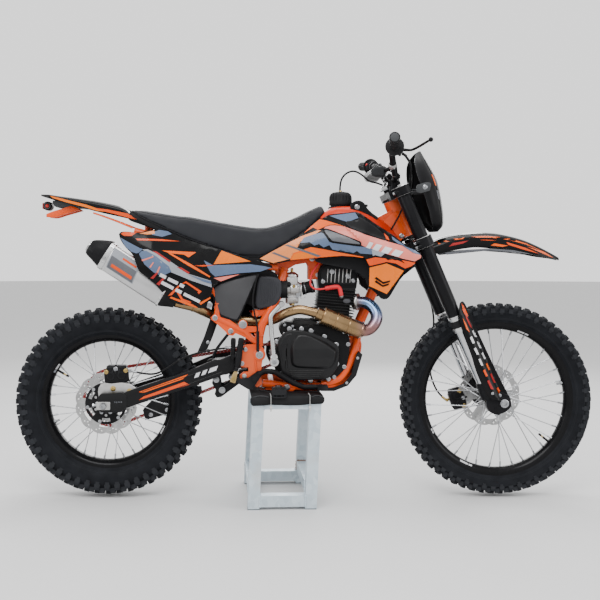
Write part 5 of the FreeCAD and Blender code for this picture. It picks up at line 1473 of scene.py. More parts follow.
# black end cap with its opening
p.add(ring_loft([(0.850, 0.0426, 0.0505, 0.0125), (0.860, 0.0436, 0.0512, 0.0145), (0.905, 0.0415, 0.0455, 0.0130), (0.950, 0.0385, 0.0392, 0.0114), (1.000, 0.0335, 0.0322, 0.0085), (1.026, 0.0295, 0.0275, 0.0068), (1.033, 0.0262, 0.0245, 0.0064)]), SATIN_BLACK)
tip = MA + MD * 1.024 + MN * 0.0064
p.add(lathe([(0.0155, 0.0), (0.0205, 0.0), (0.0205, 0.008), (0.0190, 0.0095), (0.0165, 0.0095), (0.0155, 0.008)], tuple(tip), tuple(MU), 40, True), STEEL)
p.add(lathe([(0, 0.0), (0.0165, 0.0), (0.0165, 0.0065), (0, 0.0065)], tuple(tip), tuple(MU), 32), MATTE_BLACK)
# rivets round both bands
for t, cn_ in ((0.148, 0.005), (0.827, 0.010)):
    ring_pts = oct_ring(t, 0.0436, 0.0494 + (0.002 if t > 0.5 else 0.0), cn=cn_)
    for k in range(0, len(ring_pts), 6):
        q = Vector(ring_pts[k])
        c = MA + MD * t + MN * cn_
        d = (q - c).normalized()
        p.add(lathe([(0, 0), (0.0028, 0), (0.0020, 0.0013), (0, 0.0016)], tuple(q - d * 0.0006), tuple(d), 12), ZINC)
# hanger strap
c = MA + MD * 0.66
q = MA + MD * 0.42 + MN * 0.050
p.add(prism(rounded([(q.x - 0.018, q.z - 0.006), (q.x + 0.018, q.z - 0.006), (q.x + 0.012, q.z + 0.034), (q.x - 0.010, q.z + 0.034)], 0.005, 3), -0.122, -0.117, ch=0.001, steps=1), MATTE_BLACK)
p.add(hexbolt((q.x, -0.1225, q.z + 0.022), (0, -1, 0), 0.0065, 0.006), ZINC)
p.done("chassis", "exhaust_steel", ("muffler",), sharp=34)

# ---- upper crankcase parts behind the exhaust pipe: starter motor, breather housing and cylinder base
p = Piece("crankcase_top")
p.add(lathe([(0, -0.072), (0.0250, -0.072), (0.0285, -0.068), (0.0285, -0.050), (0.0305, -0.048), (0.0305, 0.050), (0.0285, 0.052), (0.0285, 0.068), (0.0250, 0.072), (0, 0.072)], (-0.058, 0, 0.606), (0, 1, 0), 44), ENGINE_BLACK)
p.add(block((0.004, 0, 0.598), (0.098, 0.128, 0.076), None, 0.010), ENGINE_BLACK)
for k in range(5):
    p.add(block((0.004, 0, 0.612 + k * 0.0080), (0.106 - 0.006 * k, 0.118 - 0.006 * k, 0.0034), None, 0.0012), ENGINE_BLACK)
for k in range(4):
    p.add(hexbolt((-0.034 + 0.026 * k, -0.0640, 0.604 + 0.006 * (k % 2)), (0, -1, 0), 0.0046, 0.004), ZINC)
for a_ in (0.6, 2.2, 4.0):
    p.add(hexbolt((-0.058 + 0.020 * math.cos(a_), -0.0720, 0.606 + 0.020 * math.sin(a_)), (0, -1, 0), 0.0038, 0.003), ZINC)
p.done("chassis", "black_paint", sharp=40)

# ---- levers and pegs
paint("kick_starter", ALU_BRIGHT)
paint("brake_pedal", SATIN_BLACK)
paint("gear_lever", STEEL)
p = Piece("lever_details")
p.add(lathe([(0, -0.002), (0.0150, -0.002), (0.0165, 0), (0.0165, 0.014), (0.0150, 0.016), (0, 0.016)], (-0.108, -0.138, 0.500), (0, -1, 0), 40), ALU_BRIGHT)
p.add(block((-0.1085, -0.1455, 0.512), (0.026, 0.015, 0.030), Matrix.Rotation(math.radians(-6), 3, "Y"), 0.004), ALU_BRIGHT)
p.add(hexbolt((-0.108, -0.1535, 0.500), (0, -1, 0), 0.0065, 0.005), ZINC)
for k in range(8):
    p.add(lathe([(0.0085, -0.0012), (0.0098, -0.0012), (0.0098, 0.0012), (0.0085, 0.0012)], (-0.084, -0.158 - k * 0.0052, 0.702), (0, -1, 0), 24, True), RUBBER)
for k in range(5):
    p.add(block((0.0435 + k * 0.0072, -0.155, 0.4212), (0.0026, 0.038, 0.0030), None, 0.0006), SATIN_BLACK)
p.add(lathe([(0, 0), (0.0080, 0), (0.0085, 0.001), (0.0080, 0.002), (0, 0.002)], (-0.176, -0.1385, 0.440), (0, -1, 0), 32), SATIN_BLACK)
for k in range(6):
    p.add(lathe([(0.0090, -0.0016), (0.0106, -0.0016), (0.0106, 0.0016), (0.0090, 0.0016)], (0.092, 0.142 + k * 0.0052, 0.450), (0, 1, 0), 24, True), RUBBER)
p.add(lathe([(0.0075, -0.008), (0.0120, -0.008), (0.0130, -0.006), (0.0130, 0.006), (0.0120, 0.008), (0.0075, 0.008)], (-0.030, 0.1265, 0.470), (0, 1, 0), 28, True), STEEL)
p.done("chassis", "steel", sharp=40)

# ---- skid plate: a thin plate bent up in front, with narrow side flanges
p = Piece("skid_shell")
OUT_ = [Vector(q) for q in ((0.0565, 0.3915), (0.104, 0.3915), (0.152, 0.4105), (0.182, 0.4465), (0.2035, 0.520), (0.196, 0.5275))]
IN_ = [Vector(q) for q in ((0.188, 0.524), (0.168, 0.446), (0.140, 0.412), (0.102, 0.3950), (0.0565, 0.3945))]
p.add(prism(OUT_ + IN_, -0.0960, 0.0960, ch=0.0008, steps=1), MATTE_BLACK)
IN2 = [Vector(q) for q in ((0.182, 0.520), (0.1635, 0.4500), (0.1365, 0.4180), (0.100, 0.4040), (0.0565, 0.4030))]
for s in (-1, 1):
    y0, y1 = sorted((s * 0.0950, s * 0.0995))
    p.add(prism(OUT_ + IN2, y0, y1, ch=0.0012, steps=2), MATTE_BLACK)
    for q in ((0.1865, 0.5080), (0.1480, 0.4205), (0.0720, 0.3975)):
        p.add(hexbolt((q[0], s * 0.0990, q[1]), (0, s, 0), 0.0036, 0.0022), ZINC)
p.done("chassis", "black_plastic", ("skid_plate",), sharp=40)

# ---- front bends of the cradle
p = Piece("cradle_bends")
for s in (-1, 1):
    p.add(pipe([(0.196, s * 0.044, 0.600), (0.188, s * 0.058, 0.560), (0.170, s * 0.072, 0.505), (0.146, s * 0.080, 0.455), (0.112, s * 0.082, 0.420), (0.060, s * 0.080, 0.4125)], 0.0138, 20), ORANGE_FRAME)
p.done("chassis", "frame_orange", sharp=60)

p = Piece("footpeg_parts")
for s in (-1, 1):
    y0, y1 = 0.142, 0.213
    for xx in (-0.114, -0.072):
        p.add(block((xx, s * (y0 + y1) / 2, 0.404), (0.005, y1 - y0, 0.021), None, 0.0012), SATIN_BLACK)
    for yy in np.linspace(y0 + 0.003, y1 - 0.003, 5):
        p.add(block((-0.093, s * float(yy), 0.404), (0.042, 0.005, 0.020), None, 0.0010), SATIN_BLACK)
    for xx in (-0.114, -0.072):
        for k in range(9):
            yy = y0 + 0.004 + k * 0.0079
            p.add(lathe([(0.0034, 0), (0.0006, 0.0048), (0, 0.0048)], (xx, s * yy, 0.4112), (0, 0, 1), 4), SATIN_BLACK)
    # outer end: an upright oval frame with two ribs
    y0_, y1_ = sorted((s * 0.2030, s * 0.2100))
    ring_o = rounded([(-0.119, 0.384), (-0.067, 0.384), (-0.067, 0.422), (-0.119, 0.422)], 0.014, 5)
    ring_i = rounded([(-0.114, 0.389), (-0.072, 0.389), (-0.072, 0.417), (-0.114, 0.417)], 0.010, 5)
    v_, f_ = [], []
    n_ = len(ring_o)
    for ol_, yy_ in ((ring_o, y0_), (ring_o, y1_), (ring_i, y1_), (ring_i, y0_)):
        v_ += [(a_, yy_, b_) for a_, b_ in ol_]
    for r_ in range(4):
        for k in range(n_):
            k2 = (k + 1) % n_
            f_.append((r_ * n_ + k, r_ * n_ + k2, ((r_ + 1) % 4) * n_ + k2, ((r_ + 1) % 4) * n_ + k))
    p.add((v_, f_), SATIN_BLACK)
    for xx in (-0.1015, -0.0845):
        p.add(block((xx, s * 0.2065, 0.403), (0.0045, 0.0060, 0.030), None, 0.0010), SATIN_BLACK)
    p.add(block((-0.093, s * 0.117, 0.404), (0.027, 0.050, 0.019), None, 0.004), SATIN_BLACK)
    p.add(cyl((-0.093, s * 0.130, 0.3925), (-0.093, s * 0.130, 0.4165), 0.0055, seg=20), ZINC)
    coil = [(-0.093 + 0.0085 * math.cos(k * 0.7), s * 0.130 + 0.0085 * math.sin(k * 0.7), 0.396 + 0.0165 * k / 60) for k in range(61)]
    p.add(sweep(coil, 0.0011, 6), ZINC)
p.done("chassis", "steel", ("footpegs",), sharp=40)

# ------------------------------------------------------------------ bodywork
def zoomed(points, x0, y0, k):
    """Points drawn on an enlarged view to picture points."""
    return [(x0 + x / k, y0 + y / k) for x, y in points]


def A(points):
    return zoomed(points, 250, 190, 8.711)


def B(points):
    return zoomed(points, 30, 190, 6.817)


def C(points):
    return zoomed(points, 200, 255, 7.84)


def sheet_solid(grid, thick):
    """A closed thin shell from a grid of points; thick goes against the grid's normal."""
    G = np.array(grid, float)
    du = np.gradient(G, axis=0)
    dv = np.gradient(G, axis=1)
    n = np.cross(du, dv)
    n /= np.maximum(np.linalg.norm(n, axis=2), 1e-12)[..., None]
    H = G - n * thick
    if np.abs(H[..., 1]).mean() > np.abs(G[..., 1]).mean():      # the thickness goes inwards
        H = G + n * thick
    a, b = G.shape[:2]
    v = [tuple(p) for p in G.reshape(-1, 3)] + [tuple(p) for p in H.reshape(-1, 3)]
    o = a * b
    idx = lambda i, j: i * b + j
    f = []
    for i in range(a - 1):
        for j in range(b - 1):
            q = (idx(i, j), idx(i + 1, j), idx(i + 1, j + 1), idx(i, j + 1))
            f.append(q)
            f.append(tuple(o + k for k in reversed(q)))
    for i in range(a - 1):
        for j in (0, b - 1):
            p, q = idx(i, j), idx(i + 1, j)
            f.append((q, p, o + p, o + q) if j == 0 else (p, q, o + q, o + p))
    for j in range(b - 1):
        for i in (0, a - 1):
            p, q = idx(i, j), idx(i, j + 1)
            f.append((p, q, o + q, o + p) if i == 0 else (q, p, o + p, o + q))
    return v, f


def fine(rows, n=4):
    """Rows of numbers, with smooth rows between them."""
    return smooth([Vector(r) for r in rows], n, closed=False) if len(rows[0]) <= 4 else None


def ctrl(points):
    """(px, py, half width in mm) to (x, z, y)."""
    out = []
    for px, py, y in points:
        x, z = at(px, py, -y / 1000)
        out.append((x, z, y / 1000))
    return out


# ---- shroud
shroud_f = tps(ctrl([
    (258, 259, 112), (273, 263, 113), (290, 261, 116), (318, 258, 121), (342, 256, 127), (363, 258, 134), (369, 268, 138),
    (369, 286, 139), (386, 295, 149), (393, 281, 158), (406, 269, 168), (417, 260, 171), (421, 256, 171), (419, 252, 165), (405, 244, 150),
    (391, 233, 132), (376, 224, 112), (366, 217, 100), (356, 212, 90), (343, 213, 88), (329, 214.6, 86), (323, 217, 87), (308, 229, 98),
    (290, 240, 107), (270, 252, 110), (300, 248, 124), (330, 240, 134), (350, 246, 142), (380, 252, 157), (400, 255, 168),
    (340, 226, 116), (365, 230, 130), (385, 240, 146), (385, 272, 156)]))
shroud_px = [(258.6, 258.9), (273, 263.5), (289.6, 261.2), (317.7, 257.7), (341.8, 256), (353.3, 256.6), (363.6, 257.7), (367.7, 261.2),
             (369.4, 268), (368.8, 286.4), (386.6, 295), (389, 293), (393.5, 281), (399.2, 275.5), (406.1, 269.2), (410.7, 266.3),
             (417, 260), (421.4, 256), (419.9, 253.1), (405, 244), (391, 233.6), (376, 224), (366, 217), (357, 212), (343, 213),
             (329, 214.6), (323.5, 217.5), (318, 220.5), (308, 229), (299, 235.5), (288, 242.5), (279, 247.5), (270, 252.3)]
shroud_out = smooth([Vector(q) for q in pic(shroud_px, shroud_f)], 3, True, corners=(0, 9, 10, 17))

ART_SHROUD = [
    (A([(605, 255), (655, 264), (740, 290), (835, 322), (740, 300), (690, 305), (645, 322), (590, 347), (548, 325), (468, 376), (530, 318)]), ORANGE),
    (A([(640, 340), (655, 322), (700, 309), (740, 308), (830, 322), (1000, 388), (1150, 435), (1230, 458), (1330, 486), (1430, 530), (1488, 570),
        (1490, 590), (1435, 622), (1330, 598), (1200, 560), (1130, 540), (1000, 494), (970, 480), (962, 448), (700, 345), (660, 335)]), SALMON),
    (A([(84, 598), (180, 542), (330, 462), (450, 402), (588, 352), (620, 352), (560, 388), (500, 440), (440, 452), (380, 500), (430, 530), (350, 600), (200, 636)]), PEACH),
    (A([(435, 462), (470, 415), (560, 384), (620, 372), (640, 380), (690, 452), (720, 462), (950, 492), (1010, 497), (1085, 520), (1060, 560),
        (960, 552), (930, 530), (900, 548), (850, 515), (820, 536), (770, 500), (720, 520), (690, 480), (640, 500), (600, 470), (560, 484), (520, 455)]), BLUEGREY),
    (A([(352, 600), (380, 548), (440, 530), (530, 498), (640, 515), (700, 528), (900, 566), (985, 582), (985, 590), (900, 578), (800, 572), (590, 588), (350, 612)]), ORANGE),
    (A([(380, 560), (430, 545), (560, 535), (590, 560), (560, 585), (360, 604)]), ORANGE_YELLOW),
    (A([(1010, 606), (1110, 580), (1170, 592), (1200, 590), (1260, 612), (1330, 612), (1440, 634), (1405, 664), (1350, 684), (1270, 640), (1190, 626),
        (1040, 662), (1028, 630)]), ORANGE_DEEP),
    (A([(1042, 676), (1190, 640), (1340, 704), (1262, 760), (1240, 800), (1192, 906), (1038, 836)]), ORANGE_YELLOW),
    (A([(692, 226), (915, 198), (944, 244), (850, 280), (770, 256)]), BLUEGREY),
    (A([(300, 482), (330, 476), (620, 572), (590, 584)]), MIDGREY),
    (A([(182, 548), (210, 542), (352, 596), (322, 604)]), MIDGREY),
    (A([(1090, 585), (1180, 560), (1300, 596), (1350, 640), (1260, 600), (1200, 610), (1180, 595)]), GLOSS_BLACK),
    (A([(1060, 520), (1180, 548), (1140, 580), (1090, 566), (1070, 574)]), LIGHTGREY),
    (A([(1232, 405), (1352, 488), (1290, 470), (1240, 432)]), BLUEGREY),
    (A([(1320, 482), (1440, 528), (1486, 566), (1420, 548)]), BLUEGREY),
    (A([(1165, 378), (1200, 408), (1212, 440), (1186, 430)]), ORANGE_DEEP),
    # plain slanted bars
    (A([(1040, 452), (1075, 462), (1045, 512), (1010, 500)]), WHITE),
    (A([(1100, 470), (1150, 485), (1115, 533), (1065, 517)]), WHITE),
    (A([(1178, 494), (1238, 512), (1200, 558), (1140, 540)]), WHITE),
    (A([(1266, 520), (1334, 540), (1292, 584), (1226, 564)]), WHITE),
    # plain chevrons on the wing
    (A([(1085, 770), (1100, 756), (1160, 800), (1222, 786), (1216, 802), (1160, 818)]), GLOSS_BLACK),
    (A([(1085, 800), (1100, 786), (1156, 828), (1212, 812), (1206, 828), (1156, 844)]), GLOSS_BLACK),
]
INSET = A([(635, 352), (642, 341), (665, 339), (955, 446), (968, 462), (966, 482), (945, 488), (722, 457), (700, 446), (640, 370)])
INSET_IN = A([(650, 358), (668, 351), (944, 455), (954, 467), (950, 473), (728, 446), (708, 436)])
VENT_SCOOP = A([(832, 292), (940, 262), (952, 236), (1010, 268), (1110, 336), (1185, 420), (1180, 436), (1100, 412), (1000, 374)])

for name, s in (("shroud_right", -1), ("shroud_left", 1)):
    p = Piece(name + "_skin")
    p.add(panel(shroud_out, shroud_f, 0.0032, 0.0, 0.010, s, 0.0006), GLOSS_BLACK)
    p.done("chassis", "orange_plastic", (name,), sharp=50)
    p = Piece(name + "_graphics")
    for k, (pts, m) in enumerate(ART_SHROUD):
        lift = 0.0005 + 0.00012 * k
        p.add(panel(pic(pts, shroud_f), shroud_f, lift + 0.0004, lift, 0.010, s), m)
    p.done("chassis", "orange_plastic", sharp=50)
    p = Piece(name + "_inset")
    p.add(panel(smooth([Vector(q) for q in pic(INSET, shroud_f)], 3), shroud_f, 0.0045, 0.0035, 0.010, s, 0.0008), GLOSS_BLACK)
    p.add(panel(smooth([Vector(q) for q in pic(INSET_IN, shroud_f)], 3), shroud_f, 0.002, 0.0042, 0.010, s, 0.0004), MIDGREY)
    p.add(panel(smooth([Vector(q) for q in pic(VENT_SCOOP, shroud_f)], 3, corners=(2, 6)), shroud_f, 0.0025, 0.0028, 0.008, s, 0.0010), SATIN_BLACK)
    p.done("chassis", "black_plastic", sharp=50)
    # the inner wing and skirt behind the lower wing
    p = Piece(name + "_inner")
    g = tps(ctrl([(300, 256, 98), (330, 262, 96), (367, 262, 104), (369, 290, 110), (388, 300, 112), (402, 276, 128), (412, 264, 140)]))
    p.add(panel(smooth([Vector(q) for q in pic(A([(560, 606), (720, 570), (1000, 590), (1040, 620), (1050, 640), (1240, 640), (1430, 650), (1440, 668), (1380, 705), (1300, 790),
                                                  (1225, 915), (1190, 950), (1140, 945), (1110, 900), (1035, 852), (1000, 770), (930, 712), (830, 680), (700, 655), (620, 640)]), g)], 2),
                g, 0.003, 0.0, 0.010, s, 0.0006), SATIN_BLACK)
    # two stand-off bosses to the tank
    for bx, bz in ((0.120, 0.930), (0.210, 0.930)):
        y1 = float(shroud_f(bx, bz)) - 0.003
        p.add(cyl((bx, s * 0.088, bz), (bx, s * y1, bz), 0.008, seg=20), MATTE_BLACK)
    p.done("chassis", "black_plastic", sharp=50)

# ---- side panels
side_f = tps(ctrl([
    (118.7, 234, 188), (121, 231.8, 186), (136, 232.5, 176), (147, 230.3, 160), (166, 230.3, 140), (172, 234, 133), (191, 241.3, 124), (221, 250, 118),
    (250, 258, 116), (272, 266, 115), (260, 271.5, 117), (250, 273.6, 118), (228, 279.5, 121), (216, 284, 123), (212, 290, 125), (211, 301.5, 126), (209, 308.8, 126),
    (188, 306, 146), (167, 297, 172), (156, 285.4, 187), (146, 276.6, 191), (138.5, 269, 192), (136, 260, 192), (125, 247, 192),
    (150, 245, 182), (165, 262, 186), (180, 275, 168), (200, 285, 142), (190, 258, 142), (225, 264, 124), (140, 252, 190), (175, 290, 168), (172, 250, 158)]))
side_px = [(118.7, 234), (121, 231.8), (128, 231.6), (135.6, 232.5), (141, 232), (147.3, 230.3), (157, 229.6), (166.4, 230.3), (171.6, 234), (191.4, 241.3),
           (220.7, 250.1), (250, 258.2), (260, 261), (272, 265.5), (272.5, 267.5), (262, 271), (250, 273.6), (228, 279.5), (216.3, 283.9), (211.9, 289.8),
           (211.2, 301.5), (209.7, 308.6), (201.6, 308), (188.4, 305.9), (176.7, 303.7), (166.4, 297.1), (156.2, 285.4), (145.9, 276.6),
           (138.5, 270), (135, 261), (131.5, 253.5), (125.3, 247.2), (120.2, 239.4)]
side_out = smooth([Vector(q) for q in pic(side_px, side_f)], 3, True, corners=(0, 3, 8, 13, 14, 21))
ART_SIDE = [
    (B([(618, 297), (640, 285), (725, 291), (690, 314), (640, 312)]), ORANGE_DEEP),
    (B([(835, 290), (880, 272), (940, 282), (965, 300), (900, 319), (830, 305)]), BLUEGREY),
    (B([(745, 296), (800, 284), (845, 276), (850, 298), (800, 304)]), PEACH),
    (B([(720, 331), (900, 336), (1022, 350), (900, 348), (732, 343)]), ORANGE_DEEP),
    (B([(612, 322), (660, 350), (745, 395), (768, 403), (742, 428), (722, 432), (690, 420), (650, 388)]), BLUEGREY),
    (B([(765, 405), (800, 404), (860, 432), (960, 490), (1080, 572), (1232, 618), (1238, 664), (1100, 618), (960, 560), (900, 500), (850, 462), (800, 425)]), LIGHTGREY),
    (B([(742, 436), (760, 416), (792, 414), (860, 452), (945, 520), (962, 556), (900, 588), (840, 560), (780, 506)]), BLUEGREY),
    (B([(900, 413), (1132, 424), (1080, 460), (1048, 441), (945, 431)]), ORANGE),
    (B([(1305, 413), (1506, 487), (1250, 506)]), ORANGE_YELLOW),
    (B([(1184, 480), (1246, 512), (1500, 506), (1600, 520), (1645, 530), (1568, 556), (1430, 566), (1260, 590), (1228, 560)]), BLUEGREY),
    (B([(1250, 600), (1430, 574), (1300, 622)]), SALMON),
    (B([(940, 432), (962, 434), (1100, 508), (1228, 588), (1222, 596), (1080, 518)]), ORANGE),
    (B([(1120, 516), (1180, 512), (1260, 512), (1180, 522)]), ORANGE_DEEP),
    (B([(835, 416), (862, 420), (956, 484), (950, 494)]), DARKRED),
    (B([(1000, 525), (1030, 528), (1086, 562), (1080, 574)]), DARKRED),
    (B([(1082, 578), (1230, 622), (1238, 640), (1180, 625)]), BLUEGREY),
    (B([(760, 476), (836, 452), (842, 458), (766, 486)]), SALMON),
    (B([(812, 526), (838, 492), (844, 496), (822, 530)]), SALMON),
    (B([(862, 560), (880, 520), (888, 524), (872, 566)]), SALMON),
    (B([(940, 720), (1010, 650), (1020, 654), (966, 716)]), ORANGE_DEEP),
    (B([(960, 726), (1100, 776), (1142, 800), (1128, 802), (1080, 786), (952, 736)]), ORANGE),
    (B([(1030, 640), (1062, 622), (1168, 690), (1152, 706), (1140, 700), (1146, 692), (1060, 634)]), ORANGE_DEEP),
    (B([(1000, 700), (1010, 690), (1040, 740), (1098, 762), (1090, 770), (1030, 752)]), ORANGE_DEEP),
    (B([(1150, 770), (1226, 730), (1230, 738), (1162, 782)]), ORANGE),
    (B([(820, 600), (862, 562), (872, 566), (840, 606)]), DARKRED),
    (B([(860, 640), (912, 590), (922, 596), (880, 650)]), DARKRED),
    # two rows of plain slanted dashes
    (B([(890, 566), (930, 586), (920, 606), (880, 586)]), WHITE),
    (B([(944, 594), (1010, 626), (1000, 646), (934, 614)]), WHITE),
    (B([(1024, 634), (1052, 648), (1042, 668), (1014, 654)]), WHITE),
    (B([(900, 618), (980, 660), (970, 680), (890, 638)]), WHITE),
    (B([(996, 668), (1036, 688), (1026, 708), (986, 688)]), WHITE),
    (B([(1052, 698), (1160, 752), (1150, 770), (1042, 716)]), WHITE),
]
for name, s in (("side_panel_right", -1), ("side_panel_left", 1)):
    squeeze = 1.0 if s < 0 else 0.86

    def sf(x, z, q=squeeze):
        base = side_f(x, z)
        return base if q == 1.0 else 0.115 + (base - 0.115) * 0.62
    p = Piece(name + "_skin")
    p.add(panel(side_out, sf, 0.0032, 0.0, 0.010, s, 0.0006), GLOSS_BLACK)
    p.add(cyl((-0.330, s * 0.088, 0.888), (-0.330, s * (float(sf(-0.33, 0.888)) - 0.003), 0.888), 0.008, seg=20), MATTE_BLACK)
    p.done("chassis", "black_plastic", (name,), sharp=50)
    p = Piece(name + "_graphics")
    for k, (pts, m) in enumerate(ART_SIDE):
        lift = 0.0005 + 0.00010 * k
        p.add(panel(pic(pts, side_f), sf, lift + 0.0004, lift, 0.010, s), m)
    p.done("chassis", "orange_plastic", sharp=50)
    bx, bz = pic([(209, 305)], side_f)[0]
    p = Piece(name + "_bolt")
    p.add(hexbolt((bx, s * (float(sf(bx, bz)) - 0.001), bz), (0, s, 0), 0.008, 0.008), ZINC)
    p.done("chassis", "steel")

# ---- airbox with its side covers
cover_px = C([(90, 268), (106, 240), (150, 215), (200, 198), (430, 144), (458, 146), (462, 160), (412, 262), (360, 380), (304, 508), (290, 520), (262, 520), (160, 484), (140, 464), (112, 400)])
cov_f = tps(ctrl([(212, 290, 106), (223, 281, 106), (256, 273, 104), (250, 290, 110), (238, 320, 106), (219, 316, 106), (232, 300, 114), (240, 285, 112)]))
inner_px = C([(112, 272), (126, 250), (205, 212), (425, 160), (440, 168), (400, 262), (350, 378), (292, 500), (265, 502), (168, 466), (156, 452), (130, 396)])
box_out = rounded(pic([(214, 262), (240, 258), (277, 273), (280, 284), (277, 299), (269, 307), (256, 309), (240, 300), (216, 305)], -0.07), 0.02, 4)
p = Piece("air_box_shell")
p.add(prism(box_out, -0.068, 0.068, ch=0.006, steps=3), MATTE_BLACK)
# ribs on the visible corner
rib_px = C([(462, 180), (500, 168), (560, 176), (606, 232), (598, 338), (540, 398), (446, 414), (440, 300)])
rib_out = smooth([Vector(q) for q in pic(zoomed([(462, 176), (500, 166), (560, 170), (622, 190), (640, 236), (632, 330), (588, 392), (520, 412), (446, 414), (440, 300)], 200, 255, 7.84), -0.094)], 3)
for s in (-1, 1):
    y0, y1 = sorted((s * 0.060, s * 0.0935))
    p.add(prism(rib_out, y0, y1, ch=0.006, steps=3), AIR_RIB)
    g = lambda x, z: 0.0935 + 0 * np.asarray(x)
    for k in range(9):
        px = 261.5 + k * 2.05
        top = 280.0 - 1.0 * math.sin(k * 0.45) + (0 if k < 6 else (k - 5) * 1.2)
        bot = 304.5 - k * 0.4 - (0 if k < 6 else (k - 5) * 2.4)
        (xa, za), (xb, zb) = pic([(px, top), (px - 1.0, bot)], -0.095)
        p.add(cyl((xa, s * 0.0930, za), (xb, s * 0.0930, zb), 0.0022, seg=8), AIR_RIB)
# lower wall behind the shock absorber
low_wall = rounded(pic([(232, 300), (262, 300), (264, 318), (258, 327), (240, 326)], 0.05), 0.006, 3)
p.add(prism(low_wall, 0.040, 0.052, ch=0.002, steps=2), MATTE_BLACK)
p.done("chassis", "black_plastic", ("air_box",), sharp=40)
for s, tag in ((-1, "right"), (1, "left")):
    p = Piece("air_box_cover_" + tag)
    p.add(panel(smooth([Vector(q) for q in pic(cover_px, cov_f)], 3), cov_f, 0.006, 0.0, 0.010, s, 0.0012), SATIN_BLACK)
    p.add(panel(smooth([Vector(q) for q in pic(inner_px, cov_f)], 3), cov_f, 0.004, 0.0028, 0.010, s, 0.0012), DARK_GREY)
    for cx2, cz2 in pic([(222, 300), (240, 288), (236, 312)], -0.1):
        p.add(cyl((cx2, s * 0.066, cz2), (cx2, s * (float(cov_f(cx2, cz2)) - 0.004), cz2), 0.010, seg=20), MATTE_BLACK)
    p.done("chassis", "black_plastic", sharp=45)

# intake boot between airbox and carburettor
p = Piece("intake_boot")
boot = [(0.0315, 0.0), (0.033, 0.004), (0.030, 0.008), (0.0315, 0.012), (0.0290, 0.016), (0.0305, 0.020), (0.0285, 0.024), (0.0295, 0.028), (0.0285, 0.034), (0.0285, 0.040)]
p.add(lathe([(0.0, 0.0)] + [(r_ * 1.08, h_) for r_, h_ in boot] + [(0.0, 0.040)], (-0.100, -0.056, 0.748), (1, 0.0, 0), 48), RUBBER)
p.add(torus((-0.066, -0.050, 0.748), (1, 0, 0), 0.0305, 0.0022, 48, 8), ZINC)
p.done("chassis", "rubber")

# ---- tank
tank_rows = [(0.340, 0.030, 0.918, 0.028, 0.940), (0.322, 0.046, 0.902, 0.042, 0.966), (0.300, 0.054, 0.886, 0.048, 0.984), (0.262, 0.078, 0.870, 0.062, 1.009), (0.215, 0.093, 0.867, 0.068, 1.031),
             (0.165, 0.100, 0.866, 0.068, 1.045), (0.110, 0.100, 0.866, 0.064, 1.043), (0.066, 0.094, 0.866, 0.054, 1.018), (0.020, 0.082, 0.866, 0.044, 0.976), (-0.058, 0.066, 0.864, 0.040, 0.914)]


def body_ring(wb, zb, wt, zt, crown=0.0, n=14):
    """Half section from bottom middle to top middle, then the mirrored half."""
    half = smooth([Vector(q) for q in ((0, zb), (wb * 0.7, zb), (wb * 0.97, zb + 0.01), (wb * 1.03, zb + (zt - zb) * 0.4), (wt * 1.12, zb + (zt - zb) * 0.80),
                                       (wt * 0.9, zt - 0.008), (wt * 0.45, zt + crown * 0.6), (0, zt + crown))], 3, closed=False, corners=(1,))
    return half + [(-y, z) for y, z in reversed(half[1:-1])]


def loft_rings(rows, ring, sub=4, cap=True):
    R = [np.array(r, float) for r in rows]
    fine_rows = []
    for i in range(len(R) - 1):
        p0, p1, p2, p3 = R[max(i - 1, 0)], R[i], R[i + 1], R[min(i + 2, len(R) - 1)]
        for k in range(sub):
            t = k / sub
            fine_rows.append(0.5 * (2 * p1 + (p2 - p0) * t + (2 * p0 - 5 * p1 + 4 * p2 - p3) * t * t + (3 * p1 - p0 - 3 * p2 + p3) * t ** 3))
    fine_rows.append(R[-1])
    v, rings = [], []
    for r in fine_rows:
        pts = ring(*r[1:])
        ids = []
        for y, z in pts:
            ids.append(len(v))
            v.append((r[0], y, z))
        rings.append(ids)
    f = []
    m = len(rings[0])
    for a, b in zip(rings, rings[1:]):
        for k in range(m):
            k2 = (k + 1) % m
            f.append((a[k], a[k2], b[k2], b[k]))
    if cap:
        f.append(tuple(reversed(rings[0])))
        f.append(tuple(rings[-1]))
    return v, f


p = Piece("fuel_tank_body")
p.add(loft_rings(tank_rows, lambda wb, zb, wt, zt: body_ring(wb, zb, wt, zt, 0.003)), RED_TANK)
# filler neck, seam and cap
cx = 0.136
p.add(lathe([(0.046, 1.024), (0.046, 1.040), (0.043, 1.046), (0.036, 1.048), (0.036, 1.060), (0.0, 1.060)], (cx, 0, 0), (0, 0, 1), 64), MATTE_BLACK)
cap_prof = [(0.040, 1.052), (0.0415, 1.054), (0.0415, 1.066), (0.0395, 1.070), (0.0385, 1.082), (0.0345, 1.092), (0.024, 1.099), (0.010, 1.102), (0.0, 1.1025)]
p.add(lathe([(0.0, 1.052)] + cap_prof, (cx, 0, 0), (0, 0, 1), 72), MATTE_BLACK)
for k in range(20):
    a = 2 * PI * k / 20
    c, s2 = math.cos(a), math.sin(a)
    p.add(sweep([(cx + r * c, r * s2, z) for r, z in ((0.0395, 1.068), (0.0390, 1.082), (0.0350, 1.0915), (0.026, 1.0975))], 0.0022, 8), MATTE_BLACK)
p.add(lathe([(0.0, 1.100), (0.006, 1.100), (0.006, 1.104), (0.0045, 1.106), (0.0, 1.106)], (cx, 0, 0), (0, 0, 1), 20), BRASS)
p.done("chassis", "orange_plastic", ("fuel_tank",), sharp=40)
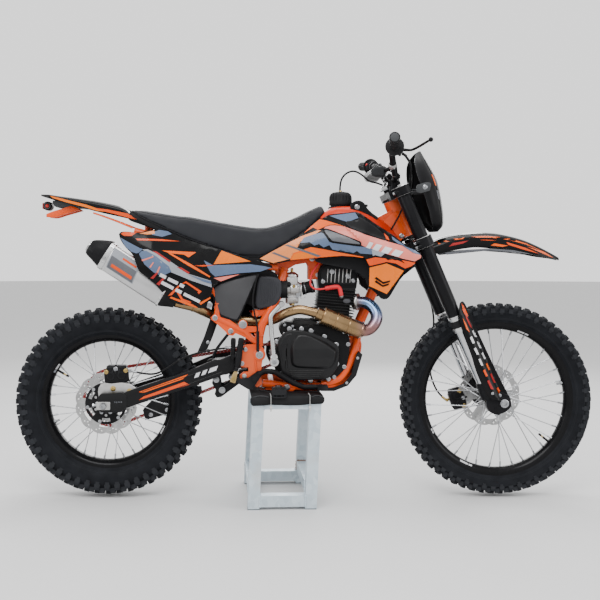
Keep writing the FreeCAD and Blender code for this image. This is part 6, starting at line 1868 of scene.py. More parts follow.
# front lug with its bolt and the black edge strip on the tank
p = Piece("tank_front_lug")
lug = smooth([Vector(q) for q in pic([(350, 206), (353, 202), (359, 200.5), (364, 203), (367, 208), (372, 213), (378, 219), (370, 217), (360, 212), (353, 211)], -0.062)], 3)
for s in (-1, 1):
    g = lambda x, z: 0.064 + 0 * np.asarray(x)
    p.add(panel(lug, g, 0.006, 0.0, 0.010, s, 0.001), SATIN_BLACK)
    bx, bz = pic([(357, 207)], -0.064)[0]
    p.add(hexbolt((bx, s * 0.064, bz), (0, s, 0), 0.0062, 0.006), ZINC)
(x1, z1), = pic([(360, 203)], -0.06)
p.add(prism(rounded([(x1 - 0.03, -0.060), (x1 + 0.03, -0.052), (x1 + 0.03, 0.052), (x1 - 0.03, 0.060)], 0.01), z1 - 0.012, z1 - 0.004, "XY", ch=0.002, steps=2), SATIN_BLACK)
for s in (-1, 1):
    path = [(q[0], s * 0.058, q[1]) for q in pic([(336, 209.5), (345, 211), (352, 212)], -0.058)]
    p.add(pipe(path, 0.0022, 8), SATIN_BLACK)
p.done("chassis", "black_plastic", sharp=45)

# ---- rear fender with stripes
fr = [(-0.942, 0.044, 1.083, 1.0895), (-0.915, 0.056, 1.074, 1.0888), (-0.884, 0.061, 1.067, 1.084), (-0.811, 0.067, 1.046, 1.074), (-0.739, 0.073, 1.028, 1.063), (-0.666, 0.079, 1.012, 1.048),
      (-0.630, 0.083, 1.003, 1.032), (-0.612, 0.085, 0.990, 1.012), (-0.560, 0.091, 0.972, 0.990), (-0.505, 0.095, 0.950, 0.966)]


def fender_rows(rows, sub=5):
    R = [np.array(r, float) for r in rows]
    out = []
    for i in range(len(R) - 1):
        p0, p1, p2, p3 = R[max(i - 1, 0)], R[i], R[i + 1], R[min(i + 2, len(R) - 1)]
        for k in range(sub):
            t = k / sub
            out.append(0.5 * (2 * p1 + (p2 - p0) * t + (2 * p0 - 5 * p1 + 4 * p2 - p3) * t * t + (3 * p1 - p0 - 3 * p2 + p3) * t ** 3))
    out.append(R[-1])
    return out


def channel_grid(rows, shape):
    """shape: (share of half width, share of height) from the near edge over the top to the far edge."""
    half = smooth([Vector(q) for q in shape], 3, closed=False)
    pts = [(-a, b) for a, b in half] + [(a, b) for a, b in reversed(half[:-1])]
    return [[(x, w * a, lo + (hi - lo) * b) for a, b in pts] for x, w, lo, hi in fender_rows(rows)]


p = Piece("rear_fender_shell")
shape_r = [(1.0, 0.0), (1.0, 0.45), (0.96, 0.80), (0.78, 0.95), (0.62, 1.0), (0.54, 0.93), (0.3, 0.95), (0.0, 0.97)]
p.add(sheet_solid([list(reversed(r)) for r in channel_grid(fr, shape_r)], 0.0032), GLOSS_BLACK)
p.done("chassis", "black_plastic", ("rear_fender",), sharp=50)
R_ = fender_rows(fr)
fx = np.array([r[0] for r in R_])
fwid = np.array([r[1] for r in R_])
rear_side = lambda x, z: np.interp(np.asarray(x), fx, fwid)
ART_TAIL = [
    ([(49, 195.4), (66, 199.6), (86, 204.6), (96, 208.0), (104.8, 211.8), (96, 210.6), (86, 207.4), (66, 202.2), (52, 197.8)], ORANGE_YELLOW),
    ([(94.5, 207.8), (108, 209.6), (128.3, 213.7), (138.5, 220.0), (131.2, 218.6), (112, 213.4), (100, 210.4)], ORANGE_DEEP),
]
p = Piece("rear_fender_graphics")
for s in (-1, 1):
    for k, (pts, m) in enumerate(ART_TAIL):
        p.add(panel(pic(pts, -0.07), rear_side, 0.0014, 0.0009 + 0.0001 * k, 0.012, s), m)
p.done("chassis", "orange_plastic", sharp=50)
# underside: orange bracket, tail light and grey tray
p = Piece("tail_light_bracket")
for s in (-1, 1):
    br = smooth([Vector(q) for q in pic([(46, 214), (46, 217), (54, 217.5), (64, 214.5), (80, 210), (76, 207.5), (70, 206), (62, 208.5), (52, 211.5)], -0.034)], 3, corners=(0, 1, 4))
    p.add(prism(br, s * 0.026 if s > 0 else -0.033, 0.033 if s > 0 else -0.026, ch=0.0012, steps=2), ORANGE_FRAME)
(xa, za), (xb, zb) = pic([(50, 215), (74, 209)], 0)
p.add(pipe([(xa, -0.027, za), (xa - 0.004, 0, za), (xa, 0.027, za)], 0.005, 10), ORANGE_FRAME)
p.add(block(((xa + xb) / 2, 0, (za + zb) / 2 - 0.001), (0.085, 0.054, 0.003), Matrix.Rotation(math.radians(-14), 3, "Y").to_3x3(), 0.001), ORANGE_FRAME)
lx, lz = pic([(48.5, 206.2)], 0)[0]
p.add(lathe([(0.0, -0.020), (0.012, -0.020), (0.0165, -0.016), (0.0165, 0.016), (0.012, 0.020), (0.0, 0.020)], (lx, 0, lz), (0, 1, 0), 32), SATIN_BLACK)
for s in (-1, 1):
    p.add(lathe([(0.0065, 0.0198), (0.0065, 0.0215), (0.004, 0.0235), (0, 0.024)], (lx, 0, lz), (0, s, 0), 20), AMBER)
    p.add(torus((lx, s * 0.020, lz), (0, 1, 0), 0.0105, 0.0016, 32, 8), GREY_PLASTIC)
p.add(block((lx - 0.016, 0, lz), (0.006, 0.034, 0.022), None, 0.002), AMBER)
tray = smooth([Vector(q) for q in pic([(53, 200.5), (72, 203), (92, 206), (96, 209), (80, 208), (60, 207.5), (54, 206)], -0.03)], 3)
p.add(prism(tray, -0.031, 0.031, ch=0.002, steps=2), GREY_PLASTIC)
p.done("chassis", "orange_plastic", ("tail_light",), sharp=40)
# thin orange support struts between the fender and the side panels
p = Piece("fender_support")
for s in (-1, 1):
    pts = [(q[0], s * y, q[1]) for q, y in zip(pic([(92, 212.5), (112, 219), (133, 228)], -0.09), (0.066, 0.084, 0.110))]
    p.add(pipe(pts, 0.0032, 8), ORANGE_FRAME)
p.done("chassis", "frame_orange", sharp=45)

# ------------------------------------------------------------------ seat and bar pad
seat_top = pic([(130, 211), (133, 209.3), (140, 210), (150, 211.7), (160, 213.4), (170, 215), (180, 216.4), (190, 217), (200, 219), (210, 220.8), (220, 222.6), (230, 224.4), (240, 226), (250, 227.3), (258, 228),
                (266, 227.6), (273, 226.2), (280, 224), (290, 220), (300, 215.5), (310, 210), (316, 206.5), (320, 204.4), (322.6, 204.2), (325.2, 207), (326, 212.5)], -0.05)
seat_bot = pic([(131, 211.5), (136, 216), (145, 221), (160, 227.8), (170, 232.5), (180, 237), (190, 241), (200, 244.5), (215, 250), (230, 254.5), (240, 257.5), (250, 259.8), (257, 260.2), (265, 257.5), (273, 253),
                (280, 248.8), (290, 242.5), (300, 236), (310, 229), (318, 222), (322, 217.5), (325, 214.5)], -0.10)
sx = np.linspace(-0.628, 0.0795, 72)
ztop = np.interp(sx, [q[0] for q in seat_top], [q[1] for q in seat_top])
zbot = np.maximum(0.860, np.interp(sx, [q[0] for q in seat_bot], [q[1] for q in seat_bot]))
wx = [-0.64, -0.60, -0.53, -0.447, -0.375, -0.302, -0.227, -0.168, -0.11, -0.047, 0.02, 0.062, 0.085]
wb = np.interp(sx, wx, [0.074, 0.094, 0.106, 0.111, 0.110, 0.106, 0.101, 0.097, 0.091, 0.082, 0.068, 0.052, 0.040])
wt = np.interp(sx, wx, [0.066, 0.082, 0.089, 0.090, 0.087, 0.082, 0.076, 0.071, 0.065, 0.056, 0.044, 0.034, 0.028])


def seat_ring(w1, z1, w2, z2, puff=0.0):
    hgt = z2 - z1
    half = smooth([Vector(q) for q in ((0, z1 + 0.002), (w1 * 0.85, z1 + 0.001), (w1, z1 + min(0.004, hgt * 0.2)), ((w1 * 0.45 + w2 * 0.55) + 0.004 + puff, z1 + hgt * 0.55),
                                       (w2 + 0.001, z2 - min(0.012, hgt * 0.25)), (w2 * 0.82, z2 - min(0.003, hgt * 0.1)), (w2 * 0.4, z2 + 0.0), (0, z2 + 0.001))], 4, closed=False, corners=(1, 2))
    return half + [(-y, z) for y, z in reversed(half[1:-1])]


def seat_shell(shrink=0.0):
    v, rings = [], []
    for i, x in enumerate(sx):
        hgt = max(0.006, ztop[i] - zbot[i])
        pts = seat_ring(wb[i] - shrink, zbot[i] + shrink * 0.3, wt[i] - shrink, zbot[i] + hgt - shrink)
        ids = []
        for y, z in pts:
            ids.append(len(v))
            v.append((x, y, z))
        rings.append(ids)
    f = []
    m = len(rings[0])
    for a, b in zip(rings, rings[1:]):
        for k in range(m):
            k2 = (k + 1) % m
            f.append((a[k], a[k2], b[k2], b[k]))
    f.append(tuple(reversed(rings[0])))
    f.append(tuple(rings[-1]))
    return v, f


def cloth_puff(vf, name, voxel, cap, pressure, pin=None):
    """Inflates a closed form a little with cloth, capped, and returns its mesh."""
    me = bpy.data.meshes.new(name)
    me.from_pydata(vf[0], [], vf[1])
    bm = bmesh.new()
    bm.from_mesh(me)
    bmesh.ops.recalc_face_normals(bm, faces=bm.faces[:])
    bm.to_mesh(me)
    bm.free()
    ob = bpy.data.objects.new(name, me)
    bpy.context.scene.collection.objects.link(ob)
    rm = ob.modifiers.new("remesh", "REMESH")
    rm.mode = "VOXEL"
    rm.voxel_size = voxel
    dg = bpy.context.evaluated_depsgraph_get()
    base = bpy.data.meshes.new_from_object(ob.evaluated_get(dg))
    ob.modifiers.clear()
    ob.data = base
    rest = np.array([v.co[:] for v in base.vertices])
    cl = ob.modifiers.new("cloth", "CLOTH")
    st = cl.settings
    st.use_pressure = True
    st.uniform_pressure_force = pressure
    st.quality = 4
    st.mass = 0.2
    st.tension_stiffness = 18
    st.compression_stiffness = 18
    st.bending_stiffness = 0.6
    st.effector_weights.gravity = 0
    if pin is not None:
        vg = ob.vertex_groups.new(name="hold")
        for i, q in enumerate(rest):
            w = pin(q)
            if w > 0:
                vg.add([i], w, "REPLACE")
        st.vertex_group_mass = "hold"
    sc = bpy.context.scene
    for fr_ in range(1, 17):
        sc.frame_set(fr_)
    dg = bpy.context.evaluated_depsgraph_get()
    out = bpy.data.meshes.new_from_object(ob.evaluated_get(dg))
    new = np.array([v.co[:] for v in out.vertices])
    d = new - rest
    ln = np.linalg.norm(d, axis=1)
    k = np.where(ln > cap, cap / np.maximum(ln, 1e-9), 1.0)
    new = rest + d * k[:, None]
    sc.frame_set(1)
    bpy.data.objects.remove(ob)
    out.vertices.foreach_set("co", new.astype(np.float32).ravel())
    out.update()
    return out


seat_lo, seat_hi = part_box("seat")


def seat_object():
    shell = seat_shell(0.0035)
    me = cloth_puff(shell, "seat_cushion_sim", 0.0065, 0.005, 3.0,
                    pin=lambda q: 1.0 if q[2] < np.interp(q[0], sx, zbot) + 0.006 else 0.0)
    me.name = "seat_cushion"
    return me


me = seat_object()
me.materials.clear()
me.materials.append(VINYL)
me.materials.append(VINYL_SIDE)
zb_of = lambda x: np.interp(x, sx, zbot)
zt_of = lambda x: np.interp(x, sx, ztop)
for pl in me.polygons:
    c = pl.center
    low = zb_of(c.x) + 0.012
    pl.material_index = 1 if c.z < low and abs(c.y) > 0.02 else 0
me.shade_smooth()
seat = bpy.data.objects.new("seat_cushion", me)
bpy.context.scene.collection.objects.link(seat)
sm = seat.modifiers.new("even", "SMOOTH")
sm.factor = 0.5
sm.iterations = 6
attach(seat, "chassis")
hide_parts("seat")

# black base under the cushion
p = Piece("seat_base")
for s in (-1, 1):
    grid = []
    for i in range(1, len(sx) - 1, 2):
        w_ = wb[i] - 0.004
        grid.append([(sx[i], s * (w_ - 0.030), zbot[i] - 0.010), (sx[i], s * (w_ + 0.001), zbot[i] - 0.012), (sx[i], s * (w_ + 0.003), zbot[i] - 0.006), (sx[i], s * (w_ + 0.002), zbot[i] + 0.006)])
    p.add(sheet_solid(grid, 0.003), MATTE_BLACK)
p.done("chassis", "black_plastic", sharp=50)

# welt along the seat's lower edge and a seam along its upper sides
p = Piece("seat_welts")
for s in (-1, 1):
    path = []
    for i in range(2, len(sx) - 2, 3):
        path.append((sx[i], s * (wb[i] - 0.001), zbot[i] + 0.0055))
    p.add(sweep(path, 0.0022, 8), VINYL_SIDE)
    path = []
    for i in range(3, len(sx) - 3, 3):
        hgt = ztop[i] - zbot[i]
        path.append((sx[i], s * (wt[i] * 0.985 + 0.0012), ztop[i] - min(0.0085, hgt * 0.22)))
    p.add(sweep(path, 0.0010, 6), VINYL_SIDE)
p.done("chassis", "seat_vinyl", sharp=60)

# ---- bar pad: an eight-sided foam block in a vinyl cover
pad_out = [(0.235, 1.158), (0.242, 1.147), (0.282, 1.147), (0.291, 1.158), (0.291, 1.174), (0.282, 1.185), (0.245, 1.185), (0.235, 1.174)]
ring_ = rounded(pad_out, 0.006, 3)


def pad_shell(shrink):
    cx_, cz_ = 0.263, 1.166
    v, rings = [], []
    ys = [-0.099, -0.0975, -0.093, -0.085] + list(np.linspace(-0.07, 0.07, 15)) + [0.085, 0.093, 0.0975, 0.099]
    for y in ys:
        e = (0.099 - abs(y)) / 0.008
        k = 1.0 if e >= 1 else 0.80 + 0.20 * math.sqrt(max(0, 1 - (1 - e) ** 2))
        k -= shrink / 0.03
        ids = []
        for a, b in ring_:
            ids.append(len(v))
            v.append((cx_ + (a - cx_) * k, y * (1 - shrink / 0.1), cz_ + (b - cz_) * k))
        rings.append(ids)
    f = []
    m = len(rings[0])
    for a, b in zip(rings, rings[1:]):
        for k in range(m):
            k2 = (k + 1) % m
            f.append((a[k], a[k2], b[k2], b[k]))
    f.append(tuple(reversed(rings[0])))
    f.append(tuple(rings[-1]))
    return v, f


me = cloth_puff(pad_shell(0.0016), "bar_pad_sim", 0.0035, 0.0022, 3.0)
me.name = "bar_pad_cover"
me.materials.clear()
me.materials.append(PAD_VINYL)
me.shade_smooth()
bp_ = bpy.data.objects.new("bar_pad_cover", me)
bpy.context.scene.collection.objects.link(bp_)
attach(bp_, "steering")
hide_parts("bar_pad")
p = Piece("bar_pad_seams")
for s in (-1, 1):
    loop = [((0.263 + (a - 0.263) * 0.99), s * 0.0925, (1.166 + (b - 1.166) * 0.99)) for a, b in ring_]
    p.add(sweep(loop + loop[:2], 0.0011, 6), PAD_VINYL)
p.done("steering", "seat_vinyl", sharp=60)

# ------------------------------------------------------------------ fork, clamps, guards
RAKE = 0.42
LEG_Y = 0.105
UN = math.hypot(1, RAKE)
UP = Vector((-RAKE, 0, 1)) / UN


def leg_x(z):
    return 0.4726 + (0.7825 - z) * RAKE


def leg_pt(z, y=LEG_Y):
    return (leg_x(z), y, z)


def leg_lathe(rows, s, seg=48):
    """(radius, z) rows turned about a fork leg's centre line."""
    return lathe([(r, (z - 0.65) * UN) for r, z in rows], leg_pt(0.65, s * LEG_Y), tuple(UP), seg)


band1 = at(455, 318.5, -LEG_Y)[1]
band2 = at(457, 328.5, -LEG_Y)[1]
for name, s in (("fork_leg_right", -1), ("fork_leg_left", 1)):
    p = Piece(name + "_tubes")
    p.add(leg_lathe([(0, 1.104), (0.0235, 1.104), (0.0245, 1.102), (0.0245, 0.905), (0.0250, 0.895), (0.0250, 0.700), (0.0238, 0.690),
                     (0.0238, band1 + 0.008), (0.0, band1 + 0.008)], s), FORK_BLACK)
    p.add(leg_lathe([(0, band1 + 0.009), (0.0248, band1 + 0.009), (0.0252, band1 + 0.007), (0.0252, band1 - 0.004), (0.0240, band1 - 0.006), (0, band1 - 0.006)], s), ALU_BRIGHT)
    p.add(leg_lathe([(0, band1), (0.0225, band1), (0.0225, band2), (0, band2)], s), RUBBER)
    p.add(leg_lathe([(0, band2 + 0.006), (0.0246, band2 + 0.006), (0.0250, band2 + 0.004), (0.0250, band2 - 0.006), (0.0225, band2 - 0.010), (0, band2 - 0.010)], s), ALU_BRIGHT)
    p.add(leg_lathe([(0, band2), (0.0203, band2), (0.0203, 0.398), (0, 0.398)], s), CHROME)
    p.add(leg_lathe([(0, 1.103), (0.0215, 1.103), (0.0225, 1.106), (0.0225, 1.1115), (0.020, 1.1135), (0.012, 1.1135), (0.0, 1.1135)], s), ALU_BRIGHT)
    p.add(leg_lathe([(0, 1.1125), (0.0085, 1.1125), (0.0085, 1.1175), (0.0065, 1.1185), (0, 1.1185)], s, 6), ALU)
    for k in range(8):
        a = 2 * PI * k / 8
        ax_ = Vector((0, 1, 0)) * math.cos(a) + UP.cross(Vector((0, 1, 0))) * math.sin(a)
        c = Vector(leg_pt(1.1135, s * LEG_Y)) + ax_ * 0.0155
        p.add(cyl(tuple(c), tuple(c + UP * 0.0012), 0.0016, seg=8), DARK_GREY)
    # foot: clamp collar, web and axle boss
    p.add(leg_lathe([(0, 0.425), (0.0228, 0.425), (0.0242, 0.421), (0.0242, 0.402), (0.0262, 0.397), (0.0262, 0.370), (0.0, 0.370)], s), FORK_BLACK)
    foot = smooth([Vector(q) for q in ((leg_x(.40) - .023, .406), (leg_x(.40) + .003, .418), (leg_x(.40) + .025, .402), (.711, .382), (.7205, .362), (.7205, .341), (.708, .326),
                                       (.690, .316), (.668, .3125), (.650, .319), (.637, .336), (.634, .362), (.6305, .384))], 3)
    ya, yb = sorted((s * 0.0885, s * 0.1215))
    p.add(prism(foot, ya, yb, ch=0.005, steps=3), FORK_BLACK)
    yo = s * 0.1215
    p.add(lathe([(0.0115, 0.0), (0.0205, 0.0), (0.0215, 0.0012), (0.0215, 0.0022), (0.0195, 0.0034), (0.0115, 0.0034)], (0.696, yo - s * 0.0015, 0.352), (0, s, 0), 48, True), FORK_BLACK)
    for (fx_, fz_) in ((0.655, 0.338), (0.664, 0.322)):
        p.add(cyl((fx_ + 0.012, s * 0.094, fz_ - 0.006), (fx_ + 0.012, s * 0.1225, fz_ - 0.006), 0.0052, seg=20), FORK_BLACK)
    for yy in (0.096, 0.113):
        c = Vector((0.6745, s * yy, 0.3145))
        p.add(hexbolt(tuple(c), (-0.25, 0, -1), 0.0048, 0.005, socket=True), ZINC)
    p.add(block((0.6235 + 0.045, s * 0.1222, 0.372), (0.030, 0.0022, 0.012), Matrix.Rotation(math.radians(66), 3, "Y"), 0.0008), FORK_BLACK)
    p.done("steering", "black_paint", (name,), sharp=38)

# ---- clamps
paint("triple_clamps", FORK_BLACK)
p = Piece("clamp_details")
for zc, m in ((1.096, ALU), (0.915, ALU)):
    for s in (-1, 1):
        h = 0.0155 if zc > 1 else 0.0175
        for hh in (-1, 1):
            c = Vector(leg_pt(zc, s * LEG_Y)) + UP * h * hh
            p.add(lathe([(0.0252, 0.0), (0.0325, 0.0), (0.0333, 0.0007), (0.0325, 0.0016), (0.0252, 0.0016)], tuple(c - UP * 0.0008), tuple(UP), 40, True), m)
        for hh in ((-0.45, 0.45) if zc < 1 else (0.0,)):
            c = Vector(leg_pt(zc, s * 0.128)) + UP * h * hh + Vector((-0.030, 0, -0.012))
            p.add(hexbolt(tuple(c), (-0.9, 0, -0.38), 0.0048, 0.006, socket=True), ZINC)
            p.add(cyl(tuple(c), tuple(c + Vector((0.024, 0, 0.010))), 0.0072, seg=20), FORK_BLACK)
c = Vector((leg_x(1.118) - 0.031, 0, 1.118))
p.add(lathe([(0, 0), (0.0185, 0.0), (0.0185, 0.010), (0.016, 0.012), (0, 0.012)], tuple(c - UP * 0.006), tuple(UP), 6), ALU_BRIGHT)
p.add(lathe([(0, -0.004), (0.024, -0.004), (0.024, 0.0), (0, 0.0)], tuple(c - UP * 0.006), tuple(UP), 40), ZINC)
# bearing rings above and below the head tube
for z in (1.0745, 0.934):
    c = Vector((leg_x(z) - 0.031, 0, z))
    p.add(lathe([(0.015, -0.0045), (0.0315, -0.0045), (0.0322, -0.002), (0.0322, 0.002), (0.0315, 0.0045), (0.015, 0.0045)], tuple(c), tuple(UP), 56, True), SATIN_BLACK)
    for h_ in (-0.0050, 0.0050):
        p.add(torus(tuple(c + UP * h_), tuple(UP), 0.0312, 0.0007, 56, 6), ZINC)
# bar clamps
for s in (-1, 1):
    for dx, dz, m in ((0.0, -0.0135, FORK_BLACK), (0.0, 0.0125, FORK_BLACK)):
        p.add(block((0.322 + dx, s * 0.040, 1.140 + dz), (0.046, 0.026, 0.0185), None, 0.004), m)
    for bx in (-0.0165, 0.0165):
        for by in (-0.007, 0.007):
            p.add(hexbolt((0.322 + bx, s * 0.040 + by, 1.1605), (0, 0, 1), 0.0034, 0.0035, washer=False, socket=True), ZINC)
p.done("steering", "black_paint", sharp=38)


def guard_f(x, z):
    d = (np.asarray(x) - (0.4726 + (0.7825 - np.asarray(z)) * RAKE) - 0.008) / UN
    return 0.104 + np.sqrt(np.maximum(0.0001, 0.0335 ** 2 - np.minimum(np.abs(d), 0.032) ** 2))


g_px = [(463, 301.5), (467, 305), (478, 329), (490, 355), (501, 378), (511, 398), (513.5, 408), (508, 407), (500, 401), (492, 399.5), (487, 395), (476.3, 372), (470, 351), (463, 331), (459.5, 320), (459.5, 308)]
guard_out = smooth([Vector(q) for q in pic(g_px, -0.135)], 3, corners=(6, 9))
ART_GUARD = [
    ([(462.6, 303.5), (465.2, 306), (470, 316.5), (467.0, 317.5), (463.2, 311)], ORANGE_DEEP),
    ([(465.8, 313), (470.5, 322), (473.5, 329), (470.6, 327), (466.4, 318.5)], DARKRED),
    ([(462.4, 318), (466, 324), (469.6, 332.5), (466.2, 329)], ORANGE),
    ([(475, 330.5), (478.6, 337.6), (475.6, 337.0), (472.6, 331.4)], WHITE),
    ([(471.6, 336), (474.8, 343), (472.6, 343.6), (469.6, 337.6)], WHITE),
    ([(479.6, 341.5), (483.0, 348.6), (480.6, 348.6), (477.4, 342.2)], WHITE),
    ([(475.6, 347.5), (478.8, 354.4), (476.6, 354.6), (473.6, 348.6)], WHITE),
    ([(484.2, 352.5), (487.4, 359.4), (485.0, 359.6), (482.2, 353.6)], WHITE),
    ([(480, 358.5), (483.0, 365.4), (481.0, 365.6), (478.2, 359.4)], WHITE),
    ([(488.4, 363.5), (491.6, 370.4), (489.4, 370.6), (486.4, 364.4)], ORANGE),
    ([(484.6, 369.5), (487.6, 376.0), (485.6, 376.4), (482.8, 370.4)], ORANGE_DEEP),
    ([(492.6, 374.0), (497.4, 383.6), (494.4, 383.2), (490.6, 375.0)], DARKRED),
    ([(488.6, 380.0), (493.4, 389.4), (490.6, 389.0), (486.8, 381.0)], DARKRED),
    ([(499.6, 388.0), (503.6, 395.6), (500.6, 394.8), (497.6, 389.0)], ORANGE_DEEP),
]
p = Piece("fork_guard_shells")
for s in (-1, 1):
    p.add(panel(guard_out, guard_f, 0.0032, 0.0, 0.007, s, 0.0006), GLOSS_BLACK)
    for (bx, bz) in pic([(500.5, 396), (492, 393.5)], -0.135):
        p.add(hexbolt((bx, s * (float(guard_f(bx, bz)) - 0.0015), bz), (0, s, 0), 0.0046, 0.0035, socket=True), ZINC)
p.done("steering", "black_plastic", ("fork_guards",), sharp=50)
p = Piece("fork_guard_graphics")
for s in (-1, 1):
    for k, (pts, m) in enumerate(ART_GUARD):
        lift = 0.0005 + 0.0001 * k
        p.add(panel(pic(pts, -0.135), guard_f, lift + 0.0004, lift, 0.007, s), m)
p.done("steering", "orange_plastic", sharp=50)

# ---- handlebar, grips, controls
paint("handlebar", SATIN_BLACK)
p = Piece("handlebar_details")
for s in (-1, 1):
    p.add(lathe([(0.0112, 0), (0.0145, 0), (0.0150, 0.001), (0.0150, 0.015), (0.0145, 0.016), (0.0112, 0.016)], (0.3035, s * 0.146 - 0.008 * s, 1.1835 - 0.005), (-0.25, s * 0.82, 0.55), 32, True), ALU)
    a_, b_ = Vector((0.3155, s * 0.105, 1.153)), Vector((0.303, s * 0.155, 1.190))
    p.add(cyl(tuple(a_), tuple(a_ + (b_ - a_) * 0.02), 0.0113, seg=24), ALU)
p.done("steering", "black_paint", sharp=40)


def bar_pt(y, s):
    t = (y - 0.290) / (0.405 - 0.290)
    return Vector((0.285 - 0.019 * t, y * s, 1.227 + 0.013 * t))


p = Piece("grip_rubber")
for s in (-1, 1):
    a, b = bar_pt(0.290, s), bar_pt(0.4045, s)
    ax_ = (b - a).normalized()
    L_ = (b - a).length
    rows = [(0.0110, -0.006), (0.0295, -0.006), (0.0310, -0.0045), (0.0310, -0.0015), (0.0290, 0.0), (0.0190, 0.002)]
    h = 0.006
    while h < L_ - 0.010:
        rows += [(0.0163, h), (0.0163, h + 0.0016), (0.0175, h + 0.0022), (0.0175, h + 0.0040)]
        h += 0.0046
    rows += [(0.0178, L_ - 0.008), (0.0178, L_ - 0.002), (0.0164, L_), (0.0110, L_)]
    p.add(lathe(rows, tuple(a), tuple(ax_), 40, True), RUBBER)
    p.add(lathe([(0, L_ - 0.003), (0.0140, L_ - 0.003), (0.0140, L_ + 0.0003), (0.0120, L_ + 0.0013), (0, L_ + 0.0013)], tuple(a), tuple(ax_), 32), GREY_PLASTIC)
p.done("steering", "rubber", ("grips",), sharp=30)


def tapered(points, radii, seg=16, flat=1.0):
    """A closed bar along points whose radius follows radii."""
    P = [Vector(q) for q in smooth([Vector(q) for q in points], 6, closed=False)]
    n = len(P)
    rr = np.interp(np.linspace(0, 1, n), np.linspace(0, 1, len(radii)), radii)
    v, rings = [], []
    for i, q in enumerate(P):
        t = (P[min(i + 1, n - 1)] - P[max(i - 1, 0)]).normalized()
        side_ = t.cross(Vector((0, 0, 1))).normalized()
        upv = side_.cross(t).normalized()
        ids = []
        for k in range(seg):
            a = 2 * PI * k / seg
            ids.append(len(v))
            v.append(tuple(q + side_ * math.cos(a) * rr[i] + upv * math.sin(a) * rr[i] * flat))
        rings.append(ids)
    f = [tuple(reversed(rings[0])), tuple(rings[-1])]
    for a, b in zip(rings, rings[1:]):
        for k in range(seg):
            k2 = (k + 1) % seg
            f.append((a[k], a[k2], b[k2], b[k]))
    return v, f


p = Piece("hand_control_parts")
for s in (-1, 1):
    # clamp round the bar and the lever's pivot block
    c = Vector((0.2915, s * 0.235, 1.2215))
    ax_ = (bar_pt(0.290, s) - Vector((0.291, 0.190 * s, 1.216))).normalized()
    p.add(lathe([(0.0113, -0.011), (0.0175, -0.011), (0.0185, -0.010), (0.0185, 0.010), (0.0175, 0.011), (0.0113, 0.011)], tuple(c), tuple(ax_), 32, True), SATIN_BLACK)
    p.add(block((0.3065, s * 0.236, 1.221), (0.026, 0.036, 0.020), None, 0.004), SATIN_BLACK)
    for zz in (-0.006, 0.006):
        p.add(hexbolt((0.3195, s * 0.229, 1.221 + zz), (1, 0, 0), 0.0030, 0.003, washer=False, socket=True), ZINC)
    p.add(hexbolt((0.3165, s * 0.247, 1.2315), (0, 0, 1), 0.0048, 0.004), ZINC)
    # lever blade with a ball end
    pts = [(0.311, s * 0.238, 1.222), (0.326, s * 0.252, 1.220), (0.344, s * 0.268, 1.2175), (0.361, s * 0.300, 1.2235), (0.372, s * 0.345, 1.2290), (0.3815, s * 0.390, 1.2335)]
    p.add(tapered(pts, [0.0075, 0.0085, 0.0065, 0.0062, 0.0060, 0.0052], 16, 0.62), SATIN_BLACK)
    p.add(ballv((0.3825, s * 0.3925, 1.2338), 0.0078, 20, 12), SATIN_BLACK)
    # switch housing beside the grip
    q = bar_pt(0.272, s)
    p.add(lathe([(0.0113, -0.010), (0.0190, -0.010), (0.0205, -0.008), (0.0205, 0.008), (0.0190, 0.010), (0.0113, 0.010)], tuple(q), tuple(ax_), 36, True), MATTE_BLACK)
    p.add(block(tuple(q + Vector((0.004, 0, 0.018))), (0.018, 0.016, 0.009), None, 0.002), MATTE_BLACK)
    if s > 0:
        p.add(lathe([(0, 0), (0.0052, 0), (0.0052, 0.004), (0.004, 0.0052), (0, 0.0052)], tuple(q + Vector((-0.0195, -0.002, 0.006))), (-1, 0, 0.3), 20), RED_PLASTIC)
        p.add(block(tuple(q + Vector((-0.018, 0.000, -0.002))), (0.010, 0.016, 0.022), None, 0.002), MATTE_BLACK)
    else:
        p.add(lathe([(0, 0), (0.0045, 0), (0.0045, 0.003), (0.003, 0.004), (0, 0.004)], tuple(q + Vector((-0.0195, 0.0, 0.004))), (-1, 0, 0.2), 20), GREY_PLASTIC)
        p.add(cyl(tuple(q + Vector((0.012, 0.004, -0.012))), tuple(q + Vector((0.022, 0.030, -0.020))), 0.0055, seg=20), MATTE_BLACK)
# brake master cylinder with its reservoir, right side
p.add(cyl((0.3105, -0.200, 1.2215), (0.3105, -0.262, 1.2215), 0.0105, seg=28), SATIN_BLACK)
p.add(block((0.3095, -0.226, 1.2355), (0.026, 0.046, 0.018), None, 0.004), SATIN_BLACK)
p.add(block((0.3095, -0.226, 1.2455), (0.029, 0.050, 0.0035), None, 0.0014), ALU)
for yy in (-0.2075, -0.2445):
    p.add(hexbolt((0.3095, yy, 1.2470), (0, 0, 1), 0.0026, 0.0014, washer=False, socket=True), ZINC)
p.add(lathe([(0, -0.006), (0.0070, -0.006), (0.0070, 0.002), (0, 0.002)], (0.323, -0.206, 1.2195), (0.9, 0.35, 0), 6), ZINC)
# clutch perch with its adjuster, left side
p.add(cyl((0.3105, 0.214, 1.2155), (0.3195, 0.219, 1.2125), 0.0062, seg=20), ALU)
p.add(lathe([(0.0030, -0.004), (0.0082, -0.004), (0.0082, 0.004), (0.0030, 0.004)], (0.3215, 0.2165, 1.2125), (0.8, 0.5, -0.2), 18, True), ALU)
p.done("steering", "black_plastic", ("hand_controls",), sharp=38)

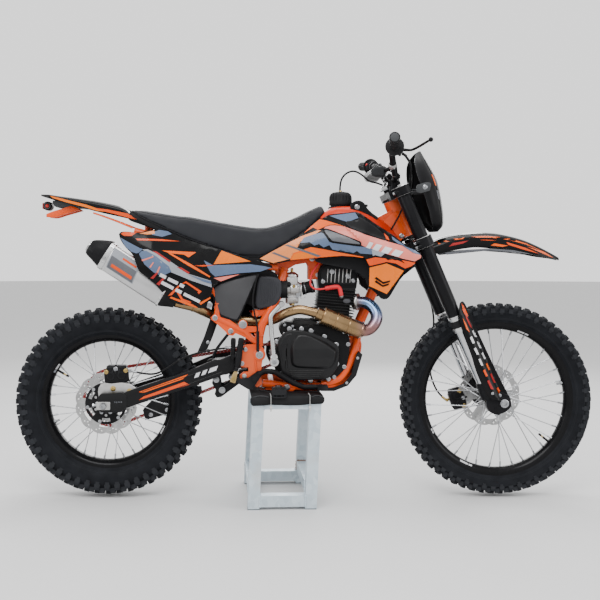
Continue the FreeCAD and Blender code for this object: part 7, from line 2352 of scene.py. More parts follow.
# ---- front fender
ff = [(0.452, 0.060, 0.874, 0.913), (0.482, 0.0635, 0.876, 0.930), (0.520, 0.0645, 0.884, 0.942), (0.566, 0.0640, 0.893, 0.949), (0.633, 0.0620, 0.900, 0.9535), (0.680, 0.060, 0.898, 0.9520), (0.722, 0.0575, 0.893, 0.9465),
      (0.790, 0.050, 0.880, 0.9295), (0.847, 0.040, 0.8665, 0.9055), (0.900, 0.0245, 0.8585, 0.878), (0.926, 0.0125, 0.852, 0.8635)]
shape_f = [(1.0, 0.0), (1.0, 0.38), (0.93, 0.68), (0.70, 0.88), (0.46, 0.945), (0.36, 0.925), (0.16, 0.985), (0.0, 1.0)]
p = Piece("front_fender_shell")
p.add(sheet_solid([list(reversed(r)) for r in channel_grid(ff, shape_f)], 0.0030), GLOSS_BLACK)
for yy in (-0.034, 0.034):
    for xx in (0.502, 0.560):
        z_ = float(np.interp(xx, [r[0] for r in ff], [r[3] for r in ff])) - 0.005
        p.add(hexbolt((xx, yy, z_ - 0.002), (0, 0, 1), 0.006, 0.003, socket=True), ZINC)
p.done("steering", "black_plastic", ("front_fender",), sharp=50)
F_ = fender_rows(ff)
gx = np.array([r[0] for r in F_])
gw, gl, gh = (np.array([r[k] for r in F_]) for k in (1, 2, 3))
hh_, ww_ = np.array([0.0, 0.38, 0.68, 0.88, 0.945]), np.array([1.0, 1.0, 0.93, 0.70, 0.46])


def fender_side(x, z):
    x, z = np.asarray(x, float), np.asarray(z, float)
    lo, hi = np.interp(x, gx, gl), np.interp(x, gx, gh)
    t = np.clip((z - lo) / np.maximum(hi - lo, 1e-6), 0, 0.945)
    return np.interp(x, gx, gw) * np.interp(t, hh_, ww_)


FENDER_ART_AND_HIGHLIGHT = [
    ([(437, 241.6), (452, 238.4), (470, 235.8), (488, 235.0), (506, 237.2), (527, 243.6), (545, 251.4), (556, 257.4), (553, 256.8), (540, 251.6), (524, 245.2), (506, 239.6), (488, 237.2), (470, 238.2), (452, 241.2), (438.5, 245)], ORANGE),
    ([(470, 239.4), (486, 238.4), (500, 240.4), (488, 240.6)], ORANGE_DEEP),
    ([(506, 242.0), (526, 247.8), (540, 253.6), (524, 249.6), (508, 244.8)], ORANGE_DEEP),
    ([(452, 243.2), (468, 240.6), (462, 243.6), (448, 246.6)], DARKRED),
    # a painted highlight line along the fender's lower flank, in mid grey
    ([(444, 252.8), (466, 249.6), (490, 248.4), (514, 250.2), (534, 254.6), (514, 252.2), (490, 250.4), (466, 251.4), (446, 254.8)], MIDGREY),
    ([(494, 243.4), (508, 245.6), (502, 246.8), (490, 245.4)], ORANGE),
]
p = Piece("front_fender_graphics_and_highlight")
for s in (-1, 1):
    for k, (pts, m) in enumerate(FENDER_ART_AND_HIGHLIGHT):
        lift = 0.0006 + 0.0001 * k
        p.add(panel(pic(pts, -0.055), fender_side, lift + 0.0004, lift, 0.008, s), m)
p.done("steering", "orange_plastic", sharp=50)

# ---- number plate shell
plate_rows = [(1.2485, .427, .420, .006), (1.236, .433, .404, .032), (1.205, .448, .391, .076), (1.150, .477, .396, .106), (1.100, .491, .414, .108), (1.035, .502, .436, .100), (.995, .505, .449, .084), (.975, .504, .456, .068), (.956, .489, .464, .036)]


def plate_grid(u0=0.0, u1=1.0, v0=-1.0, v1=1.0, nu=40, nv=41, off=0.0):
    R = np.array(plate_rows)
    t = np.linspace(0, len(R) - 1, len(R))
    out = []
    for u in np.linspace(u0, u1, nu):
        q = u * (len(R) - 1)
        i = min(int(q), len(R) - 2)
        p0, p1, p2, p3 = R[max(i - 1, 0)], R[i], R[i + 1], R[min(i + 2, len(R) - 1)]
        w = q - i
        z, fr_, re_, wd = 0.5 * (2 * p1 + (p2 - p0) * w + (2 * p0 - 5 * p1 + 4 * p2 - p3) * w * w + (3 * p1 - p0 - 3 * p2 + p3) * w ** 3)
        row = []
        for v in np.linspace(v0, v1, nv):
            a = PI * v / 2
            row.append((re_ + (fr_ + off - re_) * max(0.0, math.cos(a)) ** 0.8, (wd + off) * math.sin(a), z))
        out.append(row)
    return out


p = Piece("number_plate_shell")
p.add(sheet_solid(plate_grid(), 0.0034), SATIN_BLACK)
p.add(sheet_solid(plate_grid(0.22, 0.80, -0.52, 0.52, 30, 25, 0.0016), 0.0014), GLOSS_BLACK)
for s in (-1, 1):
    a0, a1 = sorted((s * 0.50, s * 0.57))
    p.add(sheet_solid(plate_grid(0.36, 0.46, a0, a1, 8, 5, 0.0012), 0.0010), ORANGE)
    a0, a1 = sorted((s * 0.52, s * 0.58))
    p.add(sheet_solid(plate_grid(0.50, 0.56, a0, a1, 6, 5, 0.0012), 0.0010), MIDGREY)
(bx, bz), = pic([(425, 187)], -0.03)
p.add(block((0.420, 0, 1.101), (0.130, 0.018, 0.016), None, 0.003), GREY_PLASTIC)
p.add(block((0.362, 0, 1.101), (0.018, 0.118, 0.016), None, 0.003), GREY_PLASTIC)
for s in (-1, 1):
    (gx0, gz0), (gx1, gz1) = pic([(415.5, 193.5), (431, 182)], -0.108)
    gb = rounded([(gx0, gz0 + 0.006), (gx0 + 0.016, gz0), (gx1 - 0.004, gz0 + 0.010), (gx1, gz1 - 0.004), (gx1 - 0.016, gz1), (gx0 + 0.004, gz1 - 0.010)], 0.006, 3)
    y0, y1 = sorted((s * 0.1085, s * 0.1120))
    p.add(prism(gb, y0, y1, ch=0.0010, steps=2), GREY_PLASTIC)
    (hx, hz), = pic([(425, 187)], -0.112)
    p.add(hexbolt((hx, s * 0.1118, hz), (0, s, 0), 0.0058, 0.0045), ZINC)
    p.add(block(((gx0 + gx1) / 2 - 0.010, s * 0.098, (gz0 + gz1) / 2), (0.022, 0.024, 0.014), None, 0.003), GREY_PLASTIC)
    p.add(pipe([(bx - 0.015, s * 0.040, bz - 0.012), (0.385, s * 0.048, 1.104), (0.364, s * 0.052, 1.101)], 0.004, 10), GREY_PLASTIC)
p.done("steering", "black_plastic", ("number_plate",), sharp=45)


# ---- brake calipers
def caliper(p, c, rot, s, width=0.078, height=0.052, thick=0.040, mtl=None):
    """Two-piston caliper body; c is its centre, rot turns it in X and Z (degrees), s its outer side."""
    R = Matrix.Rotation(math.radians(rot), 3, "Y")
    C = Vector(c)
    out = rounded([(-width / 2, -height / 2 + 0.006), (-width * 0.28, -height / 2), (width * 0.28, -height / 2), (width / 2, -height / 2 + 0.006),
                   (width / 2, height * 0.30), (width * 0.36, height / 2), (-width * 0.36, height / 2), (-width / 2, height * 0.30)], 0.007, 4)
    t = lambda q: (R @ Vector((q[0], 0, q[1]))) + C
    o2 = [((t(q)).x, (t(q)).z) for q in out]
    ya, yb = sorted((c[1] - s * thick * 0.5, c[1] + s * thick * 0.5))
    p.add(prism(o2, ya, yb, ch=0.005, steps=3), mtl or SATIN_BLACK)
    yo = c[1] + s * thick * 0.5
    for dx in (-width * 0.22, width * 0.22):
        q = t((dx, -0.002))
        p.add(lathe([(0, -0.001), (0.0125, -0.001), (0.0135, 0.0005), (0.0125, 0.0022), (0.0095, 0.0024), (0.0085, 0.0012), (0, 0.0012)], (q.x, yo, q.z), (0, s, 0), 32), mtl or SATIN_BLACK)
    for dx, dz, m in ((-width * 0.40, height * 0.22, BRASS), (width * 0.40, height * 0.22, BRASS), (0, height * 0.36, ZINC)):
        q = t((dx, dz))
        p.add(hexbolt((q.x, yo - s * 0.001, q.z), (0, s, 0), 0.0052, 0.005, socket=True), m)
    for dx in (-0.012, 0.0, 0.012):
        q0, q1 = t((dx - 0.003, height * 0.10)), t((dx + 0.003, height * 0.34))
        p.add(cyl((q0.x, yo + s * 0.0006, q0.z), (q1.x, yo + s * 0.0006, q1.z), 0.0018, seg=8), mtl or SATIN_BLACK)
    q = t((0, height * 0.46))
    p.add(lathe([(0.0028, 0), (0.0042, 0), (0.0042, 0.006), (0.0028, 0.009), (0.0, 0.009), (0, 0.0)], (q.x, c[1] + s * 0.006, q.z), tuple(R @ Vector((0, 0, 1))), 12), RUBBER)


p = Piece("front_caliper")
caliper(p, (0.580, 0.0870, 0.338), 72, 1, 0.082, 0.056, 0.023)
p.add(block((0.5570, 0.0760, 0.3390), (0.018, 0.034, 0.044), Matrix.Rotation(math.radians(-18), 3, "Y"), 0.0065), SATIN_BLACK)
caliper(p, (0.580, 0.0605, 0.338), 72, -1, 0.070, 0.050, 0.0105)
brk = smooth([Vector(q) for q in ((0.592, 0.374), (0.616, 0.380), (0.640, 0.366), (0.640, 0.336), (0.628, 0.318), (0.606, 0.312), (0.598, 0.330))], 3)
p.add(prism(brk, 0.0835, 0.0935, ch=0.0015, steps=2), ALU)
for bx, bz in ((0.618, 0.366), (0.622, 0.330)):
    p.add(hexbolt((bx, 0.0930, bz), (0, 1, 0), 0.0065, 0.005), BRASS)
    p.add(hexbolt((bx, 0.0840, bz), (0, -1, 0), 0.0055, 0.003), ZINC)
p.add(lathe([(0, -0.004), (0.0072, -0.004), (0.0072, 0.004), (0, 0.004)], (0.5445, 0.0925, 0.330), (0, 1, 0), 6), BRASS)
p.done("steering", "black_paint", ("front_brake",), sharp=40)

# ------------------------------------------------------------------ swingarm
arm_px = [(117.5, 398.5), (121, 394.4), (137, 388), (162, 379.6), (188, 371), (200, 366), (215, 360), (222, 359), (236, 352.5), (250, 346.6), (258, 345.2), (264.5, 348.6), (266.8, 354.5),
          (264, 360.4), (256, 363), (244, 367), (228, 373), (210, 380), (190, 387), (164, 395.8), (138, 404), (125, 408.6), (119, 408.2)]
arm = px_out(arm_px, -0.126)
arm_x0 = min(q[0] for q in arm)


def clip_x(out, lo=None, hi=None):
    """Part of an outline between two X values."""
    pts = [tuple(q)[:2] for q in out]
    for lim, keep in ((lo, lambda x, l: x >= l), (hi, lambda x, l: x <= l)):
        if lim is None:
            continue
        res = []
        n = len(pts)
        for i in range(n):
            a, b = pts[i], pts[(i + 1) % n]
            ka, kb = keep(a[0], lim), keep(b[0], lim)
            if ka:
                res.append(a)
            if ka != kb:
                t = (lim - a[0]) / (b[0] - a[0])
                res.append((lim, a[1] + (b[1] - a[1]) * t))
        pts = res
    return pts


def line2(pts, n=6):
    out = []
    for a, b in zip(pts, pts[1:]):
        for k in range(n):
            out.append((a[0] + (b[0] - a[0]) * k / n, a[1] + (b[1] - a[1]) * k / n))
    return out + [tuple(pts[-1])]


p = Piece("swingarm_arms")
for s in (-1, 1):
    y0, y1 = sorted((s * 0.1005, s * 0.1258))
    p.add(prism(clip_x(arm, hi=-0.239), y0, y1, ch=0.0040, steps=3), BLACK_ARM)
    y0, y1 = sorted((s * 0.0912, s * 0.1075))
    lug = [(-0.262, 0.459), (-0.190, 0.487), (-0.160, 0.502), (-0.144, 0.512), (-0.141, 0.524), (-0.145, 0.535), (-0.158, 0.542), (-0.190, 0.545), (-0.262, 0.519)]
    p.add(prism(rounded(lug, 0.006, 3), y0, y1, ch=0.0025, steps=2), BLACK_ARM)
    # axle blocks, slot and chain adjusters
    blk = rounded(pic([(99.6, 394.2), (121.5, 392.4), (126.4, 396), (126.4, 408), (121, 412.4), (100, 412.6), (97.8, 408), (97.8, 398)], -0.127), 0.006, 3)
    y0, y1 = sorted((s * 0.1020, s * 0.1275))
    p.add(prism(blk, y0, y1, ch=0.0025, steps=2), BLACK_ARM)
    inner = rounded([(-0.728, 0.330), (-0.680, 0.330), (-0.680, 0.358), (-0.728, 0.358)], 0.004, 3)
    y0, y1 = sorted((s * 0.1265, s * 0.1300))
    p.add(prism(inner, y0, y1, ch=0.0010, steps=1), ALU)
    p.add(cyl((-0.741, s * 0.114, 0.344), (-0.726, s * 0.114, 0.344), 0.0045, seg=16), ZINC)
    p.add(lathe([(0, 0), (0.0072, 0), (0.0072, 0.005), (0, 0.005)], (-0.7435, s * 0.114, 0.344), (1, 0, 0), 6), ZINC)
    for k in range(5):
        p.add(block((-0.664 + k * 0.006, s * 0.1277, 0.3575), (0.0009, 0.0008, 0.005), None, 0.0002), LIGHTGREY)
    # recess edge along the arm
    for pts_ in ([(142, 391.6), (190, 375.2), (214, 366.4)], [(142, 400.0), (190, 383.6), (222, 372.0)]):
        q = pic(pts_, -0.1262)
        p.add(sweep([(x, s * 0.1258, z) for x, z in line2(q)], 0.0013, 6), BLACK_ARM)
# cross tube and gussets
p.add(prism(rounded([(-0.342, 0.437), (-0.272, 0.456), (-0.264, 0.497), (-0.333, 0.488)], 0.010, 4), -0.101, 0.101, ch=0.003, steps=2), BLACK_ARM)
for s in (-1, 1):
    y0, y1 = sorted((s * 0.070, s * 0.101))
    p.add(prism(rounded([(-0.362, 0.436), (-0.262, 0.452), (-0.250, 0.492), (-0.352, 0.484)], 0.012, 4), y0, y1, ch=0.004, steps=2), BLACK_ARM)
    for k in range(18):
        t = k / 17
        p.add(ballv((-0.342 + 0.070 * t, s * 0.0695, 0.4375 + 0.019 * t), 0.0026, 8, 5), BLACK_ARM)
p.done("chassis", "black_paint", ("swingarm",), sharp=40)

p = Piece("swingarm_stripes")
ART_ARM = [
    ([(138.5, 392.0), (188, 374.2), (182.6, 379.2), (144, 392.6)], ORANGE),
    ([(139, 400.0), (143.6, 396.4), (184, 381.8), (189.4, 384.6)], ORANGE_DEEP),
    # plain slanted bars
    ([(196, 373.4), (200.4, 371.8), (198.4, 376.6), (194, 378.2)], WHITE),
    ([(203, 370.9), (207.4, 369.3), (205.4, 374.1), (201, 375.7)], WHITE),
    ([(210, 368.4), (218, 365.6), (216, 370.4), (208, 373.2)], WHITE),
]
for s in (-1, 1):
    for k, (pts, m) in enumerate(ART_ARM):
        g = lambda x, z, o=0.1258: o + 0 * np.asarray(x, float)
        p.add(panel(pic(pts, -0.126), g, 0.0008, 0.0005, 0.02, s), m)
p.done("chassis", "orange_plastic", sharp=50)

# rubber chain slider on the left arm, guide and its bolts
paint("chain_guide", MATTE_BLACK)
p = Piece("chain_slider")
sl = [(-0.300, 0.503), (-0.196, 0.545), (-0.176, 0.546), (-0.166, 0.536), (-0.180, 0.534), (-0.196, 0.5365), (-0.300, 0.4955)]
p.add(prism(rounded(sl, 0.003, 3), 0.1120, 0.1245, ch=0.001, steps=1), RUBBER)
for bx, bz in ((-0.480, 0.376), (-0.500, 0.300), (-0.560, 0.282)):
    p.add(hexbolt((bx, 0.0980, bz), (0, 1, 0), 0.0055, 0.0045), ZINC)
    p.add(hexbolt((bx, 0.0480, bz), (0, -1, 0), 0.0055, 0.003), ZINC)
p.done("chassis", "rubber", sharp=40)

# ---- rear brake: two halves over the disc, bracket, master cylinder and clevis
p = Piece("rear_caliper")
caliper(p, (-0.664, -0.0875, 0.4475), -4, -1, 0.086, 0.060, 0.021)
p.add(block((-0.664, -0.0775, 0.4730), (0.070, 0.040, 0.016), None, 0.004), SATIN_BLACK)
p.add(block((-0.664, -0.0600, 0.4530), (0.066, 0.008, 0.046), None, 0.003), SATIN_BLACK)
brk = px_out([(101, 384), (112, 383.4), (124, 382.6), (135, 387.4), (137.2, 392.8), (133, 396.6), (126, 397.8), (116, 397.0), (106, 398.6), (98.6, 396)], -0.093)
p.add(prism(brk, -0.0975, -0.0900, ch=0.0014, steps=2), ALU)
for px, py in ((129.5, 391.2), (113, 388.6)):
    (bx, bz), = pic([(px, py)], -0.097)
    p.add(hexbolt((bx, -0.0970, bz), (0, -1, 0), 0.0068, 0.005), BRASS)
p.add(lathe([(0, -0.004), (0.0072, -0.004), (0.0072, 0.004), (0, 0.004)], (-0.6150, -0.0945, 0.4620), (0, -1, 0), 6), ZINC)
# master cylinder, its boot, push rod and the clevis on the pedal's arm
ma, mb = Vector((-0.236, -0.140, 0.484)), Vector((-0.222, -0.140, 0.582))
mu = (mb - ma).normalized()
p.add(lathe([(0, 0.0), (0.0090, 0.0), (0.0112, 0.004), (0.0112, 0.050), (0.0098, 0.054), (0.0108, 0.058), (0.0108, 0.074), (0.0094, 0.078), (0.0104, 0.082), (0.0104, 0.094), (0.0085, 0.099), (0, 0.099)], tuple(ma), tuple(mu), 36), SATIN_BLACK)
# reservoir beside it, with its cap and clamp bands
p.add(lathe([(0, 0.0), (0.0062, 0.0), (0.0084, 0.005), (0.0084, 0.050), (0.0090, 0.052), (0.0090, 0.070), (0.0070, 0.0755), (0, 0.0755)], (-0.2520, -0.1390, 0.5065), (0.026, 0, 1), 32), GLOSS_BLACK)
for h_ in (0.014, 0.040):
    p.add(torus((-0.2516, -0.1390, 0.5065 + h_), (0.026, 0, 1), 0.0085, 0.0009, 32, 6), MATTE_BLACK)
p.add(block((-0.2410, -0.1390, 0.5210), (0.018, 0.011, 0.016), None, 0.003), SATIN_BLACK)
for q_ in (ma + mu * 0.030, ma + mu * 0.064):
    p.add(block(tuple(q_ + Vector((0.002, 0.010, 0))), (0.020, 0.010, 0.013), None, 0.003), SATIN_BLACK)
# ribbed boot, push rod and the gold clevis that leans forward
pu = (ma - Vector((-0.2505, -0.140, 0.438))).normalized()
p.add(lathe([(0, -0.020), (0.0058, -0.020), (0.0078, -0.016), (0.0062, -0.012), (0.0084, -0.008), (0.0066, -0.004), (0.0088, 0.001), (0, 0.001)], tuple(ma), tuple(pu), 28), RUBBER)
pc = Vector((-0.2500, -0.140, 0.4380))
p.add(cyl(tuple(pc + pu * 0.018), tuple(ma - pu * 0.016), 0.0030, seg=14), ZINC)
for s in (-1, 1):
    arm_ = rounded([(-0.0105, -0.010), (0.0105, -0.010), (0.0085, 0.014), (0.0075, 0.030), (-0.0060, 0.030), (-0.0085, 0.012)], 0.005, 3)
    ux = Vector((pu.z, 0, -pu.x))
    p.add(prism(arm_, -0.0016, 0.0016, ch=0.0005, axes=(ux, pu, Vector((0, 1, 0))), origin=tuple(pc + Vector((0, s * 0.0066, 0)))), GOLD)
p.add(block(tuple(pc + pu * 0.0265), (0.014, 0.016, 0.006), None, 0.0015), GOLD)
p.add(lathe([(0, 0), (0.0050, 0), (0.0050, 0.004), (0, 0.004)], tuple(pc + pu * 0.010 + Vector((0, -0.0080, 0))), (0, -1, 0), 20), BRASS)
p.add(cyl(tuple(pc + Vector((0, -0.0100, 0))), tuple(pc + Vector((0, 0.0100, 0))), 0.0036, seg=16), BRASS)
p.add(torus(tuple(pc + Vector((0, -0.0096, 0))), (0, 1, 0), 0.0052, 0.0012, 24, 6), BRASS)
p.done("chassis", "black_paint", ("rear_brake",), sharp=40)

# ---- shock absorber
SA, SB = Vector((-0.172, 0, 0.664)), Vector((-0.216, 0, 0.446))
SD = (SB - SA)
su = SD.normalized()
SL = SD.length
p = Piece("shock_parts")
p.add(lathe([(0, -0.012), (0.0120, -0.012), (0.0150, -0.006), (0.0165, 0.004), (0.0185, 0.014), (0.0195, 0.030), (0, 0.030)], tuple(SA), tuple(su), 40), ALU)
p.add(lathe([(0, -0.019), (0.0140, -0.019), (0.0140, 0.019), (0, 0.019)], tuple(SA), (0, 1, 0), 32), ALU)
p.add(lathe([(0, -0.003), (0.0245, -0.003), (0.0250, -0.001), (0.0250, 0.003), (0.0235, 0.005), (0, 0.005)], tuple(SA), tuple(su), 36), RED_PLASTIC)
p.add(lathe([(0, 0.026), (0.0300, 0.026), (0.0305, 0.028), (0.0305, 0.036), (0.0280, 0.038), (0, 0.038)], tuple(SA), tuple(su), 18), RED_PLASTIC)
p.add(lathe([(0, 0.020), (0.0275, 0.020), (0.0275, 0.0255), (0, 0.0255)], tuple(SA), tuple(su), 18), BRASS)
p.add(lathe([(0, 0.036), (0.0185, 0.036), (0.0185, 0.110), (0.0172, 0.112), (0.0172, 0.128), (0, 0.128)], tuple(SA), tuple(su), 40), SATIN_BLACK)
p.add(lathe([(0, 0.110), (0.0072, 0.110), (0.0072, SL - 0.02), (0, SL - 0.02)], tuple(SA), tuple(su), 28), CHROME)
p.add(lathe([(0, SL - 0.052), (0.0150, SL - 0.052), (0.0300, SL - 0.048), (0.0305, SL - 0.046), (0.0305, SL - 0.041), (0.0180, SL - 0.037), (0.0155, SL - 0.020), (0, SL - 0.020)], tuple(SA), tuple(su), 44), SATIN_BLACK)
e1 = Vector((0, 1, 0))
e2 = su.cross(e1)
coil = []
N_ = 190
for k in range(N_ + 1):
    t = k / N_
    a = 2 * PI * 6.6 * t
    h = 0.040 + (SL - 0.052 - 0.044) * (t + 0.012 * math.sin(2 * PI * t))
    coil.append(tuple(SA + su * h + (e1 * math.cos(a) + e2 * math.sin(a)) * 0.0262))
p.add(sweep(coil, 0.0043, 10), SPRING)
p.add(block(tuple(SB + Vector((-0.001, 0, 0.000))), (0.036, 0.052, 0.022), Matrix.Rotation(math.radians(-11), 3, "Y"), 0.004), SATIN_BLACK)
p.done("chassis", "black_paint", ("shock_absorber",), sharp=40)

paint("suspension_linkage", MATTE_BLACK)
p = Piece("linkage_bolts")
for s in (-1, 1):
    for px, py, r in ((222, 390, 0.0100), (231.5, 376.5, 0.0070)):
        (bx, bz), = pic([(px, py)], -0.043)
        p.add(lathe([(0, 0), (r * 1.5, 0), (r * 1.6, 0.0010), (r * 1.6, 0.0022), (r * 1.45, 0.003), (0, 0.003)], (bx, s * 0.0425, bz), (0, s, 0), 32), MATTE_BLACK)
        p.add(hexbolt((bx, s * 0.0450, bz), (0, s, 0), r * 0.82, 0.006), ZINC)
    p.add(hexbolt((-0.314, s * 0.0425, 0.424), (0, s, 0), 0.0075, 0.005), ZINC)
p.done("chassis", "steel", sharp=40)

# black flap in front of the rear tyre, and a thin stay beside it
p = Piece("inner_flap")
band = [(-0.326, 0.706), (-0.319, 0.706), (-0.328, 0.640), (-0.350, 0.575), (-0.374, 0.523), (-0.382, 0.521), (-0.357, 0.578), (-0.335, 0.642)]
p.add(prism(band, -0.062, 0.062, ch=0.001, steps=1), SATIN_BLACK)
wing = smooth([Vector(q) for q in ((-0.326, 0.706), (-0.300, 0.704), (-0.309, 0.640), (-0.330, 0.575), (-0.352, 0.523), (-0.382, 0.521), (-0.357, 0.578), (-0.335, 0.642))], 3, corners=(0, 1, 4, 5))
for s in (-1, 1):
    y0, y1 = sorted((s * 0.060, s * 0.064))
    p.add(prism(wing, y0, y1, ch=0.0010, steps=1), SATIN_BLACK)
    p.add(hexbolt((-0.343, s * 0.0640, 0.560), (0, s, 0), 0.0042, 0.003), ZINC)
p.add(pipe([(-0.262, -0.0915, 0.601), (-0.276, -0.092, 0.584), (-0.300, -0.088, 0.554), (-0.317, -0.084, 0.528), (-0.322, -0.083, 0.506)], 0.0052, 14), SATIN_BLACK)
p.add(lathe([(0, -0.006), (0.0085, -0.006), (0.0085, 0.006), (0, 0.006)], (-0.262, -0.0915, 0.601), (0, 1, 0), 24), SATIN_BLACK)
p.done("chassis", "black_plastic", sharp=45)

# ---- chain: one fixed loop of links
ax_, az_, bx_, bz_ = -0.704, 0.344, -0.092, 0.512
ra, rb = 0.096 + 0.008, 0.027 + 0.008
dist = math.hypot(bx_ - ax_, bz_ - az_)
th = math.atan2(bz_ - az_, bx_ - ax_)
offa = math.acos((ra - rb) / dist)
loop = []
for k in range(161):
    a = th + offa + (2 * PI - 2 * offa) * k / 160
    loop.append((ax_ + ra * math.cos(a), az_ + ra * math.sin(a)))
for k in range(49):
    a = th - offa + 2 * offa * k / 48
    loop.append((bx_ + rb * math.cos(a), bz_ + rb * math.sin(a)))
loop.append(loop[0])
LP = np.array(loop)
seg_ = np.hypot(*(LP[1:] - LP[:-1]).T)
cum = np.concatenate([[0], np.cumsum(seg_)])
NL = int(round(cum[-1] / 0.0136 / 2)) * 2
ss = np.linspace(0, cum[-1], NL + 1)
PX, PZ = np.interp(ss, cum, LP[:, 0]), np.interp(ss, cum, LP[:, 1])


def link_plate(a, b, r, waist):
    d = np.array(b) - np.array(a)
    L0 = np.hypot(*d)
    u = d / L0
    n = np.array([-u[1], u[0]])
    pts = []
    for k in range(7):
        t = PI / 2 + PI * k / 6
        pts.append(np.array(a) + u * r * math.cos(t) + n * r * math.sin(t))
    pts.append(np.array(a) + u * L0 * 0.5 - n * waist)
    for k in range(7):
        t = -PI / 2 + PI * k / 6
        pts.append(np.array(b) + u * r * math.cos(t) + n * r * math.sin(t))
    pts.append(np.array(a) + u * L0 * 0.5 + n * waist)
    return [tuple(q) for q in pts]


p = Piece("chain_links")
CYM = 0.062
for k in range(NL):
    a, b = (PX[k], PZ[k]), (PX[k + 1], PZ[k + 1])
    o = link_plate(a, b, 0.0058, 0.0044)
    if k % 2:
        ys = ((-0.0062, -0.0048), (0.0048, 0.0062))
    else:
        ys = ((-0.0046, -0.0033), (0.0033, 0.0046))
    for y0, y1 in ys:
        p.add(prism(o, CYM + y0, CYM + y1), RED_CHAIN)
    p.add(cyl((a[0], CYM - 0.0034, a[1]), (a[0], CYM + 0.0034, a[1]), 0.0042, seg=12), STEEL)
    p.add(cyl((a[0], CYM - 0.0068, a[1]), (a[0], CYM + 0.0068, a[1]), 0.0019, seg=8), ZINC)
p.done("chassis", "chain_steel", ("chain",), sharp=40)

# ---- a plain plate with bars, wrapped on the muffler's flank
p = Piece("muffler_plate")
def can_patch(t0, t1, b0, b1, off, slant=0.0):
    rows_ = []
    for i in range(13):
        t = t0 + (t1 - t0) * i / 12
        hh_c = 0.0475 + 0.0025 * (t - 0.15) / 0.70
        cn_ = 0.005 + 0.005 * (t - 0.15) / 0.70
        row = []
        for j in range(11):
            b = b0 + (b1 - b0) * j / 10
            a = float(np.interp(b, [-1.0, -0.92, -0.30, 0.12, 0.86, 1.0], [0.40, 0.70, 1.0, 1.0, 0.80, 0.46]))
            row.append(tuple(MA + MD * (t + slant * b) + MN * (b * hh_c + cn_) + Vector((0, -a * 0.0420 - off, 0))))
        rows_.append(row)
    return rows_


for (t0, t1, b0, b1, m, o) in ((0.47, 0.785, -0.62, 0.84, LIGHTGREY, 0.0012), (0.48, 0.775, -0.58, 0.30, MIDGREY, 0.0017), (0.50, 0.74, -0.40, -0.18, ORANGE_DEEP, 0.0022), (0.50, 0.66, 0.46, 0.60, ORANGE_DEEP, 0.0020)):
    p.add(sheet_solid(can_patch(t0, t1, b0, b1, o, 0.02), 0.0012), m)
p.done("chassis", "exhaust_steel", sharp=40)

# ------------------------------------------------------------------ paddock stand and its pad
paint("paddock_stand", GALV)
STAND_ROT = Matrix.Rotation(math.radians(2.6), 3, "Z")
PIVOT_ = Vector((-0.091, 0, 0))


def st(q):
    """A point of the stand before it is turned, to its place."""
    return tuple(STAND_ROT @ (Vector(q) - PIVOT_) + PIVOT_)


def moved(vf):
    return [st(q) for q in vf[0]], vf[1]


def lean(z):
    return 0.018 * z / 0.381


p = Piece("stand_welds")


def bead(a, b, n, r=0.0034, m=None):
    a, b = Vector(a), Vector(b)
    for k in range(n):
        t = (k + 0.5) / n
        q = a.lerp(b, t)
        j = 0.0006 * math.sin(k * 2.3)
        p.add(moved(ballv((q.x + j, q.y, q.z + j), r * (1 + 0.12 * math.sin(k * 1.7)), 8, 5)), m or GALV)


for s in (-1, 1):
    for x0 in (-0.169, -0.013):
        z = 0.048
        bead((x0 + lean(z), s * 0.1905, z), (x0 + lean(z), s * 0.1905, 0.010), 9)
        z = 0.343
        bead((x0 + lean(z), s * 0.1905, z), (x0 + lean(z), s * 0.1905, z + 0.038), 9)
        # inside corners
        bead((x0 + lean(0.048), s * 0.152, 0.048), (x0 + lean(0.048), s * 0.188, 0.048), 9)
        bead((x0 + lean(0.343), s * 0.152, 0.343), (x0 + lean(0.343), s * 0.188, 0.343), 9)
    for x0 in (-0.209, -0.013):
        q = lean(0.060)
        for zz in (0.050, 0.088):
            bead((x0 + q + 0.002, s * 0.1495, zz), (x0 + q + 0.038, s * 0.1495, zz), 9, 0.0032, RUST_DARK if (x0 > -0.1 and s > 0) else GALV)
        for xx in (x0 + q, x0 + q + 0.040):
            bead((xx, s * 0.1495, 0.052), (xx, s * 0.1495, 0.086), 8, 0.0032, RUST_DARK if (x0 > -0.1 and s > 0) else GALV)
    # plugs in the feet
    for x0 in (-0.209, -0.013):
        p.add(moved(block((x0 + 0.020, s * 0.170, 0.0022), (0.0405, 0.0405, 0.0040), None, 0.001)), MATTE_BLACK)
p.done("chassis", "galvanised", sharp=60)

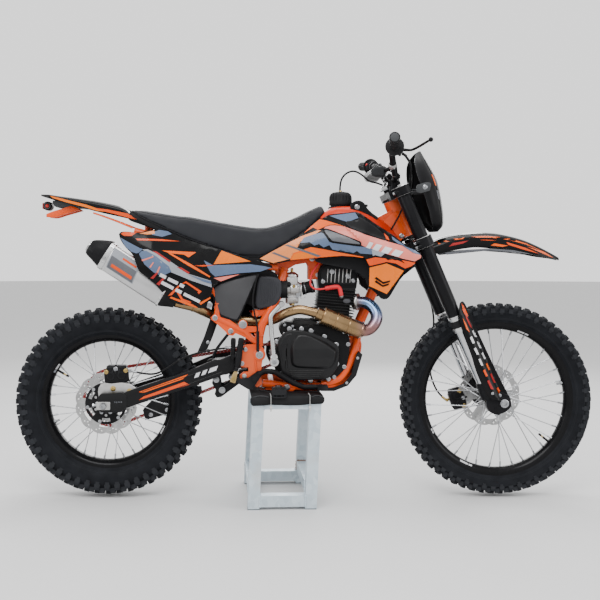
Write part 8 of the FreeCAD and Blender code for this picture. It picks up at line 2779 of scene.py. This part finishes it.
p = Piece("stand_pad_rubber")
base = rounded([(-0.196, -0.1955), (0.050, -0.1955), (0.050, 0.1955), (-0.196, 0.1955)], 0.006, 3)
p.add(moved(prism(base, 0.3805, 0.3905, "XY", ch=0.002, steps=2)), PAD_RUBBER)
TIES = (-0.130, 0.003)
for s in (-1, 1):
    # a thick rolled edge over the top rail: it bulges at both ends and is pinched by the ties
    v, rings = [], []
    NX, NS = 56, 16
    for i_ in range(NX + 1):
        x = -0.200 + 0.254 * i_ / NX
        e = min(x + 0.200, 0.054 - x)
        end = min(1.0, math.sqrt(max(0.0, e / 0.008))) if e < 0.008 else 1.0
        u_ = (x + 0.073) / 0.127
        zb = 0.3565 + 0.0035 * max(0.0, u_) + 0.0012 * math.sin(x * 41)
        zt = 0.3905
        thick = 0.0100 + 0.0050 * math.exp(-((e - 0.030) / 0.026) ** 2) + 0.0006 * math.sin(x * 160)
        for xt in TIES:
            thick -= 0.0030 * math.exp(-((x - xt) / 0.007) ** 2)
            zb += 0.0016 * math.exp(-((x - xt) / 0.007) ** 2)
        zc, hz = (zb + zt) / 2, (zt - zb) / 2 * (0.35 + 0.65 * end)
        ids = []
        for k in range(NS):
            a = 2 * PI * k / NS
            c_, s_ = math.cos(a), math.sin(a)
            yy = max(0.0, abs(c_) ** 0.8 * (1 if c_ > 0 else -1)) * thick * (0.3 + 0.7 * end)
            zz = abs(s_) ** 0.75 * (1 if s_ > 0 else -1) * hz
            ids.append(len(v))
            v.append(st((x, s * (0.1903 + yy), zc + zz)))
        rings.append(ids)
    f = [tuple(reversed(rings[0])), tuple(rings[-1])]
    for a, b in zip(rings, rings[1:]):
        for k in range(NS):
            k2 = (k + 1) % NS
            f.append((a[k], a[k2], b[k2], b[k]))
    p.add((v, f), PAD_RUBBER)
    # pale piping along the top edge near both ends
    for xa, xb in ((-0.192, -0.138), (0.008, 0.046)):
        pts = [st((xa + (xb - xa) * k / 8, s * (0.1990 + 0.002 * math.sin(PI * k / 8)), 0.3862 + 0.0050 * math.sin(PI * k / 8))) for k in range(9)]
        p.add(sweep(pts, 0.0011, 8), GREY_PLASTIC)
    # zip ties round the rail and pad
    for x in TIES:
        z0, z1, y0, y1 = 0.3405, 0.3910, 0.1485, 0.2035
        path = [(x, s * y1, z1 - 0.003), (x, s * y1, z0 + 0.004), (x, s * (y1 - 0.006), z0), (x, s * (y0 + 0.006), z0), (x, s * y0, z0 + 0.004), (x, s * y0, z1 - 0.004), (x, s * (y0 + 0.006), z1 + 0.0004), (x, s * (y1 - 0.005), z1 + 0.0004), (x, s * y1, z1 - 0.003)]
        p.add(moved(sweep(path, 0.0028, 8, flat=0.35, up=(1, 0, 0))), NYLON)
        p.add(moved(block((x, s * 0.2040, 0.352), (0.0085, 0.0050, 0.0075), None, 0.001)), NYLON)
        p.add(moved(block((x + 0.0005, s * 0.2045, 0.3440), (0.0040, 0.0016, 0.0120), Matrix.Rotation(0.2, 3, "Y"), 0.0004)), NYLON)
p.done("chassis", "rubber", ("stand_pad",), sharp=45)

# ------------------------------------------------------------------ hoses, cables, ignition lead (routes in millimetres)
def mm(points):
    return [(a / 1000, b / 1000, c / 1000) for a, b, c in points]


HOSE_FRONT = mm([(541, 92, 330), (518, 100, 348), (498, 108, 384), (485, 115, 430), (481, 121, 485), (490, 127, 545),
                 (506, 133, 610), (499, 138, 680), (473, 143, 748), (446, 147, 815), (420, 149, 880), (398, 148, 942),
                 (386, 142, 1002), (395, 131, 1046), (405, 92, 1084), (404, 34, 1122), (396, -24, 1160), (376, -84, 1192),
                 (350, -140, 1210), (330, -182, 1218), (323, -206, 1219)])
HOSE_REAR = mm([(-612, -93, 462), (-566, -99, 452), (-522, -107, 452), (-482, -113, 474), (-440, -116, 503),
                (-392, -118, 524), (-338, -122, 536), (-296, -131, 545), (-259, -138, 548)])
HOSE_VENT = mm([(-167, -115, 800), (-177, -116, 757), (-184, -117, 713), (-178, -118, 668), (-167, -119, 628),
                (-165, -123, 587), (-167, -128, 545)])
LEAD = mm([(60, -64, 850), (34, -69, 822), (20, -73, 788), (22, -76, 758), (46, -78, 747), (76, -79, 752)])
THROTTLE = mm([(325, -216, 1211), (344, -198, 1203), (360, -166, 1185), (371, -122, 1154), (373, -74, 1108), (360, -51, 1056),
               (338, -46, 1004), (312, -50, 962)])
CLUTCH = mm([(325, 216, 1211), (344, 198, 1203), (360, 166, 1185), (371, 122, 1154), (373, 74, 1108), (360, 51, 1056),
             (338, 46, 1004), (312, 50, 962)])
VENT = mm([(134, 0, 1104), (134, 0, 1136), (150, 0, 1166), (182, 0, 1180), (214, 0, 1165), (240, 0, 1138), (268, 0, 1135),
           (290, 0, 1125)])


def route_curve(points, name, r):
    cu = nurbs(points, name)
    cu.bevel_depth = r
    cu.bevel_resolution = 4
    cu.use_fill_caps = True
    return bpy.data.objects.new(name, cu)


def as_mesh(ob, name, m):
    sc = bpy.context.scene.collection
    sc.objects.link(ob)
    dg = bpy.context.evaluated_depsgraph_get()
    me = bpy.data.meshes.new_from_object(ob.evaluated_get(dg))
    bpy.data.objects.remove(ob)
    me.name = name
    me.materials.clear()
    me.materials.append(m)
    me.shade_smooth()
    o = bpy.data.objects.new(name, me)
    sc.objects.link(o)
    return o


for pts, name, r, m, body, slot_, reps in (
        (HOSE_FRONT, "front_brake_hose_line", 0.0034, CABLE, "steering", "rubber", ("front_brake_hose",)),
        (HOSE_REAR, "rear_brake_hose_line", 0.0034, CABLE, "chassis", "rubber", ("chassis_hoses",)),
        (HOSE_VENT, "carburettor_vent_hose", 0.0030, CABLE, "chassis", "rubber", ()),
        (LEAD, "ignition_lead_line", 0.0035, RED_RUBBER, "chassis", "red_rubber", ("ignition_lead",))):
    o = route_curve(pts, name, r)
    o.data.materials.append(m)
    bpy.context.scene.collection.objects.link(o)
    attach(o, body)
    if reps:
        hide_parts(*reps)

# control cables between their upper ends and the frame
first = True
for pts, name, r in ((THROTTLE, "throttle_cable", 0.0030), (CLUTCH, "clutch_cable", 0.0030)):
    o = as_mesh(route_curve(pts, name, r), name, CABLE)
    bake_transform(o)
    if first:
        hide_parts("control_cables")
        first = False
o = as_mesh(route_curve(VENT, "tank_vent_hose", 0.0034), "tank_vent_hose", CABLE)
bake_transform(o)

# end fittings, sleeves and clips
p = Piece("chassis_hose_fittings")
p.add(lathe([(0, 0), (0.0045, 0), (0.0045, 0.020), (0.0038, 0.022), (0, 0.022)], (-0.612, -0.0930, 0.4620), (0.97, -0.10, -0.2), 16), ZINC)
p.add(lathe([(0, 0), (0.0045, 0), (0.0045, 0.018), (0.0038, 0.020), (0, 0.020)], (-0.2590, -0.1380, 0.5480), (-0.98, 0.18, 0.08), 16), ZINC)
p.add(lathe([(0.0030, 0), (0.0052, 0), (0.0052, 0.070), (0.0030, 0.070)], (-0.1655, -0.1215, 0.604), (0.0, -0.13, -1), 20, True), CABLE)
for q, d in (((-0.440, -0.116, 0.503), (1, 0, 0.45)), ((-0.338, -0.122, 0.536), (1, -0.1, 0.2))):
    p.add(lathe([(0.0034, -0.004), (0.0058, -0.004), (0.0058, 0.004), (0.0034, 0.004)], q, d, 20, True), MATTE_BLACK)
p.done("chassis", "rubber", sharp=40)
p = Piece("ignition_plug_cap")
p.add(pipe([(0.074, -0.079, 0.752), (0.100, -0.079, 0.757), (0.118, -0.079, 0.759), (0.1255, -0.0788, 0.7520), (0.1285, -0.0788, 0.740), (0.1305, -0.0788, 0.7270)], 0.0078, 20), RED_RUBBER)
for k in range(5):
    q = Vector((0.078 + k * 0.006, -0.079, 0.7526 + k * 0.001))
    p.add(torus(tuple(q), (1, 0, 0.16), 0.0080, 0.0011, 24, 8), RED_RUBBER)
p.add(lathe([(0, 0), (0.0072, 0), (0.0072, 0.006), (0.0055, 0.008), (0.0055, 0.016), (0, 0.016)], (0.1308, -0.0785, 0.7275), (0.05, 0.9, -0.45), 24), ALU)
p.done("chassis", "red_rubber", sharp=40)
p = Piece("steering_hose_fittings")
p.add(lathe([(0, 0), (0.0046, 0), (0.0046, 0.018), (0.0038, 0.020), (0, 0.020)], (0.541, 0.0920, 0.3300), (-0.75, 0.3, 0.6), 16), BRASS)
p.add(lathe([(0, 0), (0.0046, 0), (0.0046, 0.018), (0.0038, 0.020), (0, 0.020)], (0.3230, -0.2060, 1.2190), (0.25, 0.95, 0), 16), ZINC)
for pts, k in ((HOSE_FRONT, 3), (HOSE_FRONT, 6), (HOSE_FRONT, 9)):
    a, b = Vector(pts[k]), Vector(pts[k + 1])
    p.add(lathe([(0.0033, -0.005), (0.0062, -0.005), (0.0062, 0.005), (0.0033, 0.005)], tuple(a), tuple((b - a).normalized()), 20, True), MATTE_BLACK)
for s in (-1, 1):
    p.add(lathe([(0.0028, 0), (0.0050, 0), (0.0050, 0.016), (0.0042, 0.020), (0.0028, 0.020)], (0.325, s * 0.216, 1.211), (0.70, -s * 0.68, -0.25), 16, True), MATTE_BLACK)
p.done("steering", "rubber", sharp=40)

# ------------------------------------------------------------------ floor and finish
me = bpy.data.meshes.new("floor")
bm = bmesh.new()
bmesh.ops.create_circle(bm, cap_ends=True, radius=40, segments=64)
bm.to_mesh(me)
bm.free()
me.materials.append(floor_mat)
fl = bpy.data.objects.new("floor", me)
bpy.context.scene.collection.objects.link(fl)
